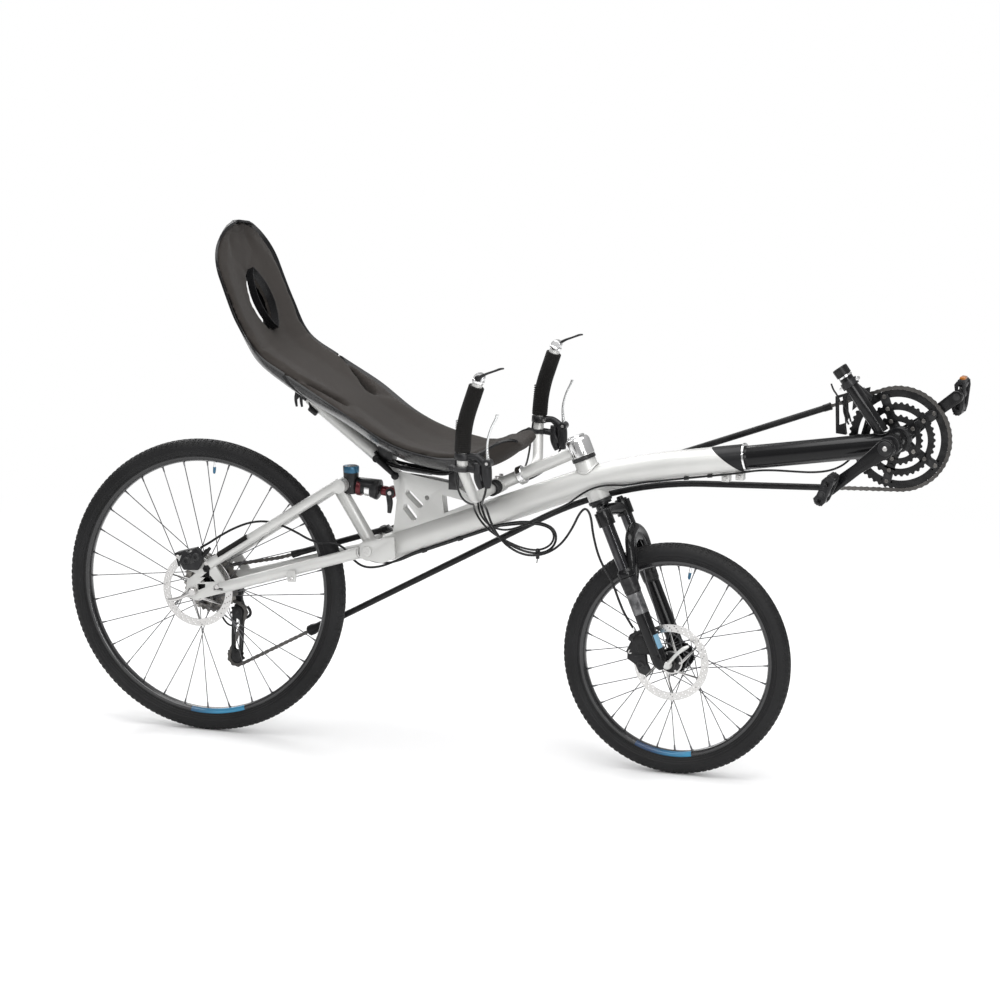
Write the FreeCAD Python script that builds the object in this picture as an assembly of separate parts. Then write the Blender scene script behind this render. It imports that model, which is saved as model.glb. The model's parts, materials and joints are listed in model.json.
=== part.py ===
"""Recumbent bicycle with under-seat steering, one STEP file per sub-part.

Working frame while modelling: x forward from the rear axle, y to the rider's left (the chain side),
z up from the ground. Every piece is moved at the end so that the row's origin is the rider's hip point.
All lengths are in millimetres, all angles in degrees.
"""
import FreeCAD
import Part
import math
import os

V = FreeCAD.Vector
X = V(1, 0, 0)
Y = V(0, 1, 0)
Z = V(0, 0, 1)

# ---- overall layout -------------------------------------------------------------------------------
WHEELBASE = 1056.0
REAR_WHEEL_R = 320.0
FRONT_WHEEL_R = 245.0
HIP_X, HIP_Z = 500.0, 664.0          # the rider's hip point, where the row's origin goes
HEAD_X, HEAD_Z = WHEELBASE - 189.0, 610.0    # where the steering axis crosses the main tube
HEAD_LEAN = 23.0                     # steering axis from the vertical, top leaning back
BB_X, BB_Z = HEAD_X + 635.0, 728.0   # crank axle
SEAT_OFF = 0.3                       # clearance of soft and curved pieces that lie on each other

# ---- wheels ---------------------------------------------------------------------------------------
TYRE_W = 40.0
TYRE_DEPTH = 36.0                    # tyre's outer radius less the rim's outer radius
RIM_DEPTH = 12.0
RIM_W = 24.0
RIM_INNER_W = 12.0
SPOKE_R = 1.0
SPOKE_SEAT = 1.0                     # how far inside the flange's edge a spoke's head sits
SPOKE_OFF = 0.9                      # a spoke's head stands off its flange so that the leaning spoke clears it
SPOKE_COUNT = 32
NIPPLE_R = 2.2
NIPPLE_LEN = 12.0
AXLE_R = 5.0
BORE_GAP = 0.05                      # radial clearance of an axle in its hub
HUB_FLANGE_R = 29.0
HUB_FLANGE_T = 3.0
HUB_SHELL_R = 17.0
ROTOR_R = 80.0
ROTOR_T = 2.0
ROTOR_BAND = 15.0
ROTOR_ARMS = 6
REAR_HALF_OLN = 67.5
FRONT_HALF_OLN = 50.0
CALIPER_OUT = 15.5                   # from the rotor's plane to the caliper's outer face
REAR_ROTOR_Y = -REAR_HALF_OLN + CALIPER_OUT
FRONT_ROTOR_Y = -39.5

# ---- frame ----------------------------------------------------------------------------------------
MAIN_R = 29.0
MAIN_WALL = 4.0
MAIN_REAR_X, MAIN_REAR_Z = 418.0, 434.0
MAIN_BEND_X, MAIN_BEND_Z = HEAD_X + 65.0, 635.0
MAIN_BEND_R = 1200.0
MAIN_FRONT_X, MAIN_FRONT_Z = HEAD_X + 330.0, 677.5
BOOM_GAP = 0.4                       # radial clearance of the boom in the main tube
BOOM_R = MAIN_R - MAIN_WALL - BOOM_GAP
BOOM_WALL = 2.0
BOOM_INSIDE = 100.0                  # how far the boom runs back inside the main tube
BOOM_SHORT = 4.0                     # the boom's centre line ends this far short of the crank axle
BB_SHELL_R = 21.0
BB_SHELL_W = 68.0
HEAD_R = 23.0
HEAD_LEN = 88.0
HEAD_BORE_R = 18.0
STEERER_R = 14.3
CUP_R = 25.0
CUP_LEN = 7.0
PIVOT_X, PIVOT_Z = 384.0, 430.0
PIVOT_AXLE_R = 8.0
PIVOT_HALF = 36.0
PIVOT_R = 22.0
CHEEK_T = 6.0
STAY_TOP_X, STAY_TOP_Z = 318.0, 564.0
STAY_TOP_HALF = 30.0
STAY_LIFT = 6.0                      # the upper stays' centre lines meet the bridge this far above its own
STAY_R = 11.0
LOWER_STAY_R = 12.5
STRUT_R = 14.0
STRUT_TOP_X, STRUT_TOP_Z = 306.0, 552.0
DROPOUT_T = 6.0
GUSSET_T = 28.0
MAST_R = 12.0

# ---- steering -------------------------------------------------------------------------------------
LEG_HALF = 66.0                      # fork leg's distance from the mid-plane
LEG_OFFSET = 19.0                    # fork leg's distance ahead of the steering axis
STANCHION_R = 13.0
LOWER_R = STANCHION_R + 3.0
CROWN_TOP = -56.0                    # crown's top along the steering axis, from the head's centre
CROWN_H = 26.0
LOWER_TOP = -132.0
STEM_LOW, STEM_HIGH = 53.0, 92.0
STEM_CLAMP_R = 20.0
STEM_R = 13.0
BAR_X = HEAD_X - 204.0               # handlebar's centre
BAR_OVER = 55.2                      # its height over the main tube's centre line
MAIN_SLOPE = (MAIN_BEND_Z - MAIN_REAR_Z) / (MAIN_BEND_X - MAIN_REAR_X)
BAR_Z = BAR_OVER + MAIN_REAR_Z + (BAR_X - MAIN_REAR_X) * MAIN_SLOPE
BAR_R = 11.0
GRIP_R = 16.5

# ---- drive ----------------------------------------------------------------------------------------
CHAIN_Y = 54.0
CHAIN_W = 5.4
CHAIN_H = 8.5
CRANK_LEN = 145.0
CRANK_IN_Y, CRANK_OUT_Y = 62.0, 76.0
SPINDLE_R = 11.0
PEDAL_IN_Y, PEDAL_OUT_Y = 86.0, 142.0
PEDAL_TILT = 76.0                    # both pedals at rest: their long axis from the horizontal
CRANK_ANGLE = 39.0                   # left arm above the horizontal, pointing forward
RINGS = (                            # (pitch radius, plane y)
    (105.1, 54.0),
    (76.9, 47.0),
    (52.6, 40.0),
)
RING_T = 3.0
COG_R = 28.5                         # the cassette sprocket that carries the chain
TOOTH_GAP = 5.0                      # a ring's body stops this far inside its pitch radius
COGS = (                             # (pitch radius, plane y), outermost first
    (24.5, 58.2),
    (COG_R, CHAIN_Y),
    (33.0, 49.8),
    (37.0, 45.6),
    (41.0, 41.4),
    (46.0, 37.2),
    (52.0, 33.0),
    (58.0, 28.8),
    (65.0, 24.6),
)
IDLER_X, IDLER_Z = 440.0, 446.0
IDLER_R = 30.0
GUIDE_X, GUIDE_Z = 50.0, REAR_WHEEL_R - 66.0
TENSION_X, TENSION_Z = 47.0, REAR_WHEEL_R - 167.0
PULLEY_R = 22.0
RETURN_BEND_X, RETURN_BEND_Z = HEAD_X + 38.0, 600.0      # the bend of the chain's lower run
RETURN_BEND_R = 800.0
STAY_FOOT_X, STAY_FOOT_UP = 62.0, 12.0     # lower stay's rear end: along x, and above the axle
CHAIN_OVER_STAY = 22.2               # the chain's height over the lower stay where it bends
REAR_BEND_X = 150.0
REAR_BEND_Z = CHAIN_OVER_STAY + REAR_WHEEL_R + STAY_FOOT_UP + (REAR_BEND_X - STAY_FOOT_X) * (
    PIVOT_Z - REAR_WHEEL_R - STAY_FOOT_UP) / (PIVOT_X - STAY_FOOT_X)
POWER_BENDS = (                      # (x, z, radius) where the upper run bends: in its tube, at its rear mouth
    (HEAD_X - 77.0, 574.0, 1500.0),
    (REAR_BEND_X, REAR_BEND_Z, 300.0),
)
TUBE_R = 6.7
TUBE_BORE_R = 5.6
LOWER_TUBE_X = (236.0, BB_X - 138.0)       # ends of the lower chain tube
UPPER_TUBE_X = (500.0, BB_X - 145.0)       # ends of the upper chain tube
REAR_TUBE_X = (178.0, 398.0)         # ends of the chain tube above the lower stay


# ---- shared helpers -------------------------------------------------------------------------------
def cylinder(start, direction, length, radius, bore=0.0):
    """A round bar from start along direction, or a pipe when bore is given."""
    bar = Part.makeCylinder(radius, length, start, direction)
    if bore > 0:
        bar = bar.cut(Part.makeCylinder(bore, length, start, direction))
    return bar


def rod(a, b, radius, bore=0.0):
    """A round bar between two points."""
    return cylinder(a, b.sub(a), b.sub(a).Length, radius, bore)


def block(x0, x1, y0, y1, z0, z1):
    """A box between two corners."""
    return Part.makeBox(x1 - x0, y1 - y0, z1 - z0, V(x0, y0, z0))


def plate(points, y0, y1):
    """A flat plate of side-view points (x, z), from y0 to y1."""
    loop = [V(x, y0, z) for x, z in points]
    wire = Part.makePolygon(loop + loop[:1])
    return Part.Face(wire).extrude(V(0, y1 - y0, 0))


def tangent_path(points, radii):
    """A wire of straight runs joined by tangent arcs, one radius for each inner point."""
    edges = []
    start = points[0]
    for before, corner, after, radius in zip(points, points[1:], points[2:], radii):
        back = before.sub(corner).normalize()
        ahead = after.sub(corner).normalize()
        half = back.getAngle(ahead) / 2
        reach = radius / math.tan(half)
        first = corner + back * reach
        last = corner + ahead * reach
        bisector = (back + ahead).normalize()
        middle = corner + bisector * (radius / math.sin(half) - radius)
        if first.sub(start).Length > 1e-6:
            edges.append(Part.LineSegment(start, first).toShape())
        edges.append(Part.Arc(first, middle, last).toShape())
        start = last
    edges.append(Part.LineSegment(start, points[-1]).toShape())
    return Part.Wire(edges)


def pipe(points, radii, radius, bore=0.0):
    """A bent round tube through points, with a bend radius at each inner point."""
    path = tangent_path(points, radii)
    heading = points[1].sub(points[0])

    def sweep(r):
        ring = Part.Wire([Part.makeCircle(r, points[0], heading)])
        return path.makePipeShell([ring], True, False)
    tube = sweep(radius)
    if bore > 0:
        tube = tube.cut(sweep(bore))
    return tube


def soft_radii(points, share=0.45):
    """Bend radii as large as the two runs at each inner point allow."""
    radii = []
    for before, corner, after in zip(points, points[1:], points[2:]):
        back = before.sub(corner)
        ahead = after.sub(corner)
        turn = math.pi - back.getAngle(ahead)
        radii.append(share * min(back.Length, ahead.Length) / math.tan(turn / 2))
    return radii


def cable(points, radius):
    """A thin flexible line through hand-chosen points."""
    return pipe(points, soft_radii(points), radius)


def fuse(pieces):
    """One solid of several that touch."""
    solid = pieces[0]
    for piece in pieces[1:]:
        solid = solid.fuse(piece)
    return solid.removeSplitter()


def ring_profile(points, x, z):
    """A solid of revolution about the wheel axle at (x, z), from (radius, y) points."""
    loop = [V(x + r, y, z) for r, y in points]
    face = Part.Face(Part.makePolygon(loop + loop[:1]))
    return face.revolve(V(x, 0, z), Y, 360)


def polar(x, z, radius, angle, y=0.0):
    """A point at an angle from +x in the side view, about (x, z)."""
    a = math.radians(angle)
    return V(x + radius * math.cos(a), y, z + radius * math.sin(a))


LEAN = math.radians(HEAD_LEAN)
UP = V(-math.sin(LEAN), 0, math.cos(LEAN))          # along the steering axis, upward
AHEAD = V(math.cos(LEAN), 0, math.sin(LEAN))        # square to it, forward
HEAD = V(HEAD_X, 0, HEAD_Z)


def steer_point(along, ahead=0.0, side=0.0):
    """A point given along the steering axis, ahead of it and to the left."""
    return HEAD + UP * along + AHEAD * ahead + Y * side


# ---- wheels ---------------------------------------------------------------------------------------
def tyre(x, z, outer):
    """A tyre as one solid ring: a round tread joined to two straight side walls."""
    bead = outer - TYRE_DEPTH
    shoulder = outer - TYRE_W / 2
    half = RIM_W / 2
    a = V(x + bead, -half, z)
    b = V(x + shoulder, -TYRE_W / 2, z)
    crown = V(x + outer, 0, z)
    c = V(x + shoulder, TYRE_W / 2, z)
    d = V(x + bead, half, z)
    edges = [Part.LineSegment(a, b).toShape(), Part.Arc(b, crown, c).toShape(),
             Part.LineSegment(c, d).toShape(), Part.LineSegment(d, a).toShape()]
    return Part.Face(Part.Wire(edges)).revolve(V(x, 0, z), Y, 360)


def rim(x, z, outer):
    """A box-section rim that fills the tyre's bead."""
    r1 = outer - TYRE_DEPTH
    r0 = r1 - RIM_DEPTH
    points = [(r1, -RIM_W / 2), (r1, RIM_W / 2), (r0 + 5, RIM_W / 2), (r0, RIM_INNER_W / 2),
              (r0, -RIM_INNER_W / 2), (r0 + 5, -RIM_W / 2)]
    return ring_profile(points, x, z)


def spokes(x, z, outer, right_y, left_y):
    """Crossed spokes, half from each flange, each with its nipple against the rim."""
    rim_r = outer - TYRE_DEPTH - RIM_DEPTH
    step = 360.0 / SPOKE_COUNT
    hole_r = HUB_FLANGE_R - SPOKE_SEAT
    pieces = []
    for i in range(SPOKE_COUNT):
        side = -1 if i % 2 else 1
        flange = left_y if side > 0 else right_y
        outward = 1 if (i // 2) % 2 else -1
        leaving = flange + outward * (HUB_FLANGE_T / 2 + SPOKE_R + SPOKE_OFF)
        angle = i * step
        twist = 72.0 if outward > 0 else -72.0
        head = polar(x, z, hole_r, angle + twist, leaving)
        seat = polar(x, z, rim_r - 0.2, angle, side * 2.0)
        lean = seat.sub(head).normalize()
        pieces.append(rod(head, seat - lean * NIPPLE_LEN, SPOKE_R))
        pieces[-1] = pieces[-1].fuse(rod(seat - lean * NIPPLE_LEN, seat, NIPPLE_R))
    return Part.makeCompound(pieces)


def hub(x, z, right_end, left_end, right_flange, left_flange, rotor_y):
    """A hub shell with two spoke flanges, a rotor seat and a bore for the axle."""
    bore = AXLE_R + BORE_GAP
    half = HUB_FLANGE_T / 2
    seat_y = rotor_y + ROTOR_T / 2
    points = [(bore, right_end), (9.0, right_end), (9.0, seat_y), (22.0, seat_y), (22.0, seat_y + 5.0),
              (HUB_SHELL_R, seat_y + 5.0), (HUB_SHELL_R, right_flange - half),
              (HUB_FLANGE_R, right_flange - half), (HUB_FLANGE_R, right_flange + half),
              (HUB_SHELL_R, right_flange + half), (HUB_SHELL_R, left_flange - half),
              (HUB_FLANGE_R, left_flange - half), (HUB_FLANGE_R, left_flange + half),
              (HUB_SHELL_R, left_flange + half), (HUB_SHELL_R, left_flange + half + 2.0),
              (13.0, left_flange + half + 2.0), (13.0, left_end), (bore, left_end)]
    return ring_profile(points, x, z)


def rotor(x, z, y):
    """A brake disc: an outer band on slanted arms around a centre that clears the hub's nose."""
    y0 = y - ROTOR_T / 2
    band = cylinder(V(x, y0, z), Y, ROTOR_T, ROTOR_R, ROTOR_R - ROTOR_BAND)
    centre = cylinder(V(x, y0, z), Y, ROTOR_T, 30.0, 9.2)
    pieces = [band, centre]
    for i in range(ROTOR_ARMS):
        angle = i * 360.0 / ROTOR_ARMS
        a = polar(x, z, 26.0, angle)
        b = polar(x, z, ROTOR_R - ROTOR_BAND + 4.0, angle + 28.0)
        along = b.sub(a).normalize()
        across = V(-along.z, 0, along.x) * 3.5
        corners = [(p.x, p.z) for p in (a + across, b + across, b - across, a - across)]
        pieces.append(plate(corners, y0, y0 + ROTOR_T))
    disc = fuse(pieces)
    for i in range(ROTOR_ARMS * 4):
        spot = polar(x, z, ROTOR_R - ROTOR_BAND / 2, i * 360.0 / (ROTOR_ARMS * 4), y0)
        disc = disc.cut(cylinder(spot, Y, ROTOR_T, 3.0))
    return disc


def cassette():
    """Rear sprockets as a stepped stack of discs on the hub's left end."""
    low, high = COGS[-1][1] - 1.0, COGS[0][1] + 1.0
    pieces = [cylinder(V(0, low, REAR_WHEEL_R), Y, high - low, 18.0, 13.0)]
    for radius, y in COGS:
        pieces.append(cylinder(V(0, y - 1.0, REAR_WHEEL_R), Y, 2.0, radius - TOOTH_GAP, 13.0))
    return fuse(pieces)


# ---- frame ----------------------------------------------------------------------------------------
def main_points():
    """Centre line of the main tube: rear end, the bend under the stem, front end."""
    return [V(MAIN_REAR_X, 0, MAIN_REAR_Z), V(MAIN_BEND_X, 0, MAIN_BEND_Z),
            V(MAIN_FRONT_X, 0, MAIN_FRONT_Z)]


def main_tube():
    """The large silver tube, pierced by the head tube."""
    tube = pipe(main_points(), [MAIN_BEND_R], MAIN_R, MAIN_R - MAIN_WALL)
    return tube.cut(cylinder(steer_point(-HEAD_LEN / 2), UP, HEAD_LEN, HEAD_R))


def head_tube():
    return cylinder(steer_point(-HEAD_LEN / 2), UP, HEAD_LEN, HEAD_R, HEAD_BORE_R)


def headset_cups():
    """Two pressed cups in which the steerer turns."""
    bore = STEERER_R + BORE_GAP
    cups = []
    for along, seat in ((HEAD_LEN / 2, -1), (-HEAD_LEN / 2 - CUP_LEN, 1)):
        ring = cylinder(steer_point(along), UP, CUP_LEN, CUP_R, bore)
        start = HEAD_LEN / 2 - 12.0 if seat < 0 else -HEAD_LEN / 2
        skirt = cylinder(steer_point(start), UP, 12.0, HEAD_BORE_R, bore)
        cups.append(ring.fuse(skirt).removeSplitter())
    return Part.makeCompound(cups)


def front_line():
    """The main tube's front end and the direction of its straight front stretch."""
    front = V(MAIN_FRONT_X, 0, MAIN_FRONT_Z)
    return front, front.sub(V(MAIN_BEND_X, 0, MAIN_BEND_Z)).normalize()


def boom_end():
    """Where the boom's centre line runs out inside the crank shell."""
    front, line = front_line()
    return front + line * ((BB_X - BOOM_SHORT - MAIN_FRONT_X) / line.x)


def boom():
    """The black front tube with the crank shell and the derailleur post's root."""
    front, line = front_line()
    start = front - line * BOOM_INSIDE
    tube = rod(start, boom_end(), BOOM_R)
    shell = cylinder(V(BB_X, -BB_SHELL_W / 2, BB_Z), Y, BB_SHELL_W, BB_SHELL_R)
    hollow = rod(start, start + line * (BOOM_INSIDE + 150), BOOM_R - BOOM_WALL)
    body = tube.fuse(shell).cut(hollow)
    return body.cut(cylinder(V(BB_X, -BB_SHELL_W / 2, BB_Z), Y, BB_SHELL_W, 17.0)).removeSplitter()


def boom_clamp():
    """The two bolted lugs that pinch the main tube's front end."""
    front, line = front_line()
    down = V(line.z, 0, -line.x)
    lugs = []
    for back in (18.0, 48.0):
        centre = front - line * back + down * (MAIN_R + 7.0)
        for side in (-1, 1):
            lug = block(centre.x - 8, centre.x + 8, min(side * 1.5, side * 10), max(side * 1.5, side * 10),
                        centre.z - 8, centre.z + 9)
            lugs.append(lug)
        lugs.append(cylinder(centre + V(0, -14, -1), Y, 28.0, 3.0))
    tube = rod(front - line * (BOOM_INSIDE + 40), front, MAIN_R)
    return Part.makeCompound([s for s in fuse(lugs).cut(tube).Solids])


POST_LOW = V(BB_X - 23, 0, BB_Z + 20)
POST_HIGH = V(BB_X - 115, 0, BB_Z + 145)
POST_R = 14.3


def derailleur_post():
    """The slanted tube above the crank shell that carries the front derailleur."""
    post = rod(POST_LOW, POST_HIGH, POST_R)
    tube = rod(front_line()[0], boom_end(), BOOM_R)
    shell = cylinder(V(BB_X, -60, BB_Z), Y, 120.0, BB_SHELL_R)
    return post.cut(tube).cut(shell)


CAGE_HALF = 6.5                      # front derailleur cage: half its width, and its plates' thickness
CAGE_WALL = 1.2
CAGE_CHEEK = ((-134, 80), (-131, 4), (-110, 2), (-113, 22), (-101, 50), (-66, 84), (-64, 102))
CAGE_BRIDGES = (
    ((-116, 83), (-76, 97.5), (-77, 100.5), (-117, 86)),
    ((-131, 4), (-110, 2), (-110, 5), (-131, 7)),
)


def front_derailleur():
    """Clamp band, body, arms and the cage around the chain."""
    along = POST_HIGH.sub(POST_LOW).normalize()
    seat = POST_LOW + along * 112.0
    band = cylinder(seat, along, 14.0, POST_R + 3.7, POST_R)
    body = rod(seat + along * 7 + Y * 12, seat + along * (-34) + Y * 30 + X * 12, 8.0)
    cheek = [(BB_X + x, BB_Z + z) for x, z in CAGE_CHEEK]
    pieces = [band, body]
    for y0 in (CHAIN_Y - CAGE_HALF, CHAIN_Y + CAGE_HALF - CAGE_WALL):
        pieces.append(plate(cheek, y0, y0 + CAGE_WALL))
    for bridge in CAGE_BRIDGES:
        outline = [(BB_X + x, BB_Z + z) for x, z in bridge]
        pieces.append(plate(outline, CHAIN_Y - CAGE_HALF, CHAIN_Y + CAGE_HALF))
    arm = V(BB_X - 97, CHAIN_Y - CAGE_HALF - 0.5, BB_Z + 84)
    pieces.append(rod(seat + along * (-34) + Y * 30 + X * 12, arm, 6.0))
    post = rod(POST_LOW, POST_HIGH, POST_R)
    return fuse(pieces).cut(post)


def gusset():
    """The pierced plate that stands on the main tube and carries the seat and the shock."""
    outline = [(430, 606), (452, 612), (474, 596), (556, 584), (580, 574), (626, 545), (626, 520),
               (560, 500), (470, 450), (428, 446), (436, 500), (440, 540), (432, 580)]
    body = plate(outline, -GUSSET_T / 2, GUSSET_T / 2)
    window = plate([(541, 558), (606, 545), (588, 536), (546, 518)], -40, 40)
    slot = rod(V(466, -40, 556), V(466, 40, 556), 7.0).fuse(rod(V(492, -40, 532), V(492, 40, 532), 7.0))
    web = plate([(461, 551), (487, 527), (497, 537), (471, 561)], -40, 40)
    oval = rod(V(462, -40, 524), V(462, 40, 524), 8.0).fuse(rod(V(478, -40, 505), V(478, 40, 505), 8.0))
    oval = oval.fuse(plate([(456, 519), (472, 500), (484, 510), (468, 529)], -40, 40))
    bolt_hole = rod(V(508, -40, 549), V(508, 40, 549), 5.0)
    for gap in (window, slot, web, oval, bolt_hole):
        body = body.cut(gap)
    return body.cut(pipe(main_points(), [MAIN_BEND_R], MAIN_R))


def pivot_lugs():
    """The main tube's rear end: a block with two cheeks around the swingarm's pivot."""
    outer = PIVOT_HALF + SEAT_OFF + CHEEK_T
    inner = PIVOT_HALF + SEAT_OFF
    cheek = [(PIVOT_X - 16, PIVOT_Z - 16), (PIVOT_X - 16, PIVOT_Z + 16), (MAIN_REAR_X, MAIN_REAR_Z + 26),
             (MAIN_REAR_X + 26, MAIN_REAR_Z + 30), (MAIN_REAR_X + 30, MAIN_REAR_Z - 14),
             (MAIN_REAR_X, MAIN_REAR_Z - 28)]
    pieces = []
    for side in (-1, 1):
        y0, y1 = sorted((side * inner, side * outer))
        pieces.append(plate(cheek, y0, y1))
    x0 = MAIN_REAR_X - 8.0
    pieces.append(block(x0, x0 + 34.0, -outer, outer, MAIN_REAR_Z - 14, MAIN_REAR_Z + 20))
    body = fuse(pieces)
    body = body.cut(pipe(main_points(), [MAIN_BEND_R], MAIN_R))
    body = body.cut(cylinder(V(PIVOT_X, -60, PIVOT_Z), Y, 120.0, PIVOT_R + 2.0).cut(
        cylinder(V(PIVOT_X, -60, PIVOT_Z), Y, 60 - inner, 60.0)).cut(
        cylinder(V(PIVOT_X, inner, PIVOT_Z), Y, 60 - inner, 60.0)))
    return body.cut(cylinder(V(PIVOT_X, -60, PIVOT_Z), Y, 120.0, PIVOT_AXLE_R))


def pivot_axle():
    half = PIVOT_HALF + SEAT_OFF + CHEEK_T
    pin = cylinder(V(PIVOT_X, -half - 3, PIVOT_Z), Y, 2 * half + 6, PIVOT_AXLE_R)
    heads = [cylinder(V(PIVOT_X, y, PIVOT_Z), Y, 4.0, 11.0) for y in (-half - 4, half)]
    return fuse([pin] + heads)


def swingarm():
    """Rear triangle: barrel, two lower stays, strut, two upper stays, bridge and dropouts."""
    z = REAR_WHEEL_R
    barrel = cylinder(V(PIVOT_X, -PIVOT_HALF, PIVOT_Z), Y, 2 * PIVOT_HALF, PIVOT_R)
    bridge = cylinder(V(STAY_TOP_X, -STAY_TOP_HALF - STAY_R, STAY_TOP_Z), Y,
                      2 * (STAY_TOP_HALF + STAY_R), 15.0)
    pieces = [barrel, bridge]
    pieces.append(rod(V(STRUT_TOP_X, 0, STRUT_TOP_Z), V(PIVOT_X, 0, PIVOT_Z), STRUT_R))
    for side in (-1, 1):
        stay_y = side * (REAR_HALF_OLN + DROPOUT_T / 2 + 2)
        pieces.append(rod(V(36, stay_y, z + 56 + STAY_LIFT),
                          V(STAY_TOP_X, side * STAY_TOP_HALF, STAY_TOP_Z + STAY_LIFT), STAY_R))
        pieces.append(rod(V(STAY_FOOT_X, stay_y, z + STAY_FOOT_UP),
                          V(PIVOT_X, side * (PIVOT_HALF - 8), PIVOT_Z), LOWER_STAY_R))
        y0, y1 = sorted((side * REAR_HALF_OLN, side * (REAR_HALF_OLN + DROPOUT_T)))
        outline = [(-20, z - 14), (6, z - 18), (70, z + 2), (76, z + 20), (50, z + 60), (34, z + 62), (-16, z + 24)]
        drop = plate(outline, y0, y1)
        drop = drop.cut(plate([(14, z + 20), (50, z + 24), (34, z + 42)], y0 - 9, y1 + 9))
        pieces.append(drop)
    pieces.append(plate([(50, z + 42), (44, z + 64), (-8, z + 88), (-38, z + 72), (-30, z + 52), (26, z + 32)],
                        -REAR_HALF_OLN - DROPOUT_T, -REAR_HALF_OLN))
    body = fuse(pieces)
    body = body.cut(cylinder(V(PIVOT_X, -60, PIVOT_Z), Y, 120.0, PIVOT_AXLE_R))
    slot = cylinder(V(0, -90, REAR_WHEEL_R), Y, 180.0, AXLE_R)
    body = body.cut(slot).cut(block(-6, STAY_TOP_X - 60, -REAR_HALF_OLN, REAR_HALF_OLN, z - 20, z + 25))
    for side in (-1, 1):
        body = body.cut(cylinder(V(PIVOT_X, side * PIVOT_HALF, PIVOT_Z), Y * side, 20.0, PIVOT_R + 3.0))
    eye_gap = cylinder(V(STAY_TOP_X + 14, -13, STAY_TOP_Z - 2), Y, 26.0, 13.0)
    return body.cut(eye_gap).removeSplitter()


def shock():
    """Air shock between the swingarm's bridge and the gusset, with its upright reservoir."""
    rear = V(STAY_TOP_X + 14, 0, STAY_TOP_Z - 2)
    front = V(424, 0, 553)
    eye = cylinder(rear + V(0, -12, 0), Y, 24.0, 11.0)
    can = rod(rear + V(16, 0, 0), rear + V(66, 0, -2), 18.0)
    shaft = rod(rear + V(66, 0, -2), front + V(-6, 0, 0), 7.0)
    neck = rod(rear, rear + V(20, 0, 0), 9.0)
    upright = rod(V(332, 0, 548), V(329, 0, 604), 15.0)
    tail = cylinder(front + V(0, -12, 0), Y, 24.0, 10.0)
    lug = cylinder(V(STAY_TOP_X, -60, STAY_TOP_Z), Y, 120.0, 15.0)
    strut = rod(V(STRUT_TOP_X, 0, STRUT_TOP_Z), V(PIVOT_X, 0, PIVOT_Z), STRUT_R + SEAT_OFF)
    return fuse([eye, can, shaft, neck, upright, tail]).cut(lug).cut(gusset()).cut(strut)


def seat_mast():
    """The slanted tube from the gusset up to the seat back's bracket."""
    low, high = V(446, 0, 590), V(232, 0, 749)
    return rod(low, high, MAST_R).cut(gusset())


# seat stations: x and z of the rim line, half width, and how deep the pan is behind it
SEAT_STATIONS = (
    (77, 1100, 62, 16),
    (81, 1063, 132, 22),
    (104, 1000, 162, 28),
    (136, 920, 164, 30),
    (178, 855, 156, 32),
    (245, 813, 158, 34),
    (340, 758, 160, 36),
    (430, 700, 148, 36),
    (496, 671, 150, 36),
    (570, 656, 146, 32),
    (640, 655, 130, 26),
    (690, 668, 116, 18),
)
SHELL_T = 5.0
VENT_HALF = 40.0
SLOT_HALF = 7.0


def seat_frames():
    """Each station as (rim-line point, inward normal, half width, depth)."""
    frames = []
    count = len(SEAT_STATIONS)
    for i, (x, z, half, depth) in enumerate(SEAT_STATIONS):
        x0, z0 = SEAT_STATIONS[max(i - 1, 0)][:2]
        x1, z1 = SEAT_STATIONS[min(i + 1, count - 1)][:2]
        along = V(x1 - x0, 0, z1 - z0).normalize()
        back = V(along.z, 0, -along.x)
        frames.append((V(x, 0, z), back, half, depth))
    return frames


def pan_section(point, back, half, outer_depth, inner_depth):
    """A closed crescent: outer arc through outer_depth, inner arc through inner_depth."""
    left = point + Y * half
    right = point - Y * half
    inner_left = point + Y * (half - SHELL_T)
    inner_right = point - Y * (half - SHELL_T)
    edges = [Part.Arc(right, point + back * outer_depth, left).toShape(),
             Part.LineSegment(left, inner_left).toShape(),
             Part.Arc(inner_left, point + back * inner_depth, inner_right).toShape(),
             Part.LineSegment(inner_right, right).toShape()]
    return Part.Wire(edges)


def seat_slots():
    """Cutters for the leaf-shaped vent behind the shoulders and the two side slots."""
    top, bottom = V(90, 0, 1014), V(150, 0, 884)
    along = bottom.sub(top).normalize()
    back = V(along.z, 0, -along.x)
    centre = (top + bottom) * 0.5
    bulge = Y * VENT_HALF
    leaf = Part.Wire([Part.Arc(top, centre + bulge, bottom).toShape(),
                      Part.Arc(bottom, centre - bulge, top).toShape()])
    leaf.translate(back * -40)
    cutters = [Part.Face(leaf).extrude(back * 110)]
    for side in (-1, 1):
        high, low = V(225, side * 150, 824), V(362, side * 72, 745)
        run = low.sub(high).normalize()
        normal = V(-0.51, 0, -0.86)
        across = run.cross(normal).normalize() * SLOT_HALF
        loop = Part.makePolygon([high + across, low + across, low - across, high - across, high + across])
        loop.translate(normal * -40)
        cutters.append(Part.Face(loop).extrude(normal * 110))
        cutters.append(cylinder(low - normal * 40, normal, 110, SLOT_HALF))
    return cutters


def cut_slots(body):
    for cutter in seat_slots():
        body = body.cut(cutter)
    return body


def seat_shell():
    """The hard shell: one thin curved pan from the head end to the front lip, pierced by its slots."""
    wires = [pan_section(p, b, h, d, d - SHELL_T) for p, b, h, d in seat_frames()]
    return cut_slots(Part.makeLoft(wires, True, False))


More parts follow.
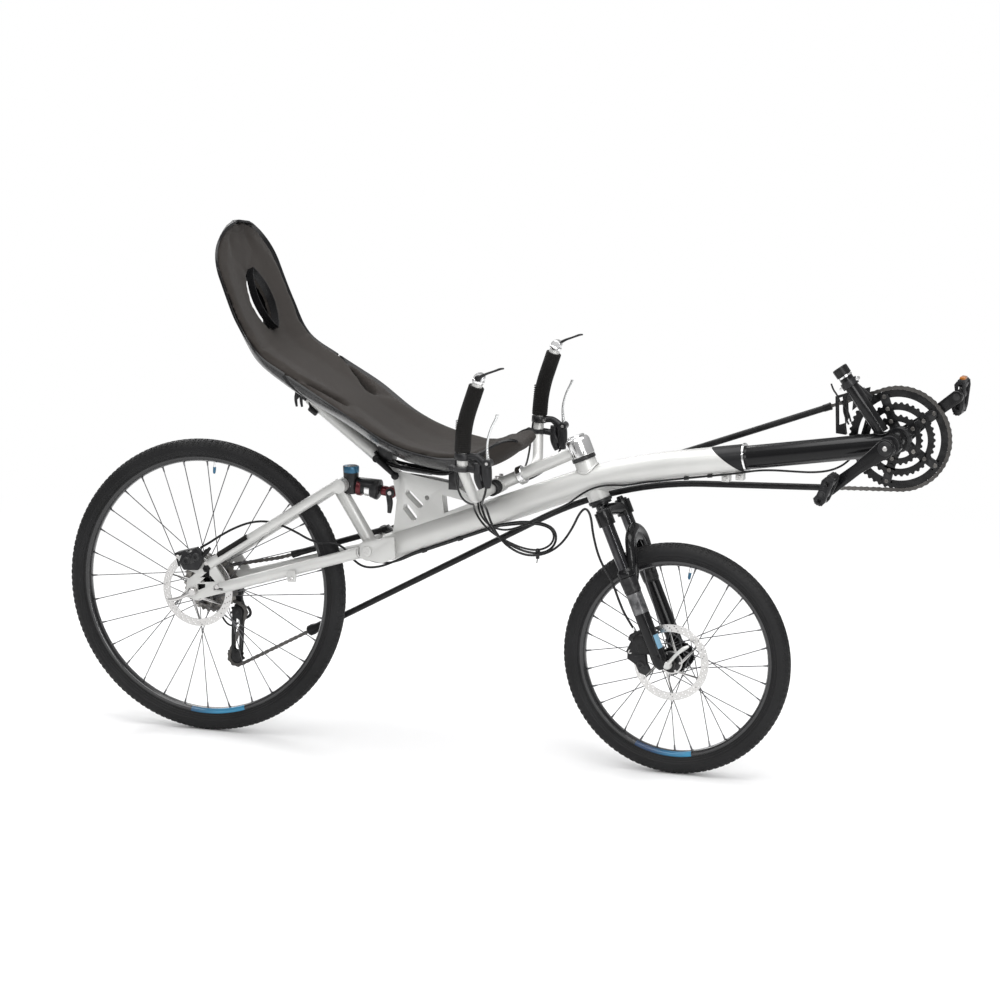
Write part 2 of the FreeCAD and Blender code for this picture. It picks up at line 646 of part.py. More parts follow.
def seat_pad():
    """The foam pad that fills the pan up to the rim line."""
    wires = []
    for point, back, half, depth in seat_frames():
        w = half - SHELL_T - 4.0
        left = point + Y * w - back * 3.0
        right = point - Y * w - back * 3.0
        floor = depth - SHELL_T - 0.8
        edges = [Part.Arc(left, point + back * floor, right).toShape(),
                 Part.LineSegment(right, left).toShape()]
        wires.append(Part.Wire(edges))
    return cut_slots(Part.makeLoft(wires, True, False))


# ---- steering -------------------------------------------------------------------------------------
def fork_crown():
    """Steerer and crown in one piece."""
    steerer = cylinder(steer_point(CROWN_TOP - CROWN_H + 4), UP, STEM_HIGH - CROWN_TOP + CROWN_H - 6, STEERER_R)
    race = cylinder(steer_point(CROWN_TOP), UP, -HEAD_LEN / 2 - CUP_LEN - CROWN_TOP - SEAT_OFF, 22.0)
    pieces = [steerer, race]
    for side in (-1, 1):
        a = steer_point(CROWN_TOP - CROWN_H / 2, 4.0, 0)
        b = steer_point(CROWN_TOP - CROWN_H / 2 - 12, LEG_OFFSET, side * LEG_HALF)
        pieces.append(rod(a, b, CROWN_H / 2))
        pieces.append(cylinder(steer_point(CROWN_TOP - CROWN_H - 14, LEG_OFFSET, side * LEG_HALF), UP,
                               30.0, STANCHION_R + 5.0))
    crown = fuse(pieces)
    for side in (-1, 1):
        hole = cylinder(steer_point(CROWN_TOP - 150, LEG_OFFSET, side * LEG_HALF), UP, 300, STANCHION_R)
        crown = crown.cut(hole)
    return crown


def fork_stanchions():
    legs = []
    for side in (-1, 1):
        low = steer_point(LOWER_TOP - 60, LEG_OFFSET, side * LEG_HALF)
        legs.append(cylinder(low, UP, CROWN_TOP - CROWN_H + 20 - LOWER_TOP + 60, STANCHION_R))
    return Part.makeCompound(legs)


AXLE_ALONG = V(WHEELBASE - HEAD_X, 0, FRONT_WHEEL_R - HEAD_Z).dot(UP)
AXLE_AHEAD = V(WHEELBASE - HEAD_X, 0, FRONT_WHEEL_R - HEAD_Z).dot(AHEAD)


def fork_lowers():
    """Both lower legs with the arch over the tyre and the axle lugs."""
    pieces = []
    arch_ahead = LEG_OFFSET + 26.0
    arch_along = LOWER_TOP + 6.0
    for side in (-1, 1):
        low = steer_point(AXLE_ALONG + 12, LEG_OFFSET, side * LEG_HALF)
        pieces.append(cylinder(low, UP, LOWER_TOP - AXLE_ALONG - 12, LOWER_R))
        y0, y1 = sorted((side * FRONT_HALF_OLN, side * (FRONT_HALF_OLN + 12)))
        centre = steer_point(AXLE_ALONG, AXLE_AHEAD)
        lug = cylinder(V(centre.x, y0, centre.z), Y, y1 - y0, 14.0)
        a = steer_point(AXLE_ALONG, LEG_OFFSET)
        b = steer_point(AXLE_ALONG + 40, LEG_OFFSET)
        across = AHEAD * 14.0
        web = [(p.x, p.z) for p in (a - across, a + across, b + across, b - across)]
        pieces.append(lug.fuse(plate(web, y0, y1)))
        pieces.append(rod(steer_point(arch_along - 22, LEG_OFFSET, side * LEG_HALF),
                          steer_point(arch_along, arch_ahead, side * 40), 7.5))
        pieces.append(Part.makeSphere(7.5, steer_point(arch_along, arch_ahead, side * 40)))
    pieces.append(rod(steer_point(arch_along, arch_ahead, -40), steer_point(arch_along, arch_ahead, 40), 7.5))
    face = FRONT_ROTOR_Y - CALIPER_OUT
    x, z = WHEELBASE, FRONT_WHEEL_R
    pieces.append(plate([(x - 37, z + 57), (x - 72, z + 57), (x - 84, z + 19), (x - 20, z + 17)], face - 8.0, face))
    body = fuse(pieces)
    for side in (-1, 1):
        low = steer_point(LOWER_TOP - 60, LEG_OFFSET, side * LEG_HALF)
        body = body.cut(cylinder(low, UP, 100, STANCHION_R))
    centre = steer_point(AXLE_ALONG, AXLE_AHEAD)
    return body.cut(cylinder(V(centre.x, -90, centre.z), Y, 180.0, AXLE_R))


def wheel_axle(x, z, half, lug):
    """A quick-release axle with a nut on the left and a cam head on the right."""
    pin = cylinder(V(x, -half - lug, z), Y, 2 * (half + lug), AXLE_R)
    nut = cylinder(V(x, half + lug, z), Y, 12.0, 9.0)
    cam = cylinder(V(x, -half - lug - 14, z), Y, 14.0, 9.0)
    return fuse([pin, nut, cam])


def stem():
    """The long stem: steerer clamp, slanted tube and handlebar clamp."""
    clamp = cylinder(steer_point(STEM_LOW), UP, STEM_HIGH - STEM_LOW, STEM_CLAMP_R)
    tube = rod(steer_point(67), V(BAR_X, 0, BAR_Z), STEM_R)
    grip = cylinder(V(BAR_X, -20, BAR_Z), Y, 40.0, 16.5)
    body = fuse([clamp, tube, grip])
    body = body.cut(cylinder(steer_point(0), UP, 200, STEERER_R))
    return body.cut(cylinder(V(BAR_X, -30, BAR_Z), Y, 60.0, BAR_R))


def bar_side(side):
    """One half of the handlebar's centre line, from the middle to the bar's top."""
    places = ((0, 0, 0), (0, 60, 0), (17, 208, 7), (4, 250, 77), (9, 254, 167), (39, 254, 257))
    return [V(BAR_X + x, side * y, BAR_Z + z) for x, y, z in places]


BAR_RADII = (90.0, 45.0, 60.0, 260.0)


def handlebar():
    """One bent bar: a low cross-piece that rises on both sides of the seat."""
    right = bar_side(-1)
    left = bar_side(1)
    return pipe(right[:0:-1] + left[1:], BAR_RADII[::-1] + BAR_RADII, BAR_R)


def bar_grips():
    """Foam sleeves on the two upright ends."""
    sleeves = []
    for side in (-1, 1):
        low, bend, high = bar_side(side)[3:]
        start = low + bend.sub(low).normalize() * 34.0
        end = high - high.sub(bend).normalize() * 10.0
        sleeves.append(pipe([start, bend, end], [BAR_RADII[3]], GRIP_R, BAR_R))
    return Part.makeCompound(sleeves)


def bar_end_shifters():
    """A plug in each bar end with its short thumb lever."""
    pods = []
    for side in (-1, 1):
        bend, foot = bar_side(side)[4:]
        up = foot.sub(bend).normalize()
        pod = rod(foot, foot + up * 16, 13.0)
        lever = rod(foot + up * 10 + Y * side * 6, foot + up * 18 + Y * side * 10 + V(46, 0, 14), 4.0)
        pods.append(pod.fuse(lever))
    return Part.makeCompound(pods)


def brake_levers():
    """A clamp, a body, a blade and a hose ferrule below each grip."""
    levers = []
    for side in (-1, 1):
        low, bend = bar_side(side)[3:5]
        up = bend.sub(low).normalize()
        foot = low + up * 25.0
        clamp = rod(foot - up * 7.0, foot + up * 7.0, 17.0)
        nose = V(BAR_X + 59, foot.y, BAR_Z + 79)
        hinge = nose + V(2, 0, 8)
        body = rod(foot + X * 12, nose, 11.0)
        blade = rod(hinge, V(BAR_X + 79, side * 250, BAR_Z + 191), 5.0)
        tip = Part.makeSphere(8.0, hinge)
        ferrule = rod(nose - X * 3, nose - Z * 13, 4.5)
        bar = pipe(bar_side(side)[1:], BAR_RADII[1:], BAR_R)
        levers.append(fuse([clamp, body, tip, blade, ferrule]).cut(bar))
    return Part.makeCompound(levers)


def caliper(x, z, y, angle, reach):
    """A disc brake caliper straddling a rotor at an angle about the axle."""
    a = math.radians(angle)
    out = V(math.cos(a), 0, math.sin(a))
    along = V(-out.z, 0, out.x)
    centre = V(x, 0, z) + out * reach
    corners = [centre + along * dx + out * dz for dx, dz in ((-24, -15), (24, -15), (24, 15), (-24, 15))]
    body = plate([(p.x, p.z) for p in corners], y - CALIPER_OUT, y + 13)
    gap = cylinder(V(x, y - 2.5, z), Y, 5.0, ROTOR_R + 2)
    return body.cut(gap)


# ---- hoses and cables: each a radius and its hand-laid points --------------------------------------
HOSE_R = 2.5
CABLE_R = 2.2
CLIP_WALL = 1.6
FRONT_HOSE = ((722, -251, 650.2), (719, -247, 620), (706, -230, 594), (692, -196, 580), (684, -160, 572),
              (682, -134, 558), (686, -124, 532), (697, -112, 502), (717, -96, 473), (750, -82, 455),
              (788, -72, 458), (822, -70, 480), (847, -72, 516), (868, -80, 543), (889, -90, 552),
              (906, -95, 537), (911, -96, 504), (924, -94, 460), (942, -92, 417), (956, -90, 378),
              (968, -77, 341), (982, -54, 308))
CONTROL_LINES = (
    # rear brake hose: left lever, round behind the bar, down in a loop and back to the main tube
    (HOSE_R, ((722, 251, 649.6), (719, 247, 620), (706, 228, 594), (690, 194, 578), (672, 158, 568),
              (654, 120, 568), (642, 80, 576), (638, 40, 583), (637, 0, 585), (639, -40, 582),
              (646, -76, 574), (658, -100, 556), (672, -108, 528), (690, -100, 500), (715, -84, 476),
              (748, -70, 460), (778, -62, 458), (800, -56, 469), (808, -50, 490), (799, -44, 509),
              (776, -38, 517), (746, -30, 517), (705, -20, 512.5), (667, -16, 502))),
    # rear gear cable: right shifter, beside the hose
    (CABLE_R, ((654.5, -251, 679.2), (652, -247, 650), (652, -236, 618), (655, -208, 588), (658, -170, 573),
               (654, -134, 566), (646, -108, 549), (655, -94, 523), (676, -84, 499), (704, -72, 481),
               (736, -61, 466), (768, -55, 462), (792, -49, 472), (801, -44, 490), (792, -36, 506),
               (769, -28, 512), (737, -19, 511), (700, -11, 505), (667, -6, 498.2))),
    # front gear cable: left shifter, behind the bar and forward to the head
    (CABLE_R, ((654.5, 251, 679.2), (652, 247, 650), (652, 236, 618), (654, 206, 588), (648, 168, 567),
               (640, 128, 564), (632, 88, 571), (628, 48, 579), (628, 6, 582), (631, -34, 577),
               (637, -62, 560), (646, -74, 534), (666, -72, 511), (694, -62, 500), (726, -54, 508),
               (760, -46, 524), (794, -40, 543), (828, -32, 563))),
)
REAR_HOSE = ((667, -16, 502), (474, -16, 426.6), (440, -20, 409), (408, -27, 395), (372, -27, 391),
             (344, -19, 404), (326, -19, 428), (304, -30, 441), (278, -38, 438), (250, -38, 445),
             (222, -36, 458), (190, -35, 470), (154, -36, 478), (118, -42, 474), (84, -49, 460),
             (52, -55, 441), (24, -59, 421), (-0.2, -60, 408))
GEAR_LINES = (
    # rear: under the main tube, under the left lower stay, looped to the derailleur
    (CABLE_R, ((667, -6, 498.2), (474, -6, 422.7), (444, 2, 407), (412, 14, 396), (376, 28, 393),
               (340, 38, 400.8), (120, 66, 333.7), (94, 77, 325), (66, 86, 319), (38, 90, 314), (12, 92, 301),
               (-6, 93, 279), (-10, 92, 252), (-2, 89, 228), (16, 84, 213), (36, 80, 217), (47, 76, 233))),
    # front: beside the head tube, under the main tube and the boom, up to the derailleur
    (CABLE_R, ((828, -32, 563), (852, -32, 583), (880, -33, 599), (910, -31, 607), (946, -24, 606.5),
               (986, -18, 615), (1190, -18, 648.5), (1222, -13, 655), (1256, -8, 657), (1296, -2, 656),
               (1336, 6, 655), (1372, 15, 660), (1400, 25, 675), (1418, 31, 700), (1428, 33, 732),
               (1437, 32, 764), (1444, 30, 795))),
)
TUBE_CLIP_X = (655.0, 580.0, 500.0)   # saddles that hold the two rear lines under the main tube
BOOM_CLIP_X = (1075.0, 1125.0)        # saddles that hold the front gear cable


def front_brake_hose():
    return cable([V(*p) for p in FRONT_HOSE], HOSE_R)


def control_cables():
    """The three lines that flex between the handlebar and the frame."""
    return Part.makeCompound([cable([V(*p) for p in points], radius) for radius, points in CONTROL_LINES])


def rear_brake_hose():
    return cable([V(*p) for p in REAR_HOSE], HOSE_R)


def gear_cables():
    return Part.makeCompound([cable([V(*p) for p in points], radius) for radius, points in GEAR_LINES])


def clip(line, x, radius):
    """A short saddle round a line of points where it passes x, open towards the tube above it."""
    points = [V(*p) for p in line]
    for a, b in zip(points, points[1:]):
        if min(a.x, b.x) <= x <= max(a.x, b.x):
            along = b.sub(a).normalize()
            centre = a + (b - a) * ((x - a.x) / (b.x - a.x))
    lift = math.sqrt((MAIN_R + radius + SEAT_OFF) ** 2 - centre.y ** 2)
    to_axis = (V(0, -centre.y, 0) + along.cross(Y).normalize() * -lift).normalize()
    collar = cylinder(centre - along * 5, along, 10.0, radius + CLIP_WALL, radius)
    return collar.cut(cylinder(centre + to_axis * (radius + 0.05), to_axis, 10.0, 12.0))


def cable_clips():
    """Saddles on the main tube that carry the hose and the gear cables."""
    saddles = []
    for x in TUBE_CLIP_X:
        saddles.append(clip(REAR_HOSE, x, HOSE_R))
        saddles.append(clip(GEAR_LINES[0][1], x, CABLE_R))
    for x in BOOM_CLIP_X:
        saddles.append(clip(GEAR_LINES[1][1], x, CABLE_R))
    return Part.makeCompound(saddles)


# ---- drive ----------------------------------------------------------------------------------------
def chainrings():
    """Three rings on one spider."""
    pieces = []
    for radius, y in RINGS:
        ring = cylinder(V(BB_X, y - RING_T / 2, BB_Z), Y, RING_T, radius - TOOTH_GAP, radius - 18.0)
        pieces.append(ring)
    spider = cylinder(V(BB_X, 39.2, BB_Z), Y, 19.3, 28.0, SPINDLE_R)
    pieces.append(spider)
    for i in range(5):
        angle = CRANK_ANGLE + i * 72.0
        a, b = polar(BB_X, BB_Z, 20, angle), polar(BB_X, BB_Z, RINGS[0][0] - 14.0, angle)
        along = b.sub(a).normalize()
        across = V(-along.z, 0, along.x) * 7.0
        corners = [(p.x, p.z) for p in (a + across, b + across, b - across, a - across)]
        pieces.append(plate(corners, 48.5, 52.5))
        a, b = polar(BB_X, BB_Z, 20, angle), polar(BB_X, BB_Z, RINGS[2][0] - 12.0, angle)
        corners = [(p.x, p.z) for p in (a + across, b + across, b - across, a - across)]
        pieces.append(plate(corners, 39.2, 49.0))
        seat = polar(BB_X, BB_Z, RINGS[1][0] - 12.0, angle)
        pieces.append(cylinder(V(seat.x, 45.5, seat.z), Y, 10.0, 6.0))
    return fuse(pieces)


def crank_arm(side, angle):
    """One crank arm with its boss and the pedal eye."""
    y0, y1 = sorted((side * CRANK_IN_Y, side * CRANK_OUT_Y))
    boss = cylinder(V(BB_X, y0, BB_Z), Y, y1 - y0, 19.0)
    end = polar(BB_X, BB_Z, CRANK_LEN, angle)
    eye = cylinder(V(end.x, y0, end.z), Y, y1 - y0, 13.0)
    start = polar(BB_X, BB_Z, 0, angle)
    along = end.sub(start).normalize()
    across = V(-along.z, 0, along.x)
    corners = [start + across * 15, end + across * 11, end - across * 11, start - across * 15]
    web = plate([(p.x, p.z) for p in corners], y0 + 1, y1 - 1)
    arm = fuse([boss, eye, web])
    arm = arm.cut(cylinder(V(end.x, y0 - 1, end.z), Y, y1 - y0 + 2, 7.0))
    return arm.cut(cylinder(V(BB_X, -90, BB_Z), Y, 180, SPINDLE_R))


def crank_spindle():
    return cylinder(V(BB_X, -CRANK_OUT_Y - 2, BB_Z), Y, 2 * CRANK_OUT_Y + 4, SPINDLE_R)


def bottom_bracket():
    """Bearing cups inside the crank shell."""
    cups = []
    for y0 in (-BB_SHELL_W / 2 - 4, BB_SHELL_W / 2 - 14):
        cups.append(cylinder(V(BB_X, y0, BB_Z), Y, 18.0, 17.0, SPINDLE_R + BORE_GAP))
    return Part.makeCompound(cups)


def pedal(side, angle):
    """A small clip pedal around its own spindle hole."""
    end = polar(BB_X, BB_Z, CRANK_LEN, angle)
    y0, y1 = sorted((side * PEDAL_IN_Y, side * PEDAL_OUT_Y))
    outline = [(-32, -9), (32, -9), (36, 2), (22, 11), (-22, 11), (-36, 2)]
    body = plate([(end.x + x, end.z + z) for x, z in outline], y0, y1)
    body.rotate(end, Y, -PEDAL_TILT)
    return body.cut(cylinder(V(end.x, y0 - 1, end.z), Y, y1 - y0 + 2, 5.0 + BORE_GAP))


def pedal_spindle(side, angle):
    end = polar(BB_X, BB_Z, CRANK_LEN, angle)
    y0, y1 = sorted((side * CRANK_IN_Y, side * (PEDAL_IN_Y - SEAT_OFF)))
    thick = cylinder(V(end.x, y0, end.z), Y, y1 - y0, 7.0)
    y0, y1 = sorted((side * (PEDAL_IN_Y - 4), side * (PEDAL_OUT_Y - 1)))
    return thick.fuse(cylinder(V(end.x, y0, end.z), Y, y1 - y0, 5.0))


def tangent(c1, r1, c2, r2, side1, side2):
    """Ends of the straight run that leaves circle 1 on side1 and meets circle 2 on side2.

    A side is +1 when the circle lies to the right of the run's direction, -1 when it lies to the left.
    """
    d = c2.sub(c1)
    base = math.atan2(d.z, d.x)
    tilt = math.asin((side1 * r1 - side2 * r2) / d.Length)
    heading = base - tilt
    left = V(-math.sin(heading), 0, math.cos(heading))
    return c1 + left * (side1 * r1), c2 + left * (side2 * r2)


def chain_circles():
    """What the chain runs round, in order: (centre, radius, side it lies on, point midway round)."""
    y = CHAIN_Y
    ring = V(BB_X, y, BB_Z)
    idler = V(IDLER_X, y, IDLER_Z)
    cog = V(0, y, REAR_WHEEL_R)
    guide = V(GUIDE_X, y, GUIDE_Z)
    tension = V(TENSION_X, y, TENSION_Z)
    # running from the chainring's top backward, every circle but the guide pulley lies to the left
    return [(ring, RINGS[0][0], -1), (idler, IDLER_R, -1), (cog, COG_R, -1), (guide, PULLEY_R, 1),
            (tension, PULLEY_R, -1)]


def chain_runs():
    """Each run of the chain as its list of points, with the bend radii of its inner points."""
    circles = chain_circles()
    upper, rear = [V(x, CHAIN_Y, z) for x, z, r in POWER_BENDS]
    lower = V(RETURN_BEND_X, CHAIN_Y, RETURN_BEND_Z)
    inner = [[upper], [rear], [], [], [lower]]
    radii = [[POWER_BENDS[0][2]], [POWER_BENDS[1][2]], [], [], [RETURN_BEND_R]]
    runs = []
    for i, points in enumerate(inner):
        c1, r1, side1 = circles[i]
        c2, r2, side2 = circles[(i + 1) % len(circles)]
        if points:
            start = tangent(c1, r1, points[0], 0.0, side1, side1)[0]
            end = tangent(points[-1], 0.0, c2, r2, side2, side2)[1]
        else:
            start, end = tangent(c1, r1, c2, r2, side1, side2)
        runs.append(([start] + points + [end], radii[i]))
    return runs


def arc_round(centre, radius, start, end, turn):
    """The arc from start to end about centre, counter-clockwise in the side view when turn is 1."""
    a0 = math.atan2(start.z - centre.z, start.x - centre.x)
    a1 = math.atan2(end.z - centre.z, end.x - centre.x)
    while (a1 - a0) * turn < 0:
        a1 += turn * 2 * math.pi
    middle = (a0 + a1) / 2
    return Part.Arc(start, centre + V(math.cos(middle), 0, math.sin(middle)) * radius, end).toShape()


def chain():
    """The whole chain as one fixed flat loop in the plane of the outer ring."""
    circles = chain_circles()
    runs = chain_runs()
    edges = []
    for i, (points, radii) in enumerate(runs):
        edges.extend(tangent_path(points, radii).Edges)
        j = (i + 1) % len(circles)
        centre, radius, side = circles[j]
        edges.append(arc_round(centre, radius, points[-1], runs[j][0][0], -side))
    loop = Part.Wire(edges)
    half = CHAIN_H / 2
    areas = [Part.Face(loop.makeOffset2D(shift)) for shift in (half, -half)]
    small, big = sorted(areas, key=lambda face: face.Area)
    reach = V(0, CHAIN_W, 0)
    band = big.extrude(reach).cut(small.extrude(reach))
    band.translate(V(0, -band.BoundBox.Center.y + CHAIN_Y, 0))
    return band


def between(points, x):
    """The point of a polyline at a given x."""
    for a, b in zip(points, points[1:]):
        if min(a.x, b.x) <= x <= max(a.x, b.x):
            return a + (b - a) * ((x - a.x) / (b.x - a.x))


def chain_tube(run, ends):
    """A plastic tube round part of a chain run, with the run's own bends inside it."""
    points, radii = run
    low, high = ends
    inner = [p for p in points[1:-1] if low < p.x < high]
    kept = radii if inner else []
    first, last = sorted(ends, reverse=points[0].x > points[-1].x)
    return pipe([between(points, first)] + inner + [between(points, last)], kept, TUBE_R, TUBE_BORE_R)


def chain_tubes():
    """Three plastic tubes that guide the chain, by name."""
    runs = chain_runs()
    return {"lower_chain_tube": chain_tube(runs[4], LOWER_TUBE_X),
            "upper_chain_tube": chain_tube(runs[0], UPPER_TUBE_X),
            "rear_chain_tube": chain_tube(runs[1], REAR_TUBE_X)}


def chain_idler():
    """The grooved roller beside the main tube, with its axle."""
    y0 = CHAIN_Y - 7.0
    wheel = cylinder(V(IDLER_X, y0, IDLER_Z), Y, 14.0, IDLER_R - TOOTH_GAP)
    sides = [cylinder(V(IDLER_X, y, IDLER_Z), Y, 2.0, IDLER_R - 2.0) for y in (y0, y0 + 12.0)]
    foot = PIVOT_HALF + SEAT_OFF + CHEEK_T
    axle = cylinder(V(IDLER_X, foot, IDLER_Z), Y, CHAIN_Y + 10.0 - foot, 7.0)
    return fuse([wheel] + sides + [axle])


def stadium(a, b, half, y0, y1):
    """A flat link with round ends between two side-view points."""
    along = b.sub(a).normalize()
    across = V(-along.z, 0, along.x) * half
    corners = [(p.x, p.z) for p in (a + across, b + across, b - across, a - across)]
    ends = [cylinder(V(p.x, y0, p.z), Y, y1 - y0, half) for p in (a, b)]
    return fuse([plate(corners, y0, y1)] + ends)


def rear_derailleur():
    """Hanger bolt, link body, cage and two pulleys."""
    guide = V(GUIDE_X, 0, GUIDE_Z)
    tension = V(TENSION_X, 0, TENSION_Z)
    hanger = V(GUIDE_X - 10, 0, GUIDE_Z + 40)
    y_out = REAR_HALF_OLN + DROPOUT_T
    pieces = [stadium(guide, tension, 11.0, CHAIN_Y - 6.5, CHAIN_Y - 5.0),
              stadium(guide, tension, 11.0, CHAIN_Y + 5.0, CHAIN_Y + 7.0)]
    for centre in (guide, tension):
        pieces.append(cylinder(V(centre.x, CHAIN_Y - 6.5, centre.z), Y, 13.5, 5.0))
        pieces.append(cylinder(V(centre.x, CHAIN_Y - 1.2, centre.z), Y, 2.4, PULLEY_R - TOOTH_GAP))
    pieces.append(cylinder(V(guide.x, CHAIN_Y + 7.0, guide.z), Y, 12.0, 12.0))
    pieces.append(stadium(guide, hanger, 9.0, CHAIN_Y + 11.0, y_out + 5.0))
    pieces.append(cylinder(V(hanger.x, y_out, hanger.z), Y, 14.0, 11.0))
    body = fuse(pieces)
    drop = block(-40, 100, REAR_HALF_OLN, y_out, hanger.z - 12, 400)
    return body.cut(drop)


def seat_brackets():
    """Three supports between the seat shell and what is under it."""
    shell = seat_shell()
    blocks = [block(212, 246, -18, 18, 745, 806), block(398, 430, -14, 14, 622, 690),
              block(556, 580, -15, 15, 570, 640)]
    carriers = rod(V(446, 0, 590), V(232, 0, 749), MAST_R).fuse(gusset())
    pan = fuse([shell, seat_pad()])
    pieces = []
    for piece in blocks:
        solid = max(piece.cut(pan).cut(carriers).Solids, key=lambda s: s.Volume)
        pieces.append(solid)
    return Part.makeCompound(pieces)


def write(name, shape):
    """Move a sub-part into the row's frame and write it."""
    shape = shape.copy()
    shape.translate(V(-HIP_X, 0, -HIP_Z))
    shape.exportStep("parts/" + name + ".step")


def build():
    """Every sub-part by name."""
    rear = (0.0, REAR_WHEEL_R, REAR_WHEEL_R)
    front = (WHEELBASE, FRONT_WHEEL_R, FRONT_WHEEL_R)
    parts = {}
    for name, (x, z, r) in (("rear", rear), ("front", front)):
        parts[name + "_tyre"] = tyre(x, z, r)
        parts[name + "_rim"] = rim(x, z, r)
    parts["rear_spokes"] = spokes(0, REAR_WHEEL_R, REAR_WHEEL_R, -34.0, 17.0)
    parts["front_spokes"] = spokes(WHEELBASE, FRONT_WHEEL_R, FRONT_WHEEL_R, -24.0, 33.0)
    parts["rear_hub"] = hub(0, REAR_WHEEL_R, -67.0, 67.0, -34.0, 17.0, REAR_ROTOR_Y)
    parts["front_hub"] = hub(WHEELBASE, FRONT_WHEEL_R, -49.5, 49.5, -24.0, 33.0, FRONT_ROTOR_Y)
    parts["rear_brake_rotor"] = rotor(0, REAR_WHEEL_R, REAR_ROTOR_Y)
    parts["front_brake_rotor"] = rotor(WHEELBASE, FRONT_WHEEL_R, FRONT_ROTOR_Y)
    parts["rear_cassette"] = cassette()
    parts["rear_axle"] = wheel_axle(0, REAR_WHEEL_R, REAR_HALF_OLN, DROPOUT_T)
    parts["front_axle"] = wheel_axle(WHEELBASE, FRONT_WHEEL_R, FRONT_HALF_OLN, 12.0)
    parts["main_tube"] = main_tube()
    parts["head_tube"] = head_tube()
    parts["headset_cups"] = headset_cups()
    parts["boom"] = boom()
    parts["boom_clamp"] = boom_clamp()
    parts["derailleur_post"] = derailleur_post()
    parts["front_derailleur"] = front_derailleur()
    parts["seat_gusset"] = gusset()
    parts["pivot_lugs"] = pivot_lugs()
    parts["pivot_axle"] = pivot_axle()
    parts["swingarm"] = swingarm()
    parts["rear_shock"] = shock()
    parts["seat_mast"] = seat_mast()
    parts["seat_shell"] = seat_shell()
    parts["seat_pad"] = seat_pad()
    parts["fork_crown"] = fork_crown()
    parts["fork_stanchions"] = fork_stanchions()
    parts["fork_lowers"] = fork_lowers()
    parts["stem"] = stem()
    parts["handlebar"] = handlebar()
    parts["bar_grips"] = bar_grips()
    parts["bar_end_shifters"] = bar_end_shifters()
    parts["brake_levers"] = brake_levers()
    parts["front_brake_caliper"] = caliper(WHEELBASE, FRONT_WHEEL_R, FRONT_ROTOR_Y, 155.0, 78.0)
    parts["rear_brake_caliper"] = caliper(0, REAR_WHEEL_R, REAR_ROTOR_Y, 106.0, 74.0)
    parts["front_brake_hose"] = front_brake_hose()
    parts["rear_brake_hose"] = rear_brake_hose()
    parts["control_cables"] = control_cables()
    parts["gear_cables"] = gear_cables()
    parts["cable_clips"] = cable_clips()
    parts["seat_brackets"] = seat_brackets()
    parts["rear_derailleur"] = rear_derailleur()
    parts["chain"] = chain()
    parts["chain_idler"] = chain_idler()
    parts.update(chain_tubes())
    parts["chainrings"] = chainrings()
    parts["left_crank_arm"] = crank_arm(1, CRANK_ANGLE)
    parts["right_crank_arm"] = crank_arm(-1, CRANK_ANGLE + 180)
    parts["crank_spindle"] = crank_spindle()
    parts["bottom_bracket"] = bottom_bracket()
    parts["left_pedal"] = pedal(1, CRANK_ANGLE)
    parts["right_pedal"] = pedal(-1, CRANK_ANGLE + 180)
    parts["pedal_spindles"] = Part.makeCompound([pedal_spindle(1, CRANK_ANGLE),
                                                 pedal_spindle(-1, CRANK_ANGLE + 180)])
    return parts


def print_cable_bends():
    """Length and bend radii of each flexible line."""
    lines = {"front_brake_hose": [FRONT_HOSE], "rear_brake_hose": [REAR_HOSE],
             "control_cables": [points for _, points in CONTROL_LINES],
             "gear_cables": [points for _, points in GEAR_LINES]}
    for name, routes in lines.items():
        for route in routes:
            points = [V(*p) for p in route]
            radii = soft_radii(points)
            length = tangent_path(points, radii).Length
            print(name, "length", round(length), "bend radii", [round(r) for r in radii])


os.makedirs("parts", exist_ok=True)
for part_name, part_shape in build().items():
    write(part_name, part_shape)
    print(part_name, len(part_shape.Solids), part_shape.isValid(), round(part_shape.Volume))
print_cable_bends()
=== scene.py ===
"""Recumbent bicycle with under-seat steering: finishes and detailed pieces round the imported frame.

Lengths are in metres in the row frame: +X forward, +Y the rider's left (the chain side), +Z up.
"""
import json
import logging
import math
from collections.abc import Callable, Iterable, Sequence
from dataclasses import dataclass, field
from enum import Enum

import bpy
from mathutils import Matrix, Quaternion, Vector

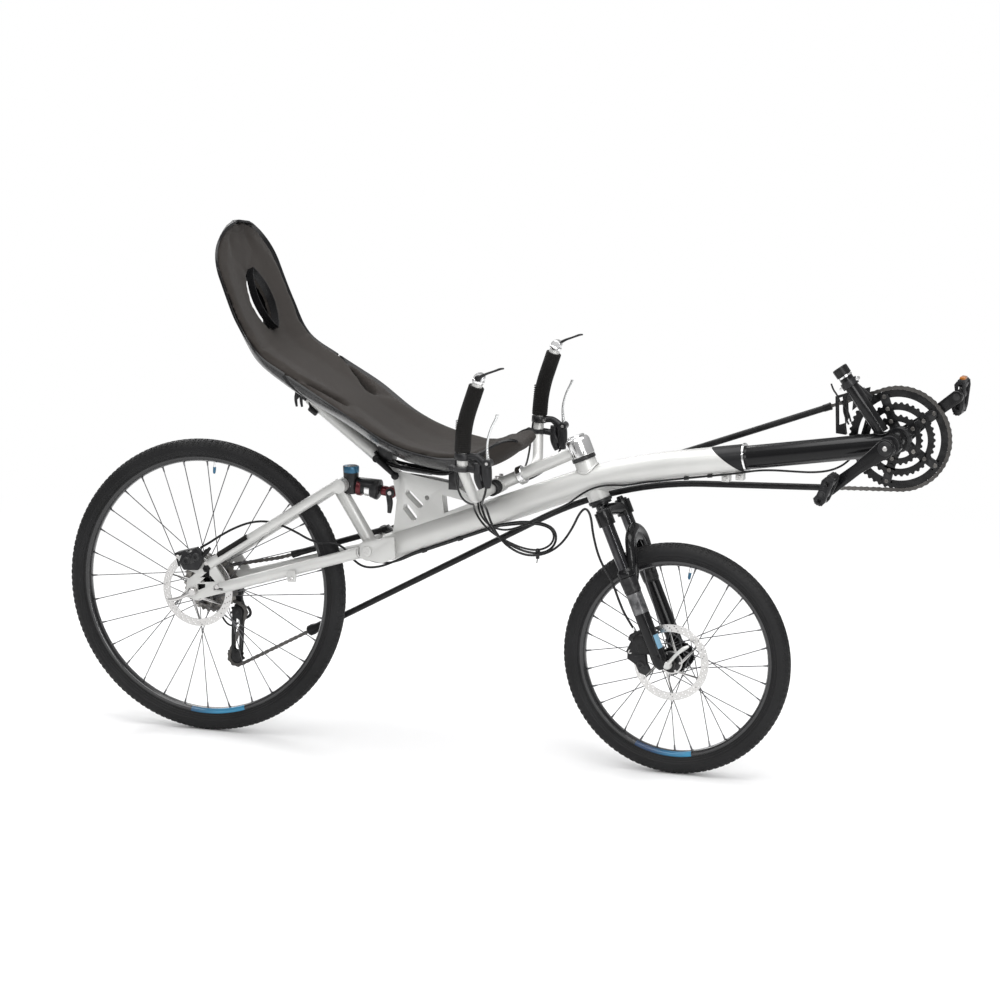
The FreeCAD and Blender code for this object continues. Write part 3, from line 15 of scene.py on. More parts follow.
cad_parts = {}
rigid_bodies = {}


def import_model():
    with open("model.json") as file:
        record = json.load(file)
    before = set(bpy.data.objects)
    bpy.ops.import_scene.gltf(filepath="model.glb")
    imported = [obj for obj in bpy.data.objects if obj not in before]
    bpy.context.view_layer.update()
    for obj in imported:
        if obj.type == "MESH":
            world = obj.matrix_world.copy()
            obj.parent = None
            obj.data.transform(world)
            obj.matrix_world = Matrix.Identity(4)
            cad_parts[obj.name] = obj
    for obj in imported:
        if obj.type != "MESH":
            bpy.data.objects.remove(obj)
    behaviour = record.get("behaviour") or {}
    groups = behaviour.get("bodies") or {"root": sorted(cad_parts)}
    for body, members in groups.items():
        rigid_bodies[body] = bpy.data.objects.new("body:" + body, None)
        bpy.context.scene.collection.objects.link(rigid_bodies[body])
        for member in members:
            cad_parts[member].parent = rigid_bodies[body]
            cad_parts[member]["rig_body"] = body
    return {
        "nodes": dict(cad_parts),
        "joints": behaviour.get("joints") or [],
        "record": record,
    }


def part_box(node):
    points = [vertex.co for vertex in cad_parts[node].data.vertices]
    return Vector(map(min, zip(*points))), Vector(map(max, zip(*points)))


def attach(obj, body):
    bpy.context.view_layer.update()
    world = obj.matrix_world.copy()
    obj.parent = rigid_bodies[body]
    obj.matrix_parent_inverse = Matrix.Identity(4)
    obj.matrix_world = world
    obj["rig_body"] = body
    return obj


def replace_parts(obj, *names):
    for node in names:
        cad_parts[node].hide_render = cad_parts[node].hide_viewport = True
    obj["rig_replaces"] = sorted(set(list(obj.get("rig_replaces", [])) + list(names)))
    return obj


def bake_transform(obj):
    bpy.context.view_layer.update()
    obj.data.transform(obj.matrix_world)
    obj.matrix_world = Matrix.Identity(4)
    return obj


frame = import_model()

log = logging.getLogger("recumbent")

MM = 0.001
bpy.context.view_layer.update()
JOINTS = {joint["name"]: joint for joint in frame["joints"]}
REAR_HUB = Vector(JOINTS["rear_wheel_spin"]["pos_m"])
FRONT_HUB = Vector(JOINTS["front_wheel_spin"]["pos_m"])
CRANK = Vector(JOINTS["crank_spin"]["pos_m"])
STEER_AT = Vector(JOINTS["steering"]["pos_m"])
STEER_UP = Vector(JOINTS["steering"]["axis"]).normalized()
STEER_AHEAD = Vector((STEER_UP.z, 0.0, -STEER_UP.x))
REAR_R = 0.320
GROUND_Z = REAR_HUB.z - REAR_R
X, Y, Z = Vector((1, 0, 0)), Vector((0, 1, 0)), Vector((0, 0, 1))


def at(x: float, y: float, z: float) -> Vector:
    """A point given in millimetres from the ground below the rear axle."""
    return Vector((REAR_HUB.x + x * MM, y * MM, GROUND_Z + z * MM))


def about(centre: Vector, angle: float, radius: float, y: float = 0.0) -> Vector:
    """A point at an angle in degrees from +X in the side view, round a centre."""
    turn = math.radians(angle)
    return centre + Vector((radius * math.cos(turn), y, radius * math.sin(turn)))


def steer(along: float, ahead: float = 0.0, side: float = 0.0) -> Vector:
    """A point given in millimetres along the steering axis, ahead of it and to the left."""
    return STEER_AT + (STEER_UP * along + STEER_AHEAD * ahead + Y * side) * MM


class Body(Enum):
    """The moving bodies of the bicycle."""

    FRAME = "frame"
    STEERING = "steering"
    REAR_WHEEL = "rear_wheel"
    FRONT_WHEEL = "front_wheel"
    CRANKSET = "crankset"
    LEFT_PEDAL = "left_pedal_body"
    RIGHT_PEDAL = "right_pedal_body"


# ---- the bench: operators worked as by hand -------------------------------------------------------
def deselect() -> None:
    """Leave edit mode and select nothing."""
    if bpy.context.object and bpy.context.object.mode != "OBJECT":
        bpy.ops.object.mode_set(mode="OBJECT")
    bpy.ops.object.select_all(action="DESELECT")


def take(obj: bpy.types.Object) -> bpy.types.Object:
    """Select one object and make it active.

    Args:
        obj: The object to select.

    Returns:
        The same object.
    """
    deselect()
    obj.select_set(True)
    bpy.context.view_layer.objects.active = obj
    return obj


def settle(name: str) -> bpy.types.Object:
    """Name the active object and put its place into its mesh.

    Args:
        name: The finished object's name.

    Returns:
        The object, at the origin, unturned and unscaled.
    """
    obj = bpy.context.object
    obj.name = obj.data.name = name
    bpy.ops.object.transform_apply(location=True, rotation=True, scale=True)
    return obj


def aimed(direction: Vector) -> Quaternion:
    """The turn that points local Z along a direction."""
    return direction.to_track_quat("Z", "Y")


def bar(name: str, a: Vector, b: Vector, radius: float, end_radius: float | None = None,
        sides: int = 24) -> bpy.types.Object:
    """A round bar or cone between two points.

    Args:
        name: The piece's name.
        a: Start point.
        b: End point.
        radius: Radius at the start.
        end_radius: Radius at the end, the same when left out.
        sides: Number of flat sides.

    Returns:
        The new object.
    """
    deselect()
    axis = b - a
    bpy.ops.mesh.primitive_cone_add(
        vertices=sides, radius1=radius, radius2=radius if end_radius is None else end_radius,
        depth=axis.length, location=(a + b) / 2, rotation=aimed(axis).to_euler())
    return settle(name)


def slab(name: str, centre: Vector, size: Sequence[float], turn: float = 0.0) -> bpy.types.Object:
    """A box of a given size, turned in the side view by degrees from +X towards +Z.

    Args:
        name: The box's name.
        centre: Its middle, in metres.
        size: Its three sides, in metres.
        turn: Its turn in the side view, in degrees.

    Returns:
        The box.
    """
    deselect()
    bpy.ops.mesh.primitive_cube_add(size=1.0, location=centre, rotation=(0.0, -math.radians(turn), 0.0))
    bpy.context.object.scale = size
    return settle(name)


def ball(name: str, centre: Vector, radius: float) -> bpy.types.Object:
    """A small round knob.

    Args:
        name: The knob's name.
        centre: Its middle, in metres.
        radius: Its radius, in metres.

    Returns:
        The knob.
    """
    deselect()
    bpy.ops.mesh.primitive_uv_sphere_add(segments=20, ring_count=12, radius=radius, location=centre)
    return settle(name)


def chain_of_points(points: Sequence[Vector]) -> bpy.types.Object:
    """Open edit mode on one vertex and extrude it from point to point; all is left selected.

    Args:
        points: The points in order, in metres.

    Returns:
        The object in edit mode.
    """
    deselect()
    bpy.ops.mesh.primitive_plane_add(size=0.001)
    bpy.ops.object.mode_set(mode="EDIT")
    bpy.ops.mesh.select_mode(type="VERT")
    bpy.ops.mesh.merge(type="CENTER")
    bpy.ops.transform.translate(value=points[0])
    for before, after in zip(points, points[1:]):
        bpy.ops.mesh.extrude_region_move(TRANSFORM_OT_translate={"value": after - before})
    bpy.ops.mesh.select_all(action="SELECT")
    return bpy.context.object


def turned(name: str, profile: Sequence[tuple[float, float]], origin: Vector, axis: Vector,
           steps: int = 48, closed: bool = False) -> bpy.types.Object:
    """A lathe-turned piece.

    Args:
        name: The piece's name.
        profile: (along, radius) points in millimetres.
        origin: Where along is zero.
        axis: The lathe's axis.
        steps: Number of flat sides.
        closed: Whether the profile closes on itself, as a ring's does.

    Returns:
        The new object.
    """
    points = [Vector((radius * MM, 0.0, along * MM)) for along, radius in profile]
    chain_of_points(points + points[:1] if closed else points)
    bpy.ops.mesh.spin(steps=steps, angle=2 * math.pi, center=(0, 0, 0), axis=(0, 0, 1))
    bpy.ops.mesh.select_all(action="SELECT")
    bpy.ops.mesh.remove_doubles(threshold=1e-6)
    bpy.ops.mesh.normals_make_consistent(inside=False)
    bpy.ops.object.mode_set(mode="OBJECT")
    obj = bpy.context.object
    obj.rotation_mode = "QUATERNION"
    obj.rotation_quaternion = aimed(axis)
    obj.location = origin
    return settle(name)


def cut_plate(name: str, outline: Sequence[Vector], thick: Vector) -> bpy.types.Object:
    """A flat plate: a closed outline of points, filled and extruded by a vector.

    Args:
        name: The plate's name.
        outline: The corner points in order, in metres.
        thick: The thickness as a vector, in metres.

    Returns:
        The plate.
    """
    chain_of_points(list(outline))
    bpy.ops.mesh.edge_face_add()
    bpy.ops.mesh.extrude_region_move(TRANSFORM_OT_translate={"value": thick})
    bpy.ops.mesh.select_all(action="SELECT")
    bpy.ops.mesh.normals_make_consistent(inside=False)
    bpy.ops.object.mode_set(mode="OBJECT")
    return settle(name)


def bent_rod(name: str, points: Sequence[Vector], radii: Sequence[float], order: int = 3,
             smoothness: int = 6, sides: int = 3) -> bpy.types.Object:
    """A round rod along a smooth line through control points, with a radius at each one.

    Args:
        name: The rod's name.
        points: The control points, in metres.
        radii: A radius for each control point, in metres.
        order: The smooth line's order.
        smoothness: Steps between two control points.
        sides: The bevel resolution of the round section.

    Returns:
        The rod as a mesh.
    """
    deselect()
    bpy.ops.curve.primitive_nurbs_path_add()
    obj = bpy.context.object
    curve = obj.data
    curve.splines.clear()
    spline = curve.splines.new("NURBS")
    spline.points.add(len(points) - 1)
    for knot, place, radius in zip(spline.points, points, radii):
        knot.co = (*place, 1.0)
        knot.radius = radius
    spline.order_u = order
    spline.use_endpoint_u = True
    spline.resolution_u = smoothness
    curve.dimensions = "3D"
    curve.bevel_depth = 1.0
    curve.bevel_resolution = sides
    curve.use_fill_caps = True
    obj.location = (0, 0, 0)
    take(obj)
    bpy.ops.object.convert(target="MESH")
    obj = settle(name)
    bpy.ops.object.mode_set(mode="EDIT")
    bpy.ops.mesh.select_all(action="SELECT")
    bpy.ops.mesh.remove_doubles(threshold=1e-6)
    bpy.ops.mesh.normals_make_consistent(inside=False)
    bpy.ops.object.mode_set(mode="OBJECT")
    return obj


def modify(obj: bpy.types.Object, kind: str, **settings: object) -> bpy.types.Object:
    """Add one modifier with its settings and apply it.

    Args:
        obj: The piece to change.
        kind: The modifier's type.
        settings: The modifier's settings, by name.

    Returns:
        The same piece.
    """
    take(obj)
    modifier = obj.modifiers.new(kind.title(), kind)
    for key, value in settings.items():
        setattr(modifier, key, value)
    bpy.ops.object.modifier_apply(modifier=modifier.name)
    return obj


def soften(obj: bpy.types.Object, width: float, segments: int = 2, angle: float = 35.0) -> bpy.types.Object:
    """Round every edge that is sharper than an angle."""
    return modify(obj, "BEVEL", width=width, segments=segments, limit_method="ANGLE",
                  angle_limit=math.radians(angle), use_clamp_overlap=True)


def join(name: str, pieces: Iterable[bpy.types.Object]) -> bpy.types.Object:
    """One mesh of several.

    Args:
        name: The joined piece's name.
        pieces: The pieces to join.

    Returns:
        The joined piece.
    """
    pieces = list(pieces)
    take(pieces[0])
    for piece in pieces[1:]:
        piece.select_set(True)
    if len(pieces) > 1:
        bpy.ops.object.join()
    return settle(name)


def carve(obj: bpy.types.Object, cutter: bpy.types.Object) -> bpy.types.Object:
    """Cut one shape out of another.

    Args:
        obj: The piece that is cut.
        cutter: The shape that is cut out.

    Returns:
        The cut piece.
    """
    modify(obj, "BOOLEAN", operation="DIFFERENCE", solver="EXACT", object=cutter)
    bpy.data.objects.remove(cutter)
    return obj


def ring_of(obj: bpy.types.Object, count: int, centre: Vector, axis: Vector = Y) -> bpy.types.Object:
    """Repeat a piece evenly round an axis, with an array that turns about an empty.

    Args:
        obj: The piece to repeat.
        count: How many there are in the full circle.
        centre: A point on the axis, in metres.
        axis: The axis's direction.

    Returns:
        The ring as one piece.
    """
    hub = bpy.data.objects.new("turntable", None)
    bpy.context.scene.collection.objects.link(hub)
    spin = Matrix.Rotation(2 * math.pi / count, 4, axis)
    hub.matrix_world = Matrix.Translation(centre) @ spin @ Matrix.Translation(-centre)
    bpy.context.view_layer.update()
    modify(obj, "ARRAY", count=count, use_relative_offset=False, use_object_offset=True, offset_object=hub)
    bpy.data.objects.remove(hub)
    return obj


def copies(name: str, model: bpy.types.Object, places: Iterable[Matrix]) -> bpy.types.Object:
    """Copy a model to each place, each copy with its own mesh, and join them.

    Args:
        name: The joined piece's name.
        model: The piece to copy.
        places: A matrix for each copy.

    Returns:
        The copies as one piece.
    """
    made = []
    for place in places:
        copy = model.copy()
        copy.data = model.data.copy()
        copy.matrix_world = place
        bpy.context.scene.collection.objects.link(copy)
        made.append(copy)
    bpy.data.objects.remove(model)
    return join(name, made)


def traced(node: str) -> bpy.types.Object:
    """A merged copy of a CAD node's mesh, with its flat faces made whole.

    Args:
        node: The CAD node's name.

    Returns:
        The copy.
    """
    source = frame["nodes"][node]
    obj = source.copy()
    obj.data = source.data.copy()
    obj.parent = None
    for key in list(obj.keys()):
        del obj[key]
    obj.data.materials.clear()
    bpy.context.scene.collection.objects.link(obj)
    take(obj)
    bpy.ops.object.mode_set(mode="EDIT")
    bpy.ops.mesh.select_all(action="SELECT")
    bpy.ops.mesh.customdata_custom_splitnormals_clear()
    bpy.ops.mesh.remove_doubles(threshold=1e-5)
    bpy.ops.mesh.dissolve_limited(angle_limit=math.radians(0.6))
    bpy.ops.object.mode_set(mode="OBJECT")
    return settle(node + "_shown")


# ---- shader graphs --------------------------------------------------------------------------------
class Graph:
    """A short way to lay nodes in a tree."""

    def __init__(self, tree: bpy.types.NodeTree) -> None:
        """Start from an empty tree."""
        self.tree = tree
        tree.nodes.clear()

    def add(self, kind: str, inputs: dict[object, object] | None = None, **settings: object) -> bpy.types.Node:
        """Add a node.

        Args:
            kind: The node type after "ShaderNode".
            inputs: Input name or index, with a value or an output socket.
            settings: The node's own properties.

        Returns:
            The new node.
        """
        node = self.tree.nodes.new("ShaderNode" + kind)
        for key, value in settings.items():
            setattr(node, key, value)
        for key, value in (inputs or {}).items():
            if isinstance(value, bpy.types.NodeSocket):
                self.tree.links.new(value, node.inputs[key])
            else:
                node.inputs[key].default_value = value
        return node

    def maths(self, operation: str, a: object, b: object = 0.0) -> bpy.types.NodeSocket:
        """One sum of two values."""
        return self.add("Math", {0: a, 1: b}, operation=operation).outputs[0]

    def mix(self, factor: object, a: object, b: object) -> bpy.types.NodeSocket:
        """A colour between two.

        Args:
            factor: How much of the second colour.
            a: The first colour.
            b: The second colour.

        Returns:
            The mixed colour.
        """
        node = self.add("Mix", data_type="RGBA")
        for index, value in ((0, factor), (6, a), (7, b)):
            if isinstance(value, bpy.types.NodeSocket):
                self.tree.links.new(value, node.inputs[index])
            elif index:
                node.inputs[index].default_value = (*value, 1.0)
            else:
                node.inputs[index].default_value = value
        return node.outputs[2]

    def span(self, value: object, low: float, high: float, to_low: float = 0.0,
             to_high: float = 1.0) -> bpy.types.NodeSocket:
        """A value's range carried to another range, and held inside it."""
        return self.add("MapRange", {0: value, 1: low, 2: high, 3: to_low, 4: to_high}).outputs[0]


def shared(name: str, inputs: dict[str, object], outputs: Sequence[str],
           wire: Callable[[Graph, bpy.types.Node], dict[str, bpy.types.NodeSocket]]) -> bpy.types.NodeTree:
    """A node group, built once.

    Args:
        name: The group's name.
        inputs: Input names with their default, a number or None for a vector.
        outputs: Names of the values it puts out.
        wire: Lays the nodes and returns the socket for each output.

    Returns:
        The group.
    """
    if name in bpy.data.node_groups:
        return bpy.data.node_groups[name]
    tree = bpy.data.node_groups.new(name, "ShaderNodeTree")
    for key, value in inputs.items():
        kind = "NodeSocketVector" if value is None else "NodeSocketFloat"
        socket = tree.interface.new_socket(key, in_out="INPUT", socket_type=kind)
        if value is not None:
            socket.default_value = value
    for key in outputs:
        tree.interface.new_socket(key, in_out="OUTPUT", socket_type="NodeSocketFloat")
    graph = Graph(tree)
    source = tree.nodes.new("NodeGroupInput")
    sink = tree.nodes.new("NodeGroupOutput")
    for key, socket in wire(graph, source).items():
        tree.links.new(socket, sink.inputs[key])
    return tree


def grain_group() -> bpy.types.NodeTree:
    """Fine surface grain: a height for bump and a slow tone for colour and gloss.

    Returns:
        The node group.
    """
    def wire(graph: Graph, source: bpy.types.Node) -> dict[str, bpy.types.NodeSocket]:
        """Two noises, one fine and one broad.

        Args:
            graph: The group's node graph.
            source: The group's input node.

        Returns:
            The group's outputs by name.
        """
        fine = graph.add("TexNoise", {"Vector": source.outputs["Place"], "Scale": source.outputs["Scale"],
                                      "Detail": 4.0, "Roughness": 0.6})
        broad = graph.add("TexNoise", {"Vector": source.outputs["Place"], "Scale": source.outputs["Broad"],
                                       "Detail": 3.0})
        return {"Height": fine.outputs[0], "Tone": graph.span(broad.outputs[0], 0.3, 0.7)}
    return shared("surface_grain", {"Place": None, "Scale": 600.0, "Broad": 9.0}, ("Height", "Tone"), wire)


def wear_group() -> bpy.types.NodeTree:
    """Wear along edges: a mask from how sharp the surface bends, broken up by noise.

    Returns:
        The node group.
    """
    def wire(graph: Graph, source: bpy.types.Node) -> dict[str, bpy.types.NodeSocket]:
        """Pointiness times noise.

        Args:
            graph: The group's node graph.
            source: The group's input node.

        Returns:
            The group's outputs by name.
        """
        bend = graph.add("NewGeometry").outputs["Pointiness"]
        edge = graph.span(bend, 0.515, 0.58)
        noise = graph.add("TexNoise", {"Vector": source.outputs["Place"], "Scale": 60.0, "Detail": 5.0})
        broken = graph.span(noise.outputs[0], 0.42, 0.62)
        worn = graph.maths("MULTIPLY", edge, broken)
        return {"Mask": graph.maths("MULTIPLY", worn, source.outputs["Amount"])}
    return shared("edge_wear", {"Place": None, "Amount": 0.5}, ("Mask",), wire)


def dust_group() -> bpy.types.NodeTree:
    """A thin film of dust on what faces up.

    Returns:
        The node group.
    """
    def wire(graph: Graph, source: bpy.types.Node) -> dict[str, bpy.types.NodeSocket]:
        """The normal's height times noise.

        Args:
            graph: The group's node graph.
            source: The group's input node.

        Returns:
            The group's outputs by name.
        """
        normal = graph.add("SeparateXYZ", {0: graph.add("NewGeometry").outputs["Normal"]}).outputs[2]
        up = graph.span(normal, 0.2, 1.0)
        noise = graph.add("TexNoise", {"Vector": source.outputs["Place"], "Scale": 14.0, "Detail": 6.0})
        film = graph.maths("MULTIPLY", up, graph.span(noise.outputs[0], 0.35, 0.75))
        return {"Mask": graph.maths("MULTIPLY", film, source.outputs["Amount"])}
    return shared("dust_film", {"Place": None, "Amount": 0.2}, ("Mask",), wire)


Colour = tuple[float, float, float]


@dataclass(frozen=True)
class Finish:
    """One surface finish.

    The base colour is varied by a broad tone, worn along edges and dulled by dust; the grain feeds
    the gloss and a bump.
    """

    name: str
    slot: str
    colour: Colour
    roughness: float
    metallic: float = 0.0
    coat: float = 0.0
    grain: float = 600.0
    bump: float = 0.05
    tone: float = 0.12
    wear: float = 0.0
    wear_colour: Colour = (0.55, 0.55, 0.55)
    dust: float = 0.04
    sheen: float = 0.0
    specular: float = 0.5

    def shade(self, graph: Graph, place: bpy.types.NodeSocket) -> tuple[object, object]:
        """The base colour before wear and dust, and the extra height for the bump.

        Args:
            graph: The material's graph.
            place: Object coordinates.

        Returns:
            A colour, and a height socket or None.
        """
        return self.colour, None

    def material(self) -> bpy.types.Material:
        """Build the finish, or give it back if it is there.

        Returns:
            The material.
        """
        if self.name in bpy.data.materials:
            return bpy.data.materials[self.name]
        made = bpy.data.materials.new(self.name)
        made.use_nodes = True
        graph = Graph(made.node_tree)
        place = graph.add("TexCoord").outputs["Object"]
        base, height = self.shade(graph, place)
        grain = graph.add("Group", node_tree=grain_group())
        graph.tree.links.new(place, grain.inputs["Place"])
        grain.inputs["Scale"].default_value = self.grain
        tone = graph.span(grain.outputs["Tone"], 0.0, 1.0, 1.0 - self.tone, 1.0 + self.tone)
        toned = graph.add("VectorMath", {0: base, 3: tone}, operation="SCALE").outputs[0]
        for tree, amount, colour in ((wear_group(), self.wear, self.wear_colour),
                                     (dust_group(), self.dust, (0.42, 0.40, 0.37))):
            if amount > 0:
                mask = graph.add("Group", node_tree=tree)
                graph.tree.links.new(place, mask.inputs["Place"])
                mask.inputs["Amount"].default_value = amount
                toned = graph.mix(mask.outputs["Mask"], toned, colour)
        gloss = graph.span(grain.outputs["Height"], 0.3, 0.7, self.roughness * 0.88, self.roughness * 1.14)
        relief = grain.outputs["Height"] if height is None else height
        bump = graph.add("Bump", {"Strength": self.bump, "Distance": 0.0006, "Height": relief})
        shader = graph.add("BsdfPrincipled", {"Base Color": toned, "Roughness": gloss,
                                              "Metallic": self.metallic, "Normal": bump.outputs[0],
                                              "Coat Weight": self.coat, "Coat Roughness": 0.08,
                                              "Sheen Weight": self.sheen, "Specular IOR Level": self.specular})
        out = graph.add("OutputMaterial")
        graph.tree.links.new(shader.outputs[0], out.inputs[0])
        return made


@dataclass(frozen=True)
class SplitFinish(Finish):
    """A finish of two colours that meet at a plane: point . normal = edge."""

    other: Colour = (0.01, 0.01, 0.011)
    normal: Colour = (1.0, 0.0, 0.0)
    edge: float = 0.0
    until: float = 9.0

    def shade(self, graph: Graph, place: bpy.types.NodeSocket) -> tuple[object, object]:
        """The second colour lies past the plane, up to a second parallel plane.

        Args:
            graph: The material's node graph.
            place: The object coordinates.

        Returns:
            The base colour, and the extra height or None.
        """
        depth = graph.add("VectorMath", {0: place, 1: self.normal}, operation="DOT_PRODUCT").outputs["Value"]
        past = graph.span(depth, self.edge - 2e-4, self.edge + 2e-4)
        before = graph.span(depth, self.until - 2e-4, self.until + 2e-4, 1.0, 0.0)
        return graph.mix(graph.maths("MULTIPLY", past, before), self.colour, self.other), None


@dataclass(frozen=True)
class RimFinish(Finish):
    """Black rim paint with a blue arc at the bottom of each flank, painted lighter towards the front as a highlight."""

    stripe: Colour = (0.003, 0.03, 0.09)
    stripe_painted_highlight: Colour = (0.02, 0.20, 0.36)
    centre: Colour = (0.0, 0.0, 0.0)
    middle: float = -90.0
    half: float = 14.0
    band: tuple[float, float] = (0.2, 0.21)

    def shade(self, graph: Graph, place: bpy.types.NodeSocket) -> tuple[object, object]:
        """A mask of the angle about the hub and of the radius.

        Args:
            graph: The material's node graph.
            place: The object coordinates.

        Returns:
            The base colour, and the extra height or None.
        """
        moved = graph.add("Mapping", {"Vector": place, "Location": tuple(-c for c in self.centre)})
        parts = graph.add("SeparateXYZ", {0: moved.outputs[0]})
        turn = math.radians(self.middle)
        along = graph.maths("MULTIPLY", parts.outputs[0], math.cos(turn))
        along = graph.maths("ADD", along, graph.maths("MULTIPLY", parts.outputs[2], math.sin(turn)))
        flat = graph.add("CombineXYZ", {0: parts.outputs[0], 2: parts.outputs[2]}).outputs[0]
        radius = graph.add("VectorMath", {0: flat}, operation="LENGTH").outputs["Value"]
        limit = math.cos(math.radians(self.half))
        near = graph.span(graph.maths("DIVIDE", along, radius), limit - 0.0006, limit + 0.0006)
        inner = graph.span(radius, self.band[0] - 2e-4, self.band[0] + 2e-4)
        outer = graph.span(radius, self.band[1] - 2e-4, self.band[1] + 2e-4, 1.0, 0.0)
        mask = graph.maths("MULTIPLY", near, graph.maths("MULTIPLY", inner, outer))
        # Painted highlight: the arc turns from deep blue to pale cyan towards the front, standing in for the gloss
        # highlight on it.
        fade = graph.span(parts.outputs[0], -0.05, 0.03)
        blue = graph.mix(fade, self.stripe, self.stripe_painted_highlight)
        return graph.mix(mask, self.colour, blue), None


@dataclass(frozen=True)
class PadFinish(Finish):
    """Knit cloth over foam: a fine crossed weave with small darker pits."""

    weave: float = 620.0

    def shade(self, graph: Graph, place: bpy.types.NodeSocket) -> tuple[object, object]:
        """Two crossed waves for the threads, and a soft mottle.

        Args:
            graph: The material's node graph.
            place: The object coordinates.

        Returns:
            The base colour, and the extra height or None.
        """
        threads = []
        for direction in ("X", "Y"):
            wave = graph.add("TexWave", {"Vector": place, "Scale": self.weave / 2, "Distortion": 0.6,
                                         "Detail": 1.0, "Detail Scale": 2.0},
                             wave_type="BANDS", bands_direction=direction)
            threads.append(wave.outputs[1])
        woven = graph.maths("MULTIPLY", threads[0], threads[1])
        mottle = graph.add("TexNoise", {"Vector": place, "Scale": 55.0, "Detail": 6.0}).outputs[0]
        shade = graph.add("Math", {0: woven, 1: 0.35, 2: graph.maths("MULTIPLY", mottle, 0.5)},
                          operation="MULTIPLY_ADD").outputs[0]
        dark = tuple(c * 0.72 for c in self.colour)
        light = tuple(c * 1.22 for c in self.colour)
        return graph.mix(shade, dark, light), woven


SILVER = Finish("silver_paint", "silver", (0.56, 0.56, 0.545), 0.42, 0.4, 0.05, 900.0, 0.04, 0.05, 0.25,
                specular=0.3)
BLACK = Finish("gloss_black_paint", "black_metal", (0.0045, 0.0045, 0.005), 0.20, 0.0, 0.12, 500.0, 0.03,
               0.2, 0.25, (0.04, 0.04, 0.04), 0.004, specular=0.2)
SATIN = Finish("satin_black", "black_metal", (0.009, 0.009, 0.010), 0.34, 0.0, 0.0, 700.0, 0.08, 0.2, 0.4,
               (0.07, 0.07, 0.07), 0.006, specular=0.3)
POLISHED = Finish("polished_aluminium", "polished", (0.80, 0.80, 0.80), 0.16, 1.0, 0.0, 350.0, 0.02, 0.04, 0.2,
                  (0.9, 0.9, 0.9), 0.02)
STEEL = Finish("brushed_steel", "steel", (0.62, 0.61, 0.60), 0.28, 1.0, 0.0, 900.0, 0.10, 0.08, 0.3)
SPOKE = Finish("spoke_wire", "spoke", (0.10, 0.10, 0.105), 0.30, 0.8, 0.0, 900.0, 0.02)
CHAIN_STEEL = Finish("oiled_chain", "chain", (0.11, 0.105, 0.10), 0.34, 0.9, 0.0, 700.0, 0.05, 0.3, 0.5,
                     (0.45, 0.43, 0.40), 0.0)
RUBBER = Finish("tyre_rubber", "tyre", (0.010, 0.010, 0.0105), 0.58, 0.0, 0.0, 420.0, 0.25, 0.25, 0.2,
                (0.05, 0.05, 0.05), 0.03, specular=0.22)
PLASTIC = Finish("black_plastic", "plastic", (0.008, 0.008, 0.0085), 0.36, 0.0, 0.0, 500.0, 0.08, 0.2, 0.2,
                 (0.05, 0.05, 0.05), 0.006, specular=0.22)
JACKET = Finish("cable_jacket", "plastic", (0.006, 0.006, 0.0065), 0.34, 0.0, 0.0, 800.0, 0.04, 0.15, dust=0.0,
                specular=0.3)
GRIP = Finish("grip_foam", "rubber", (0.009, 0.0085, 0.008), 0.86, 0.0, 0.0, 1400.0, 0.6, 0.3, 0.1,
              (0.04, 0.04, 0.04), 0.015, 0.05, 0.12)
SHELL = Finish("gloss_shell", "shell", (0.005, 0.005, 0.0055), 0.26, 0.0, 0.08, 260.0, 0.01, 0.1, 0.1,
               (0.03, 0.03, 0.03), 0.0, specular=0.22)
PAD = PadFinish("seat_cloth", "foam", (0.034, 0.0295, 0.0265), 0.88, bump=0.35, tone=0.08, dust=0.0, sheen=0.06,
                specular=0.12)
BLUE = Finish("blue_anodised", "black_metal", (0.03, 0.12, 0.21), 0.35, 0.5, 0.1, 500.0, 0.03)
WINE = Finish("wine_anodised", "black_metal", (0.10, 0.012, 0.016), 0.28, 0.7, 0.2, 500.0, 0.03)
PALE = Finish("pale_lever", "polished", (0.72, 0.73, 0.73), 0.24, 0.85, 0.2, 500.0, 0.02, 0.05)
AMBER = Finish("amber_lens", "plastic", (0.42, 0.14, 0.015), 0.18, 0.0, 0.4, 300.0, 0.02)


def dress(obj: bpy.types.Object, finish: Finish, body: Body, replaces: Sequence[str] = (),
          angle: float = 32.0) -> bpy.types.Object:
    """Give a finished piece its finish, its body and the CAD nodes it stands for.

    Args:
        obj: The piece, with its place in its mesh.
        finish: Its surface.
        body: The body it moves with.
        replaces: CAD nodes it stands for.
        angle: Edges flatter than this are shaded smooth.

    Returns:
        The piece.
    """
    take(obj)
    bpy.ops.object.shade_smooth_by_angle(angle=math.radians(angle))
    obj.data.materials.clear()
    obj.data.materials.append(finish.material())
    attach(obj, body.value)
    if replaces:
        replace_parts(obj, *replaces)
    log.info("%s: %d faces on %s", obj.name, len(obj.data.polygons), body.value)
    return obj


def refined(node: str, finish: Finish, body: Body, width: float = 0.0008, segments: int = 2,
            angle: float = 38.0) -> bpy.types.Object:
    """Show a CAD node as a merged copy with rounded edges.

    Args:
        node: The CAD node's name.
        finish: The finish it gets.
        body: The body it rides on.
        width: How wide the edges are rounded, in metres.
        segments: Steps in each rounded edge.
        angle: The angle above which an edge stays sharp, in degrees.

    Returns:
        The copy.
    """
    obj = traced(node)
    if width > 0:
        soften(obj, width, segments, angle)
    return dress(obj, finish, body, (node,))


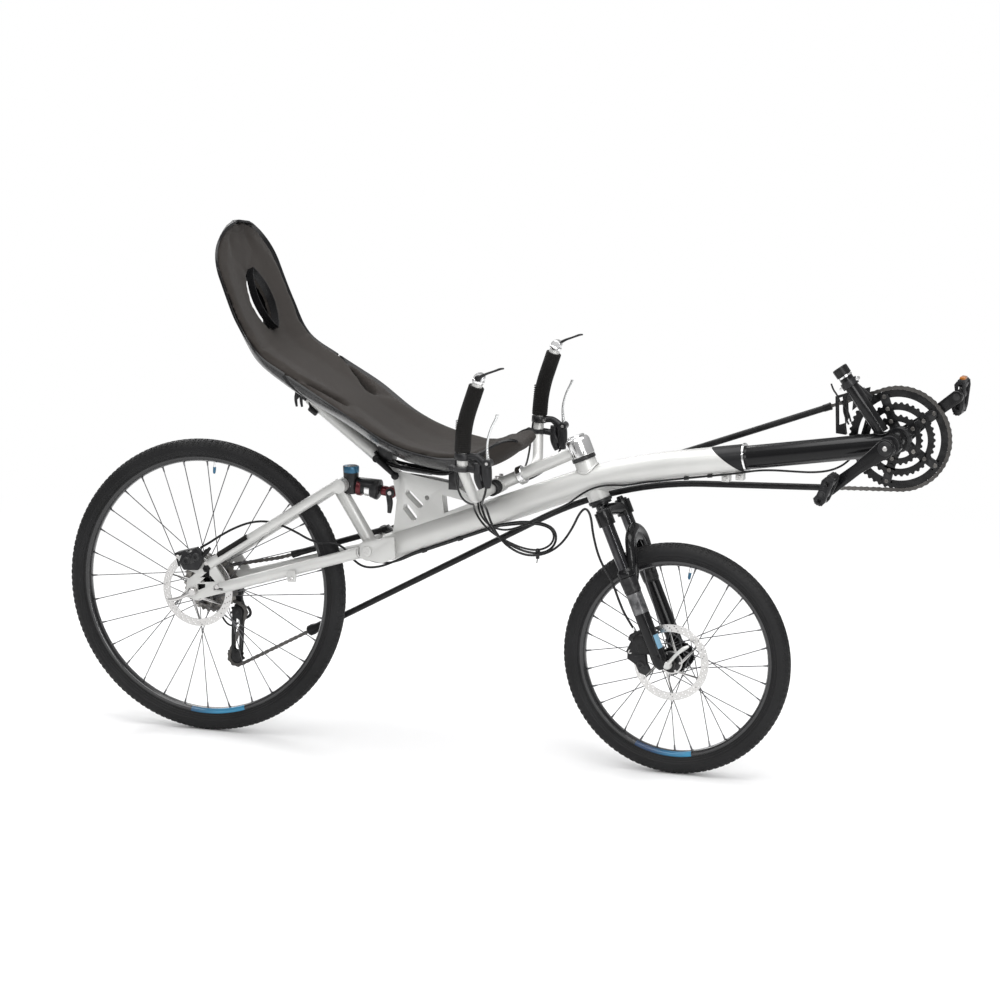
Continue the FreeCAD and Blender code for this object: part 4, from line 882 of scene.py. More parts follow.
# ---- wheels ---------------------------------------------------------------------------------------
@dataclass
class Wheel:
    """One wheel: tyre, rim, spokes, hub, valve and brake rotor."""

    name: str
    body: Body
    hub: Vector
    radius: float
    flanges: tuple[float, float]
    rotor_y: float
    hub_ends: tuple[float, float]
    shoulder_blocks: int
    stripe_middle: float
    stripe_half: float
    valve_angle: float
    holes: int = 16
    width: float = 40.0
    depth: float = 36.0
    spokes: int = 32
    flange_r: float = 29.0

    def node(self, part: str) -> str:
        """The CAD node's name for a part of this wheel."""
        return f"{self.name}_{part}"

    def build_tyre(self) -> None:
        """A round carcass with side ribs, under rows of tread blocks."""
        r = self.radius
        side = [(5.0, r - 1.7), (9.5, r - 3.6), (13.6, r - 7.0), (16.8, r - 11.3), (18.9, r - 15.8),
                (19.7, r - 19.4), (19.8, r - 22.2), (20.2, r - 22.8), (20.2, r - 24.0), (19.5, r - 24.6),
                (18.6, r - 27.6), (18.9, r - 28.2), (18.2, r - 29.4), (17.6, r - 29.6), (16.2, r - 32.4),
                (16.2, r - 33.2), (13.8, r - 34.8), (13.2, r - 37.6), (10.6, r - 37.6)]
        profile = [(0.0, r - 1.1)] + side + [(-y, radius) for y, radius in reversed(side)]
        tyre = turned(self.name + "_carcass", profile, self.hub, Y, 160, closed=True)
        blocks = []
        for row, (lift, reach, tilt, size) in enumerate((
                (0.0, r - 1.2, 0.0, (8.6, 5.6, 2.0)), (6.6, r - 2.5, 20.0, (8.2, 4.4, 2.0)),
                (-6.6, r - 2.5, -20.0, (8.2, 4.4, 2.0)), (11.9, r - 5.6, 40.0, (6.6, 4.0, 2.0)),
                (-11.9, r - 5.6, -40.0, (6.6, 4.0, 2.0)), (15.9, r - 9.9, 54.0, (3.4, 3.2, 1.6)),
                (-15.9, r - 9.9, -54.0, (3.4, 3.2, 1.6)))):
            deselect()
            bpy.ops.mesh.primitive_cube_add(size=1.0)
            block = bpy.context.object
            block.scale = [s * MM for s in size]
            slant = 20.0 if lift > 0 else -20.0 if lift < 0 else 0.0
            block.rotation_mode = "QUATERNION"
            phase = math.pi / self.shoulder_blocks * (row % 2)
            block.rotation_quaternion = (Quaternion(Y, phase) @ Quaternion(X, -math.radians(tilt))
                                         @ Quaternion(Z, math.radians(slant)))
            block.location = (self.hub + Vector((math.sin(phase) * reach, lift, math.cos(phase) * reach)) * MM)
            block = settle("block")
            soften(block, 0.4 * MM, 1)
            blocks.append(ring_of(block, self.shoulder_blocks, self.hub))
        tyre = join(self.node("tyre_tread"), [tyre] + blocks)
        dress(tyre, RUBBER, self.body, (self.node("tyre"),), 40.0)

    def build_rim(self) -> None:
        """A box rim with a lip each side, spoke eyelets and a blue arc at the bottom with a painted highlight."""
        r = self.radius - self.depth
        half = [(12.0, r + 1.0), (12.6, r + 2.2), (13.0, r + 1.2), (12.2, r - 1.5), (12.0, r - 6.8),
                (10.6, r - 8.6), (6.4, r - 11.6), (3.0, r - 12.4)]
        profile = half + [(-y, radius) for y, radius in reversed(half)]
        rim = turned(self.node("rim_body"), profile, self.hub, Y, 160, closed=True)
        eyelet = turned("eyelet", [(-13.4, 0.0), (-13.4, 2.6), (-12.4, 3.4), (-11.0, 3.4), (-11.0, 0.0)],
                        self.hub + X * (r * MM), X, 12)
        eyelets = ring_of(eyelet, self.spokes, self.hub)
        finish = RimFinish(self.name + "_rim_paint", "black_metal", (0.013, 0.013, 0.014), 0.22, 0.2, 0.5, 500.0,
                           0.03, 0.15, 0.2, (0.1, 0.1, 0.1), 0.03, centre=tuple(self.hub), middle=self.stripe_middle,
                           half=self.stripe_half, band=((r - 11.6) * MM, (r + 1.0) * MM))
        dress(join(self.node("rim_shown"), [rim, eyelets]), finish, self.body, (self.node("rim"),))

    def build_spokes(self) -> None:
        """Crossed spokes, each with an elbow through its flange and a six-sided nipple."""
        rim_r = self.radius - self.depth - 12.0
        pieces = []
        for i in range(self.spokes):
            side = -1 if i % 2 else 1
            flange = self.flanges[1] if side > 0 else self.flanges[0]
            outward = 1 if (i // 2) % 2 else -1
            leaving = flange + outward * 3.4
            angle = i * 360.0 / self.spokes
            head = about(self.hub, angle + 72.0 * outward, (self.flange_r - 1.0) * MM, leaving * MM)
            seat = about(self.hub, angle, (rim_r - 0.2) * MM, side * 2.0 * MM)
            lean = (seat - head).normalized()
            through = head - Y * (outward * 5.6 * MM)
            wire = bent_rod("spoke", [through, head - Y * (outward * 0.4 * MM), head + lean * (1.2 * MM), seat],
                            [1.0 * MM] * 4, smoothness=4, sides=2)
            knob = bar("spoke_head", through, through - Y * (outward * 0.9 * MM), 1.9 * MM, sides=10)
            nipple = bar("nipple", seat - lean * (11.0 * MM), seat + lean * (1.0 * MM), 1.5 * MM, 2.2 * MM, sides=6)
            pieces += [wire, knob, nipple]
        dress(join(self.node("spokes_shown"), pieces), SPOKE, self.body, (self.node("spokes"),))

    def build_valve(self) -> None:
        """A thin valve stem with a blue cap."""
        r = self.radius - self.depth
        foot = about(self.hub, self.valve_angle, (r - 11.0) * MM)
        out = (self.hub - foot).normalized()
        stem = turned(self.node("valve_stem"), [(-2, 0), (-2, 3.0), (1.6, 3.6), (2.4, 2.6), (14, 2.6), (14, 0)],
                      foot, out, 16)
        dress(stem, POLISHED, self.body)
        cap = turned(self.node("valve_cap"), [(12.5, 0), (12.5, 3.4), (24, 3.1), (27.0, 2.0), (27.4, 0)], foot, out, 16)
        dress(cap, BLUE, self.body)

    def build_hub(self) -> None:
        """A waisted hub shell with flanges and dust seals."""
        right, left = self.flanges
        low, high = self.hub_ends
        seat = self.rotor_y + 1.0
        profile = [(low, 5.05), (low, 8.0), (low + 1.5, 9.0), (seat - 0.2, 9.0), (seat, 21.0), (seat + 1, 22.0),
                   (seat + 4.2, 22.0), (seat + 5.0, 17.6), (right - 3.0, 17.0), (right - 1.5, 19.0),
                   (right - 1.5, 28.2),
                   (right - 0.8, 29.0), (right + 0.8, 29.0), (right + 1.5, 28.2), (right + 1.5, 20.0),
                   (right + 6.0, 14.6), ((right + left) / 2, 13.0), (left - 6.0, 14.6), (left - 1.5, 20.0),
                   (left - 1.5, 28.2), (left - 0.8, 29.0), (left + 0.8, 29.0), (left + 1.5, 28.2), (left + 1.5, 18.5),
                   (left + 3.5, 17.0), (left + 3.6, 13.0), (high - 1.0, 13.0), (high, 12.0), (high, 5.05)]
        shell = turned(self.node("hub_shell"), profile, self.hub, Y, 64, closed=True)
        dress(shell, BLACK, self.body, (self.node("hub"),))

    def build_rotor(self) -> None:
        """A drilled brake band on slanted slim arms, bolted to a black carrier."""
        place = self.hub + Y * (self.rotor_y * MM)
        band = turned("band", [(-1.0, 64.6), (-1.0, 80.0), (-0.8, 80.3), (0.8, 80.3), (1.0, 80.0), (1.0, 64.6),
                               (0.8, 64.3), (-0.8, 64.3)], place, Y, 120, closed=True)
        hole = None
        cutters = []
        for radius, phase in ((68.4, 0.0), (72.6, 3.6), (76.6, 7.2)):
            hole = bar("hole", about(place, phase, radius * MM, -3 * MM), about(place, phase, radius * MM, 3 * MM),
                       1.5 * MM, sides=10)
            cutters.append(ring_of(hole, self.holes * 2, place))
        carve(band, join("holes", cutters))
        inner = turned("inner", [(-1.0, 17.0), (-1.0, 24.4), (1.0, 24.4), (1.0, 17.0)], place, Y, 60, closed=True)
        arms = []
        for side in (0.0, 1.0):
            a0, a1 = (0.0, 34.0) if side == 0 else (8.0, 34.0)
            start, end = about(place, a0, 22.6 * MM), about(place, a1, 65.6 * MM)
            across = (end - start).cross(Y).normalized() * (1.7 * MM if side == 0 else 1.2 * MM)
            arm = cut_plate("arm", [start - across - Y * 0.0009, start + across - Y * 0.0009,
                                    end + across - Y * 0.0009, end - across - Y * 0.0009], Y * 0.0018)
            arms.append(ring_of(arm, 6, place))
        dress(join(self.node("rotor_shown"), [band, inner] + arms), STEEL, self.body,
              (self.node("brake_rotor"),))
        carrier = turned(self.node("rotor_carrier"), [(-2.2, 10.0), (-2.2, 17.0), (-1.4, 21.4), (-1.1, 21.8),
                                                      (-1.1, 10.0)], place, Y, 48, closed=True)
        dress(carrier, SATIN, self.body)
        bolt = turned("bolt", [(-2.9, 0), (-2.9, 2.2), (-2.5, 2.6), (-1.2, 2.6), (-1.0, 0)],
                      about(place, 0.0, 19.6 * MM), Y, 12)
        dress(settle_ring(bolt, 6, place, self.node("rotor_bolts")), STEEL, self.body)

    def build(self) -> None:
        """Build every part of the wheel."""
        self.build_tyre()
        self.build_rim()
        self.build_spokes()
        self.build_valve()
        self.build_hub()
        self.build_rotor()


def settle_ring(obj: bpy.types.Object, count: int, centre: Vector, name: str) -> bpy.types.Object:
    """Ring copies of a piece, named.

    Args:
        obj: The piece to repeat.
        count: How many there are.
        centre: A point on the axis, in metres.
        name: The ring's name.

    Returns:
        The ring as one piece.
    """
    ring_of(obj, count, centre)
    take(obj)
    return settle(name)


# ---- flat shapes of the side view -----------------------------------------------------------------
def outline(centre: Vector, points: Sequence[tuple[float, float]], y: float, turn: float = 0.0) -> list[Vector]:
    """Side-view points in millimetres about a centre, turned by degrees, in the plane y."""
    c, s = math.cos(math.radians(turn)), math.sin(math.radians(turn))
    return [centre + Vector((x * c - z * s, y, x * s + z * c)) * MM for x, z in points]


def sheet_cut(name: str, centre: Vector, points: Sequence[tuple[float, float]], y0: float, y1: float,
              turn: float = 0.0) -> bpy.types.Object:
    """A flat plate of a side-view outline between two planes y."""
    return cut_plate(name, outline(centre, points, y0, turn), Y * ((y1 - y0) * MM))


def link_shape(length: float, r0: float, r1: float, waist: float, steps: int = 6) -> list[tuple[float, float]]:
    """A link's outline: a round end at 0, a round end at length, and a waist between them.

    Args:
        length: From one end to the other, in millimetres.
        r0: The first end's radius.
        r1: The second end's radius.
        waist: Half the width in the middle.
        steps: Steps in each round end.

    Returns:
        The outline as pairs, in millimetres.
    """
    points = []
    for i in range(steps + 1):
        turn = math.pi / 2 + math.pi * i / steps
        points.append((r0 * math.cos(turn), r0 * math.sin(turn)))
    points.append((length / 2, -waist))
    for i in range(steps + 1):
        turn = -math.pi / 2 + math.pi * i / steps
        points.append((length + r1 * math.cos(turn), r1 * math.sin(turn)))
    points.append((length / 2, waist))
    return points


def sprocket(name: str, teeth: int, pitch_r: float, bore: float, thick: float, centre: Vector, y: float,
             phase: float = 0.0, height: float = 3.6) -> bpy.types.Object:
    """A toothed ring about a side-view centre.

    Args:
        name: The piece's name.
        teeth: Number of teeth.
        pitch_r: Radius in millimetres at which the chain's pins run.
        bore: Inner radius in millimetres.
        thick: Thickness in millimetres.
        centre: A point on the axis.
        y: The ring's plane, in millimetres.
        phase: Degrees by which the teeth are turned.
        height: How far the teeth stand over the roots.

    Returns:
        The new object.
    """
    root = pitch_r - 3.9
    deselect()
    bpy.ops.mesh.primitive_circle_add(vertices=4 * teeth, radius=root * MM)
    bpy.ops.object.mode_set(mode="EDIT")
    bpy.ops.mesh.select_all(action="SELECT")
    bpy.ops.mesh.extrude_edges_move()
    bpy.ops.transform.resize(value=(bore / root,) * 3)
    bpy.ops.object.mode_set(mode="OBJECT")
    ring = bpy.context.object
    for corner in ring.data.vertices:
        if corner.index < 4 * teeth and corner.index % 4 in (1, 2):
            corner.co *= (root + height) / root
    ring.rotation_euler = (math.radians(90), math.radians(-phase), 0)
    ring.location = centre + Y * (y * MM)
    settle(name)
    modify(ring, "SOLIDIFY", thickness=thick * MM, offset=0.0)
    take(ring)
    bpy.ops.object.mode_set(mode="EDIT")
    bpy.ops.mesh.select_all(action="SELECT")
    bpy.ops.mesh.normals_make_consistent(inside=False)
    bpy.ops.object.mode_set(mode="OBJECT")
    return ring


# ---- chain ----------------------------------------------------------------------------------------
@dataclass
class Chain:
    """The chain loop, link by link, with its guide tubes and idler."""

    plane: float = 54.0
    circles: tuple = ((1502.0, 728.0, 105.1, -1), (440.0, 446.0, 30.0, -1), (0.0, 320.0, 28.5, -1),
                      (50.0, 254.0, 18.57, 1), (47.0, 153.0, 18.57, -1))
    bends: tuple = ((790.0, 574.0, 1500.0), (150.0, 381.034, 300.0), None, None, (905.0, 600.0, 800.0))

    @staticmethod
    def leave(c1: tuple, r1: float, s1: float, c2: tuple, r2: float, s2: float) -> tuple:
        """Both ends of the straight run between two circles, each on its own side of the run.

        Args:
            c1: The first circle's centre.
            r1: Its radius.
            s1: Its side of the run.
            c2: The second circle's centre.
            r2: Its radius.
            s2: Its side of the run.

        Returns:
            The two ends as pairs, in millimetres.
        """
        dx, dz = c2[0] - c1[0], c2[1] - c1[1]
        heading = math.atan2(dz, dx) - math.asin((s1 * r1 - s2 * r2) / math.hypot(dx, dz))
        left = (-math.sin(heading), math.cos(heading))
        return ((c1[0] + left[0] * s1 * r1, c1[1] + left[1] * s1 * r1),
                (c2[0] + left[0] * s2 * r2, c2[1] + left[1] * s2 * r2))

    def runs(self) -> list[list[tuple[float, float]]]:
        """Each run between two circles as corner points.

        Returns:
            The corner points of each run.
        """
        made = []
        for i, bend in enumerate(self.bends):
            (x1, z1, r1, s1), (x2, z2, r2, s2) = self.circles[i], self.circles[(i + 1) % 5]
            if bend is None:
                made.append(list(self.leave((x1, z1), r1, s1, (x2, z2), r2, s2)))
            else:
                start = self.leave((x1, z1), r1, s1, bend[:2], 0.0, s1)[0]
                end = self.leave(bend[:2], 0.0, s2, (x2, z2), r2, s2)[1]
                made.append([start, bend[:2], end])
        return made

    @staticmethod
    def eased(run: list, radius: float, steps: int = 24) -> list[tuple[float, float]]:
        """A run with its inner corner replaced by a tangent arc.

        Args:
            run: The corner points of a run.
            radius: The arc's radius, in millimetres.
            steps: Steps in the arc.

        Returns:
            The run with its arc.
        """
        a, corner, b = (Vector((x, 0, z)) for x, z in run)
        back, ahead = (a - corner).normalized(), (b - corner).normalized()
        half = back.angle(ahead) / 2
        centre = corner + (back + ahead).normalized() * (radius / math.sin(half))
        first = corner + back * (radius / math.tan(half)) - centre
        last = corner + ahead * (radius / math.tan(half)) - centre
        arc = [centre + first.slerp(last, i / steps) * radius for i in range(steps + 1)]
        return [run[0]] + [(p.x, p.z) for p in arc] + [run[-1]]

    def centre_line(self) -> list[Vector]:
        """The whole loop as close-set points, in metres.

        Returns:
            The points.
        """
        points = []
        runs = self.runs()
        for i, run in enumerate(runs):
            bend = self.bends[i]
            points += run if bend is None else self.eased(run, bend[2])
            x, z, radius, side = self.circles[(i + 1) % 5]
            start, end = run[-1], runs[(i + 1) % 5][0]
            a0 = math.atan2(start[1] - z, start[0] - x)
            a1 = math.atan2(end[1] - z, end[0] - x)
            while (a1 - a0) * -side < 0:
                a1 -= side * 2 * math.pi
            steps = max(6, int(abs(a1 - a0) * radius / 3.0))
            points += [(x + radius * math.cos(a0 + (a1 - a0) * k / steps),
                        z + radius * math.sin(a0 + (a1 - a0) * k / steps)) for k in range(1, steps)]
        return [at(x, self.plane, z) for x, z in points]

    def pins(self) -> list[Vector]:
        """The pins' places, evenly spaced round the loop.

        Returns:
            The places, in metres.
        """
        line = self.centre_line()
        loop = line + line[:1]
        lengths = [(b - a).length for a, b in zip(loop, loop[1:])]
        total = sum(lengths)
        count = 2 * round(total / (2 * 12.7 * MM))
        places, step, walked, k = [], total / count, 0.0, 0
        for i in range(count):
            goal = i * step
            while walked + lengths[k] < goal:
                walked += lengths[k]
                k += 1
            places.append(loop[k].lerp(loop[k + 1], (goal - walked) / lengths[k]))
        return places

    def build_links(self) -> None:
        """Inner and outer links in turn, with their rollers and pins."""
        pins = self.pins()
        centre = Vector((0, 0, 0))
        inner = [sheet_cut("inner", centre, link_shape(12.7, 4.0, 4.0, 2.9), y0, y0 + 0.8) for y0 in (-2.2, 1.4)]
        inner += [bar("roller", Vector((x * MM, -1.4 * MM, 0)), Vector((x * MM, 1.4 * MM, 0)), 3.7 * MM, sides=14)
                  for x in (0.0, 12.7)]
        outer = [sheet_cut("outer", centre, link_shape(12.7, 4.2, 4.2, 3.1), y0, y0 + 0.8) for y0 in (-3.05, 2.25)]
        outer += [bar("pin", Vector((x * MM, -3.4 * MM, 0)), Vector((x * MM, 3.4 * MM, 0)), 1.6 * MM, sides=10)
                  for x in (0.0, 12.7)]
        joined = []
        for first, name, parts in ((0, "inner_links", inner), (1, "outer_links", outer)):
            model = join(name, parts)
            places = []
            for i in range(first, len(pins), 2):
                a, b = pins[i], pins[(i + 1) % len(pins)]
                along = (b - a).normalized()
                up = along.cross(Y)
                turn = Matrix((along, Y, -up)).transposed().to_4x4()
                places.append(Matrix.Translation(a) @ turn)
            joined.append(copies(name, model, places))
        dress(join("chain_links", joined), CHAIN_STEEL, Body.FRAME, ("chain",))

    def build_tubes(self) -> None:
        """The three guide tubes with a flared collar at each mouth."""
        line = self.centre_line()
        ends = (("upper_chain_tube", 500.0, 1357.0), ("rear_chain_tube", 178.0, 398.0),
                ("lower_chain_tube", 236.0, 1364.0))
        for node, low, high in ends:
            tube = traced(node)
            mouths, starts = [], []
            for x, outward in ((low, -1), (high, 1)):
                near = list(enumerate(line))
                target = at(x, self.plane, 0).x
                found = [(p.lerp(q, (target - p.x) / (q.x - p.x)), (q - p).normalized())
                         for (i, p), (j, q) in zip(near, near[1:])
                         if j == i + 1 and min(p.x, q.x) <= target <= max(p.x, q.x)]
                spot, along = min(found, key=lambda pair: min((v.co - pair[0]).length for v in tube.data.vertices))
                along = along if along.x * outward > 0 else -along
                starts.append((spot, along))
                mouths.append(turned("mouth", [(-16, 6.6), (-15, 7.5), (-1.0, 7.7), (0.4, 8.3), (1.2, 8.1), (1.2, 6.0),
                                               (-1.0, 5.6), (-16, 5.6)], spot, along, 32, closed=True))
            if node == "lower_chain_tube":
                spot, along = starts[0]
                mouths.append(turned("plug", [(-14, 7.0), (-12, 9.0), (2, 9.6), (12, 12.0), (22, 11.4), (25, 8.4),
                                              (25, 6.2),
                                              (-14, 6.2)], spot, along, 32,
                                     closed=True))
            tube = join(node + "_shown", [tube] + mouths)
            dress(tube, PLASTIC, Body.FRAME, (node,))

    def build_idler(self) -> None:
        """The grooved idler roller on its axle."""
        place = at(440.0, 0.0, 446.0)
        roller = turned("idler_roller", [(47.0, 8.0), (47.0, 27.0), (47.6, 28.0), (48.4, 28.0), (49.4, 26.0),
                                         (51.2, 25.2), (56.8, 25.2), (58.6, 26.0), (59.6, 28.0), (60.4, 28.0),
                                         (61.0, 27.0), (61.0, 22.0), (59.5, 20.0), (59.5, 11.0), (61.5, 10.0),
                                         (61.5, 8.0)], place, Y, 64, closed=True)
        dress(roller, PLASTIC, Body.FRAME, ("chain_idler",))
        axle = turned("idler_axle", [(42.3, 0), (42.3, 7.0), (61.8, 7.0), (62.0, 8.6), (64.6, 8.6), (65.2, 7.8),
                                     (65.2, 4.0), (63.4, 3.4), (63.4, 0)], place, Y, 32)
        dress(axle, STEEL, Body.FRAME)

    def build(self) -> None:
        """Build the chain and what guides it."""
        self.build_links()
        self.build_tubes()
        self.build_idler()


# ---- crankset -------------------------------------------------------------------------------------
@dataclass
class Crankset:
    """Rings, spider, crank arms, spindle and both pedals."""

    angle: float = 39.0
    length: float = 145.0
    tilt: float = 84.0
    near_tilt: float = 66.0
    rings: tuple = ((105.1, 54.0, 52), (76.9, 47.0, 38), (52.6, 40.0, 26))

    def build_rings(self) -> None:
        """Three toothed rings on a five-arm spider, with bolts."""
        parts = []
        for pitch_r, y, teeth in self.rings:
            bore = pitch_r - 19.0 if teeth > 50 else pitch_r - 16.5 if teeth > 30 else pitch_r - 15.0
            parts.append(sprocket("ring", teeth, pitch_r, bore, 2.4, CRANK, y, 3.0))
        for pitch_r, y, teeth in self.rings:
            parts.append(self.tabs(pitch_r, y))
        dress(join("chainrings_toothed", parts), BLACK, Body.CRANKSET, ("chainrings",))
        arm_shape = [(14, -14), (34, -10.0), (58, -9.0), (88, -9.6), (95, -7.0), (97, 0), (95, 7.0), (88, 9.6),
                     (58, 9.0),
                     (34, 10.0), (14, 14)]
        arm = sheet_cut("arm", CRANK, arm_shape, 49.0, 52.6, self.angle)
        soften(arm, 0.9 * MM)
        small = sheet_cut("small_arm", CRANK, [(14, -9), (40, -6.0), (43, 0), (40, 6.0), (14, 9)], 40.0, 48.4,
                          self.angle)
        soften(small, 0.8 * MM)
        body = turned("body", [(39.2, 11.0), (39.2, 24.0), (41, 26.5), (47, 27.5), (57, 26.5), (58.5, 24.0),
                               (58.5, 11.0)],
                      CRANK, Y, 64, closed=True)
        dress(join("chainring_spider", [ring_of(arm, 5, CRANK), ring_of(small, 5, CRANK), body]), SATIN,
              Body.CRANKSET)
        bolts = []
        for reach, y0 in ((91.0, 55.2), (66.0, 48.4), (40.0, 41.4)):
            bolt = turned("bolt", [(-1.6, 0), (-1.6, 4.6), (0.6, 4.6), (1.0, 4.0), (1.0, 2.2), (0.0, 1.8), (0.0, 0)],
                          about(CRANK, self.angle, reach * MM, y0 * MM), Y, 20)
            back = turned("nut", [(-7.5, 0), (-7.5, 3.8), (-7.0, 4.4), (-5.6, 4.4), (-5.6, 0)],
                          about(CRANK, self.angle, reach * MM, y0 * MM), Y, 20)
            bolts.append(ring_of(join("bolt", [bolt, back]), 5, CRANK))
        dress(join("chainring_bolts", bolts), CHAIN_STEEL, Body.CRANKSET)

    def tabs(self, pitch_r: float, y: float) -> bpy.types.Object:
        """Five inner tabs through which a ring is bolted.

        Args:
            pitch_r: The ring's pitch radius, in millimetres.
            y: The ring's plane, in millimetres.

        Returns:
            The tabs as one piece.
        """
        r = pitch_r - 15.0
        shape = [(r + 2, -13), (r - 6, -8), (r - 8, -4), (r - 8.6, 0), (r - 8, 4), (r - 6, 8), (r + 2, 13)]
        tab = sheet_cut("tab", CRANK, shape, y - 1.2, y + 1.2, self.angle)
        return ring_of(tab, 5, CRANK)

    def build_arm(self, side: int, node: str) -> None:
        """A forged crank arm with a boss, an eye, a recess and a bright bolt.

        Args:
            side: 1 on the chain side, -1 on the other.
            node: The CAD node it stands for.
        """
        turn = self.angle if side > 0 else self.angle + 180.0
        y0, y1 = sorted((side * 62.0, side * 76.0))
        length = self.length
        shape = link_shape(length, 19.0, 13.0, 11.5, 10)
        shape.insert(shape.index((length / 2, -11.5)), (36.0, -15.0))
        shape.append((36.0, 15.0))
        arm = sheet_cut(node + "_shown", CRANK, shape, y0, y1, turn)
        groove = sheet_cut("groove", CRANK, link_shape(length - 62.0, 5.2, 4.0, 4.4), 0.0, 2.4, turn)
        start = about(Vector(), turn, 33.0 * MM)
        groove.location = start + Y * ((side * 76.0 - (1.6 if side > 0 else 0.8)) * MM)
        take(groove)
        settle("groove")
        soften(arm, 2.4 * MM, 3)
        carve(arm, groove)
        eye = turned("eye", [(0, 0), (0, 7.0), (16, 7.0), (16, 0)], about(CRANK, turn, length * MM, side * 61.0 * MM),
                     Y * side, 32)
        carve(arm, eye)
        dress(arm, BLACK, Body.CRANKSET, (node,), 30.0)
        cap = turned(node + "_bolt", [(14.2, 0), (14.2, 15.0), (15.6, 15.0), (16.4, 14.0), (16.4, 10.4), (15.2, 9.8),
                                      (15.2, 6.2), (16.8, 5.8), (17.2, 5.0), (17.2, 3.0), (15.6, 2.8), (15.6, 0)],
                     CRANK + Y * (side * 61.4 * MM), Y * side, 40)
        dress(cap, SATIN, Body.CRANKSET)
        bolt = turned(node + "_bolt_head", [(15.0, 0), (15.0, 5.0), (17.6, 5.0), (18.4, 4.2), (18.4, 2.4), (16.8, 2.2),
                                            (16.8, 0)], CRANK + Y * (side * 61.4 * MM), Y * side, 24)
        dress(bolt, STEEL, Body.CRANKSET)

    def build_spindles(self) -> None:
        """The crank spindle, the bearing cups and the pedal spindles."""
        spindle = turned("crank_spindle_shown", [(-78, 0), (-78, 10.0), (-77, 11.0), (77, 11.0), (78, 10.0), (78, 0)],
                         CRANK, Y, 40)
        dress(spindle, SATIN, Body.CRANKSET, ("crank_spindle",))
        cups = []
        for side in (-1, 1):
            cups.append(turned("cup", [(20.0, 11.05), (20.0, 17.0), (34.0, 17.0), (34.2, 20.4), (38.0, 20.4),
                                       (38.6, 19.6), (38.6, 14.0), (37.4, 13.4), (37.4, 11.05)], CRANK, Y * side, 48,
                               closed=True))
        dress(join("bearing_cups", cups), SATIN, Body.FRAME, ("bottom_bracket",))
        pieces = []
        for side in (-1, 1):
            end = about(CRANK, self.angle if side > 0 else self.angle + 180.0, self.length * MM)
            pieces.append(turned("pin", [(62.0, 0), (62.0, 7.0), (77.0, 7.0), (77.2, 9.0), (80.0, 9.4), (80.6, 7.0),
                                         (85.0, 7.0), (85.7, 6.2), (85.7, 5.0), (141.0, 5.0), (141.0, 0)], end,
                                         Y * side,
                                 32))
        dress(join("pedal_spindles_shown", pieces), SATIN, Body.CRANKSET, ("pedal_spindles",))

    @staticmethod
    def longer(shape: list, side: int) -> list[tuple[float, float]]:
        """A pedal outline with its inner end drawn out and its outer end short."""
        return [(x * (1.2 if x * side < 0 else 0.9 if side > 0 else 0.66), z * 1.22) for x, z in shape]

    def build_pedal(self, side: int, body: Body, node: str) -> None:
        """A clip pedal: barrel, two cheek plates, cross-bars, front hoop and sprung rear claw.

        Args:
            side: 1 on the chain side, -1 on the other.
            body: The body it rides on.
            node: The CAD node it stands for.
        """
        turn = self.angle if side > 0 else self.angle + 180.0
        end = about(CRANK, turn, self.length * MM)
        tilt = self.tilt if side > 0 else self.near_tilt
        low, high = (86.0, 138.0) if side > 0 else (-138.0, -86.0)
        middle = (low + high) / 2
        barrel = turned("barrel", [(low, 5.1), (low, 8.0), (low + 4, 9.0), (middle, 10.5), (high - 4, 9.0),
                                   (high, 8.0), (high, 5.1)], end, Y, 32, closed=True)
        cheek = [(-32, -8), (-20, -10), (20, -10), (32, -8), (36, 1), (30, 7), (22, 10.5), (8, 8), (-8, 8), (-22, 10.5),
                 (-30, 7), (-36, 1)]
        cheek = self.longer(cheek, side)
        parts = [barrel]
        for y0 in (low + 2.0, high - 6.0):
            plate = sheet_cut("cheek", end, cheek, y0, y0 + 4.0, tilt)
            for x in (-20.0 - 4.0 * side, 20.0 - 4.0 * side):
                hole = sheet_cut("hole", end, [(x - 6, -4), (x + 6, -4), (x + 5, 4), (x - 5, 4)], y0 - 2, y0 + 6, tilt)
                carve(plate, hole)
            bore = sheet_cut("bore", end, [(5.2 * math.cos(k), 5.2 * math.sin(k)) for k in
                                           [i * math.pi / 8 for i in range(16)]], y0 - 2, y0 + 6, tilt)
            parts.append(soften(carve(plate, bore), 0.8 * MM))
        bars = [([(-35, -5), (-29, -7), (-28, 4), (-34, 6)], 1.0), ([(35, -5), (29, -7), (28, 4), (34, 6)], 1.0)]
        for shape, inset in bars:
            shape = self.longer(shape, side)
            parts.append(soften(sheet_cut("crossbar", end, shape, low + inset, high - inset, tilt), 1.0 * MM))
        for sign in (1, -1):
            hoop = [(16 * sign, -7), (27 * sign, -9), (31 * sign, -1), (24 * sign, 9), (17 * sign, 7)]
            hoop = self.longer(hoop, side)
            parts.append(soften(sheet_cut("claw", end, hoop, middle - 13, middle + 13, tilt), 1.6 * MM))
        dress(join(node + "_shown", parts), SATIN, body, (node,))
        spring = [bar("coil", about(end, tilt, x * MM, (middle - 11) * MM),
                      about(end, tilt, x * MM, (middle + 11) * MM),
                      3.6 * MM, sides=20) for x in (-14.0, 14.0)]
        dress(join(node + "_springs", spring), STEEL, body)
        if side > 0:
            lens = sheet_cut(node + "_reflector", end, [(31.0, -6), (35.6, -5), (35.6, 5), (31.0, 6)], middle - 14,
                             middle + 14, tilt)
            dress(soften(lens, 0.8 * MM), AMBER, body)

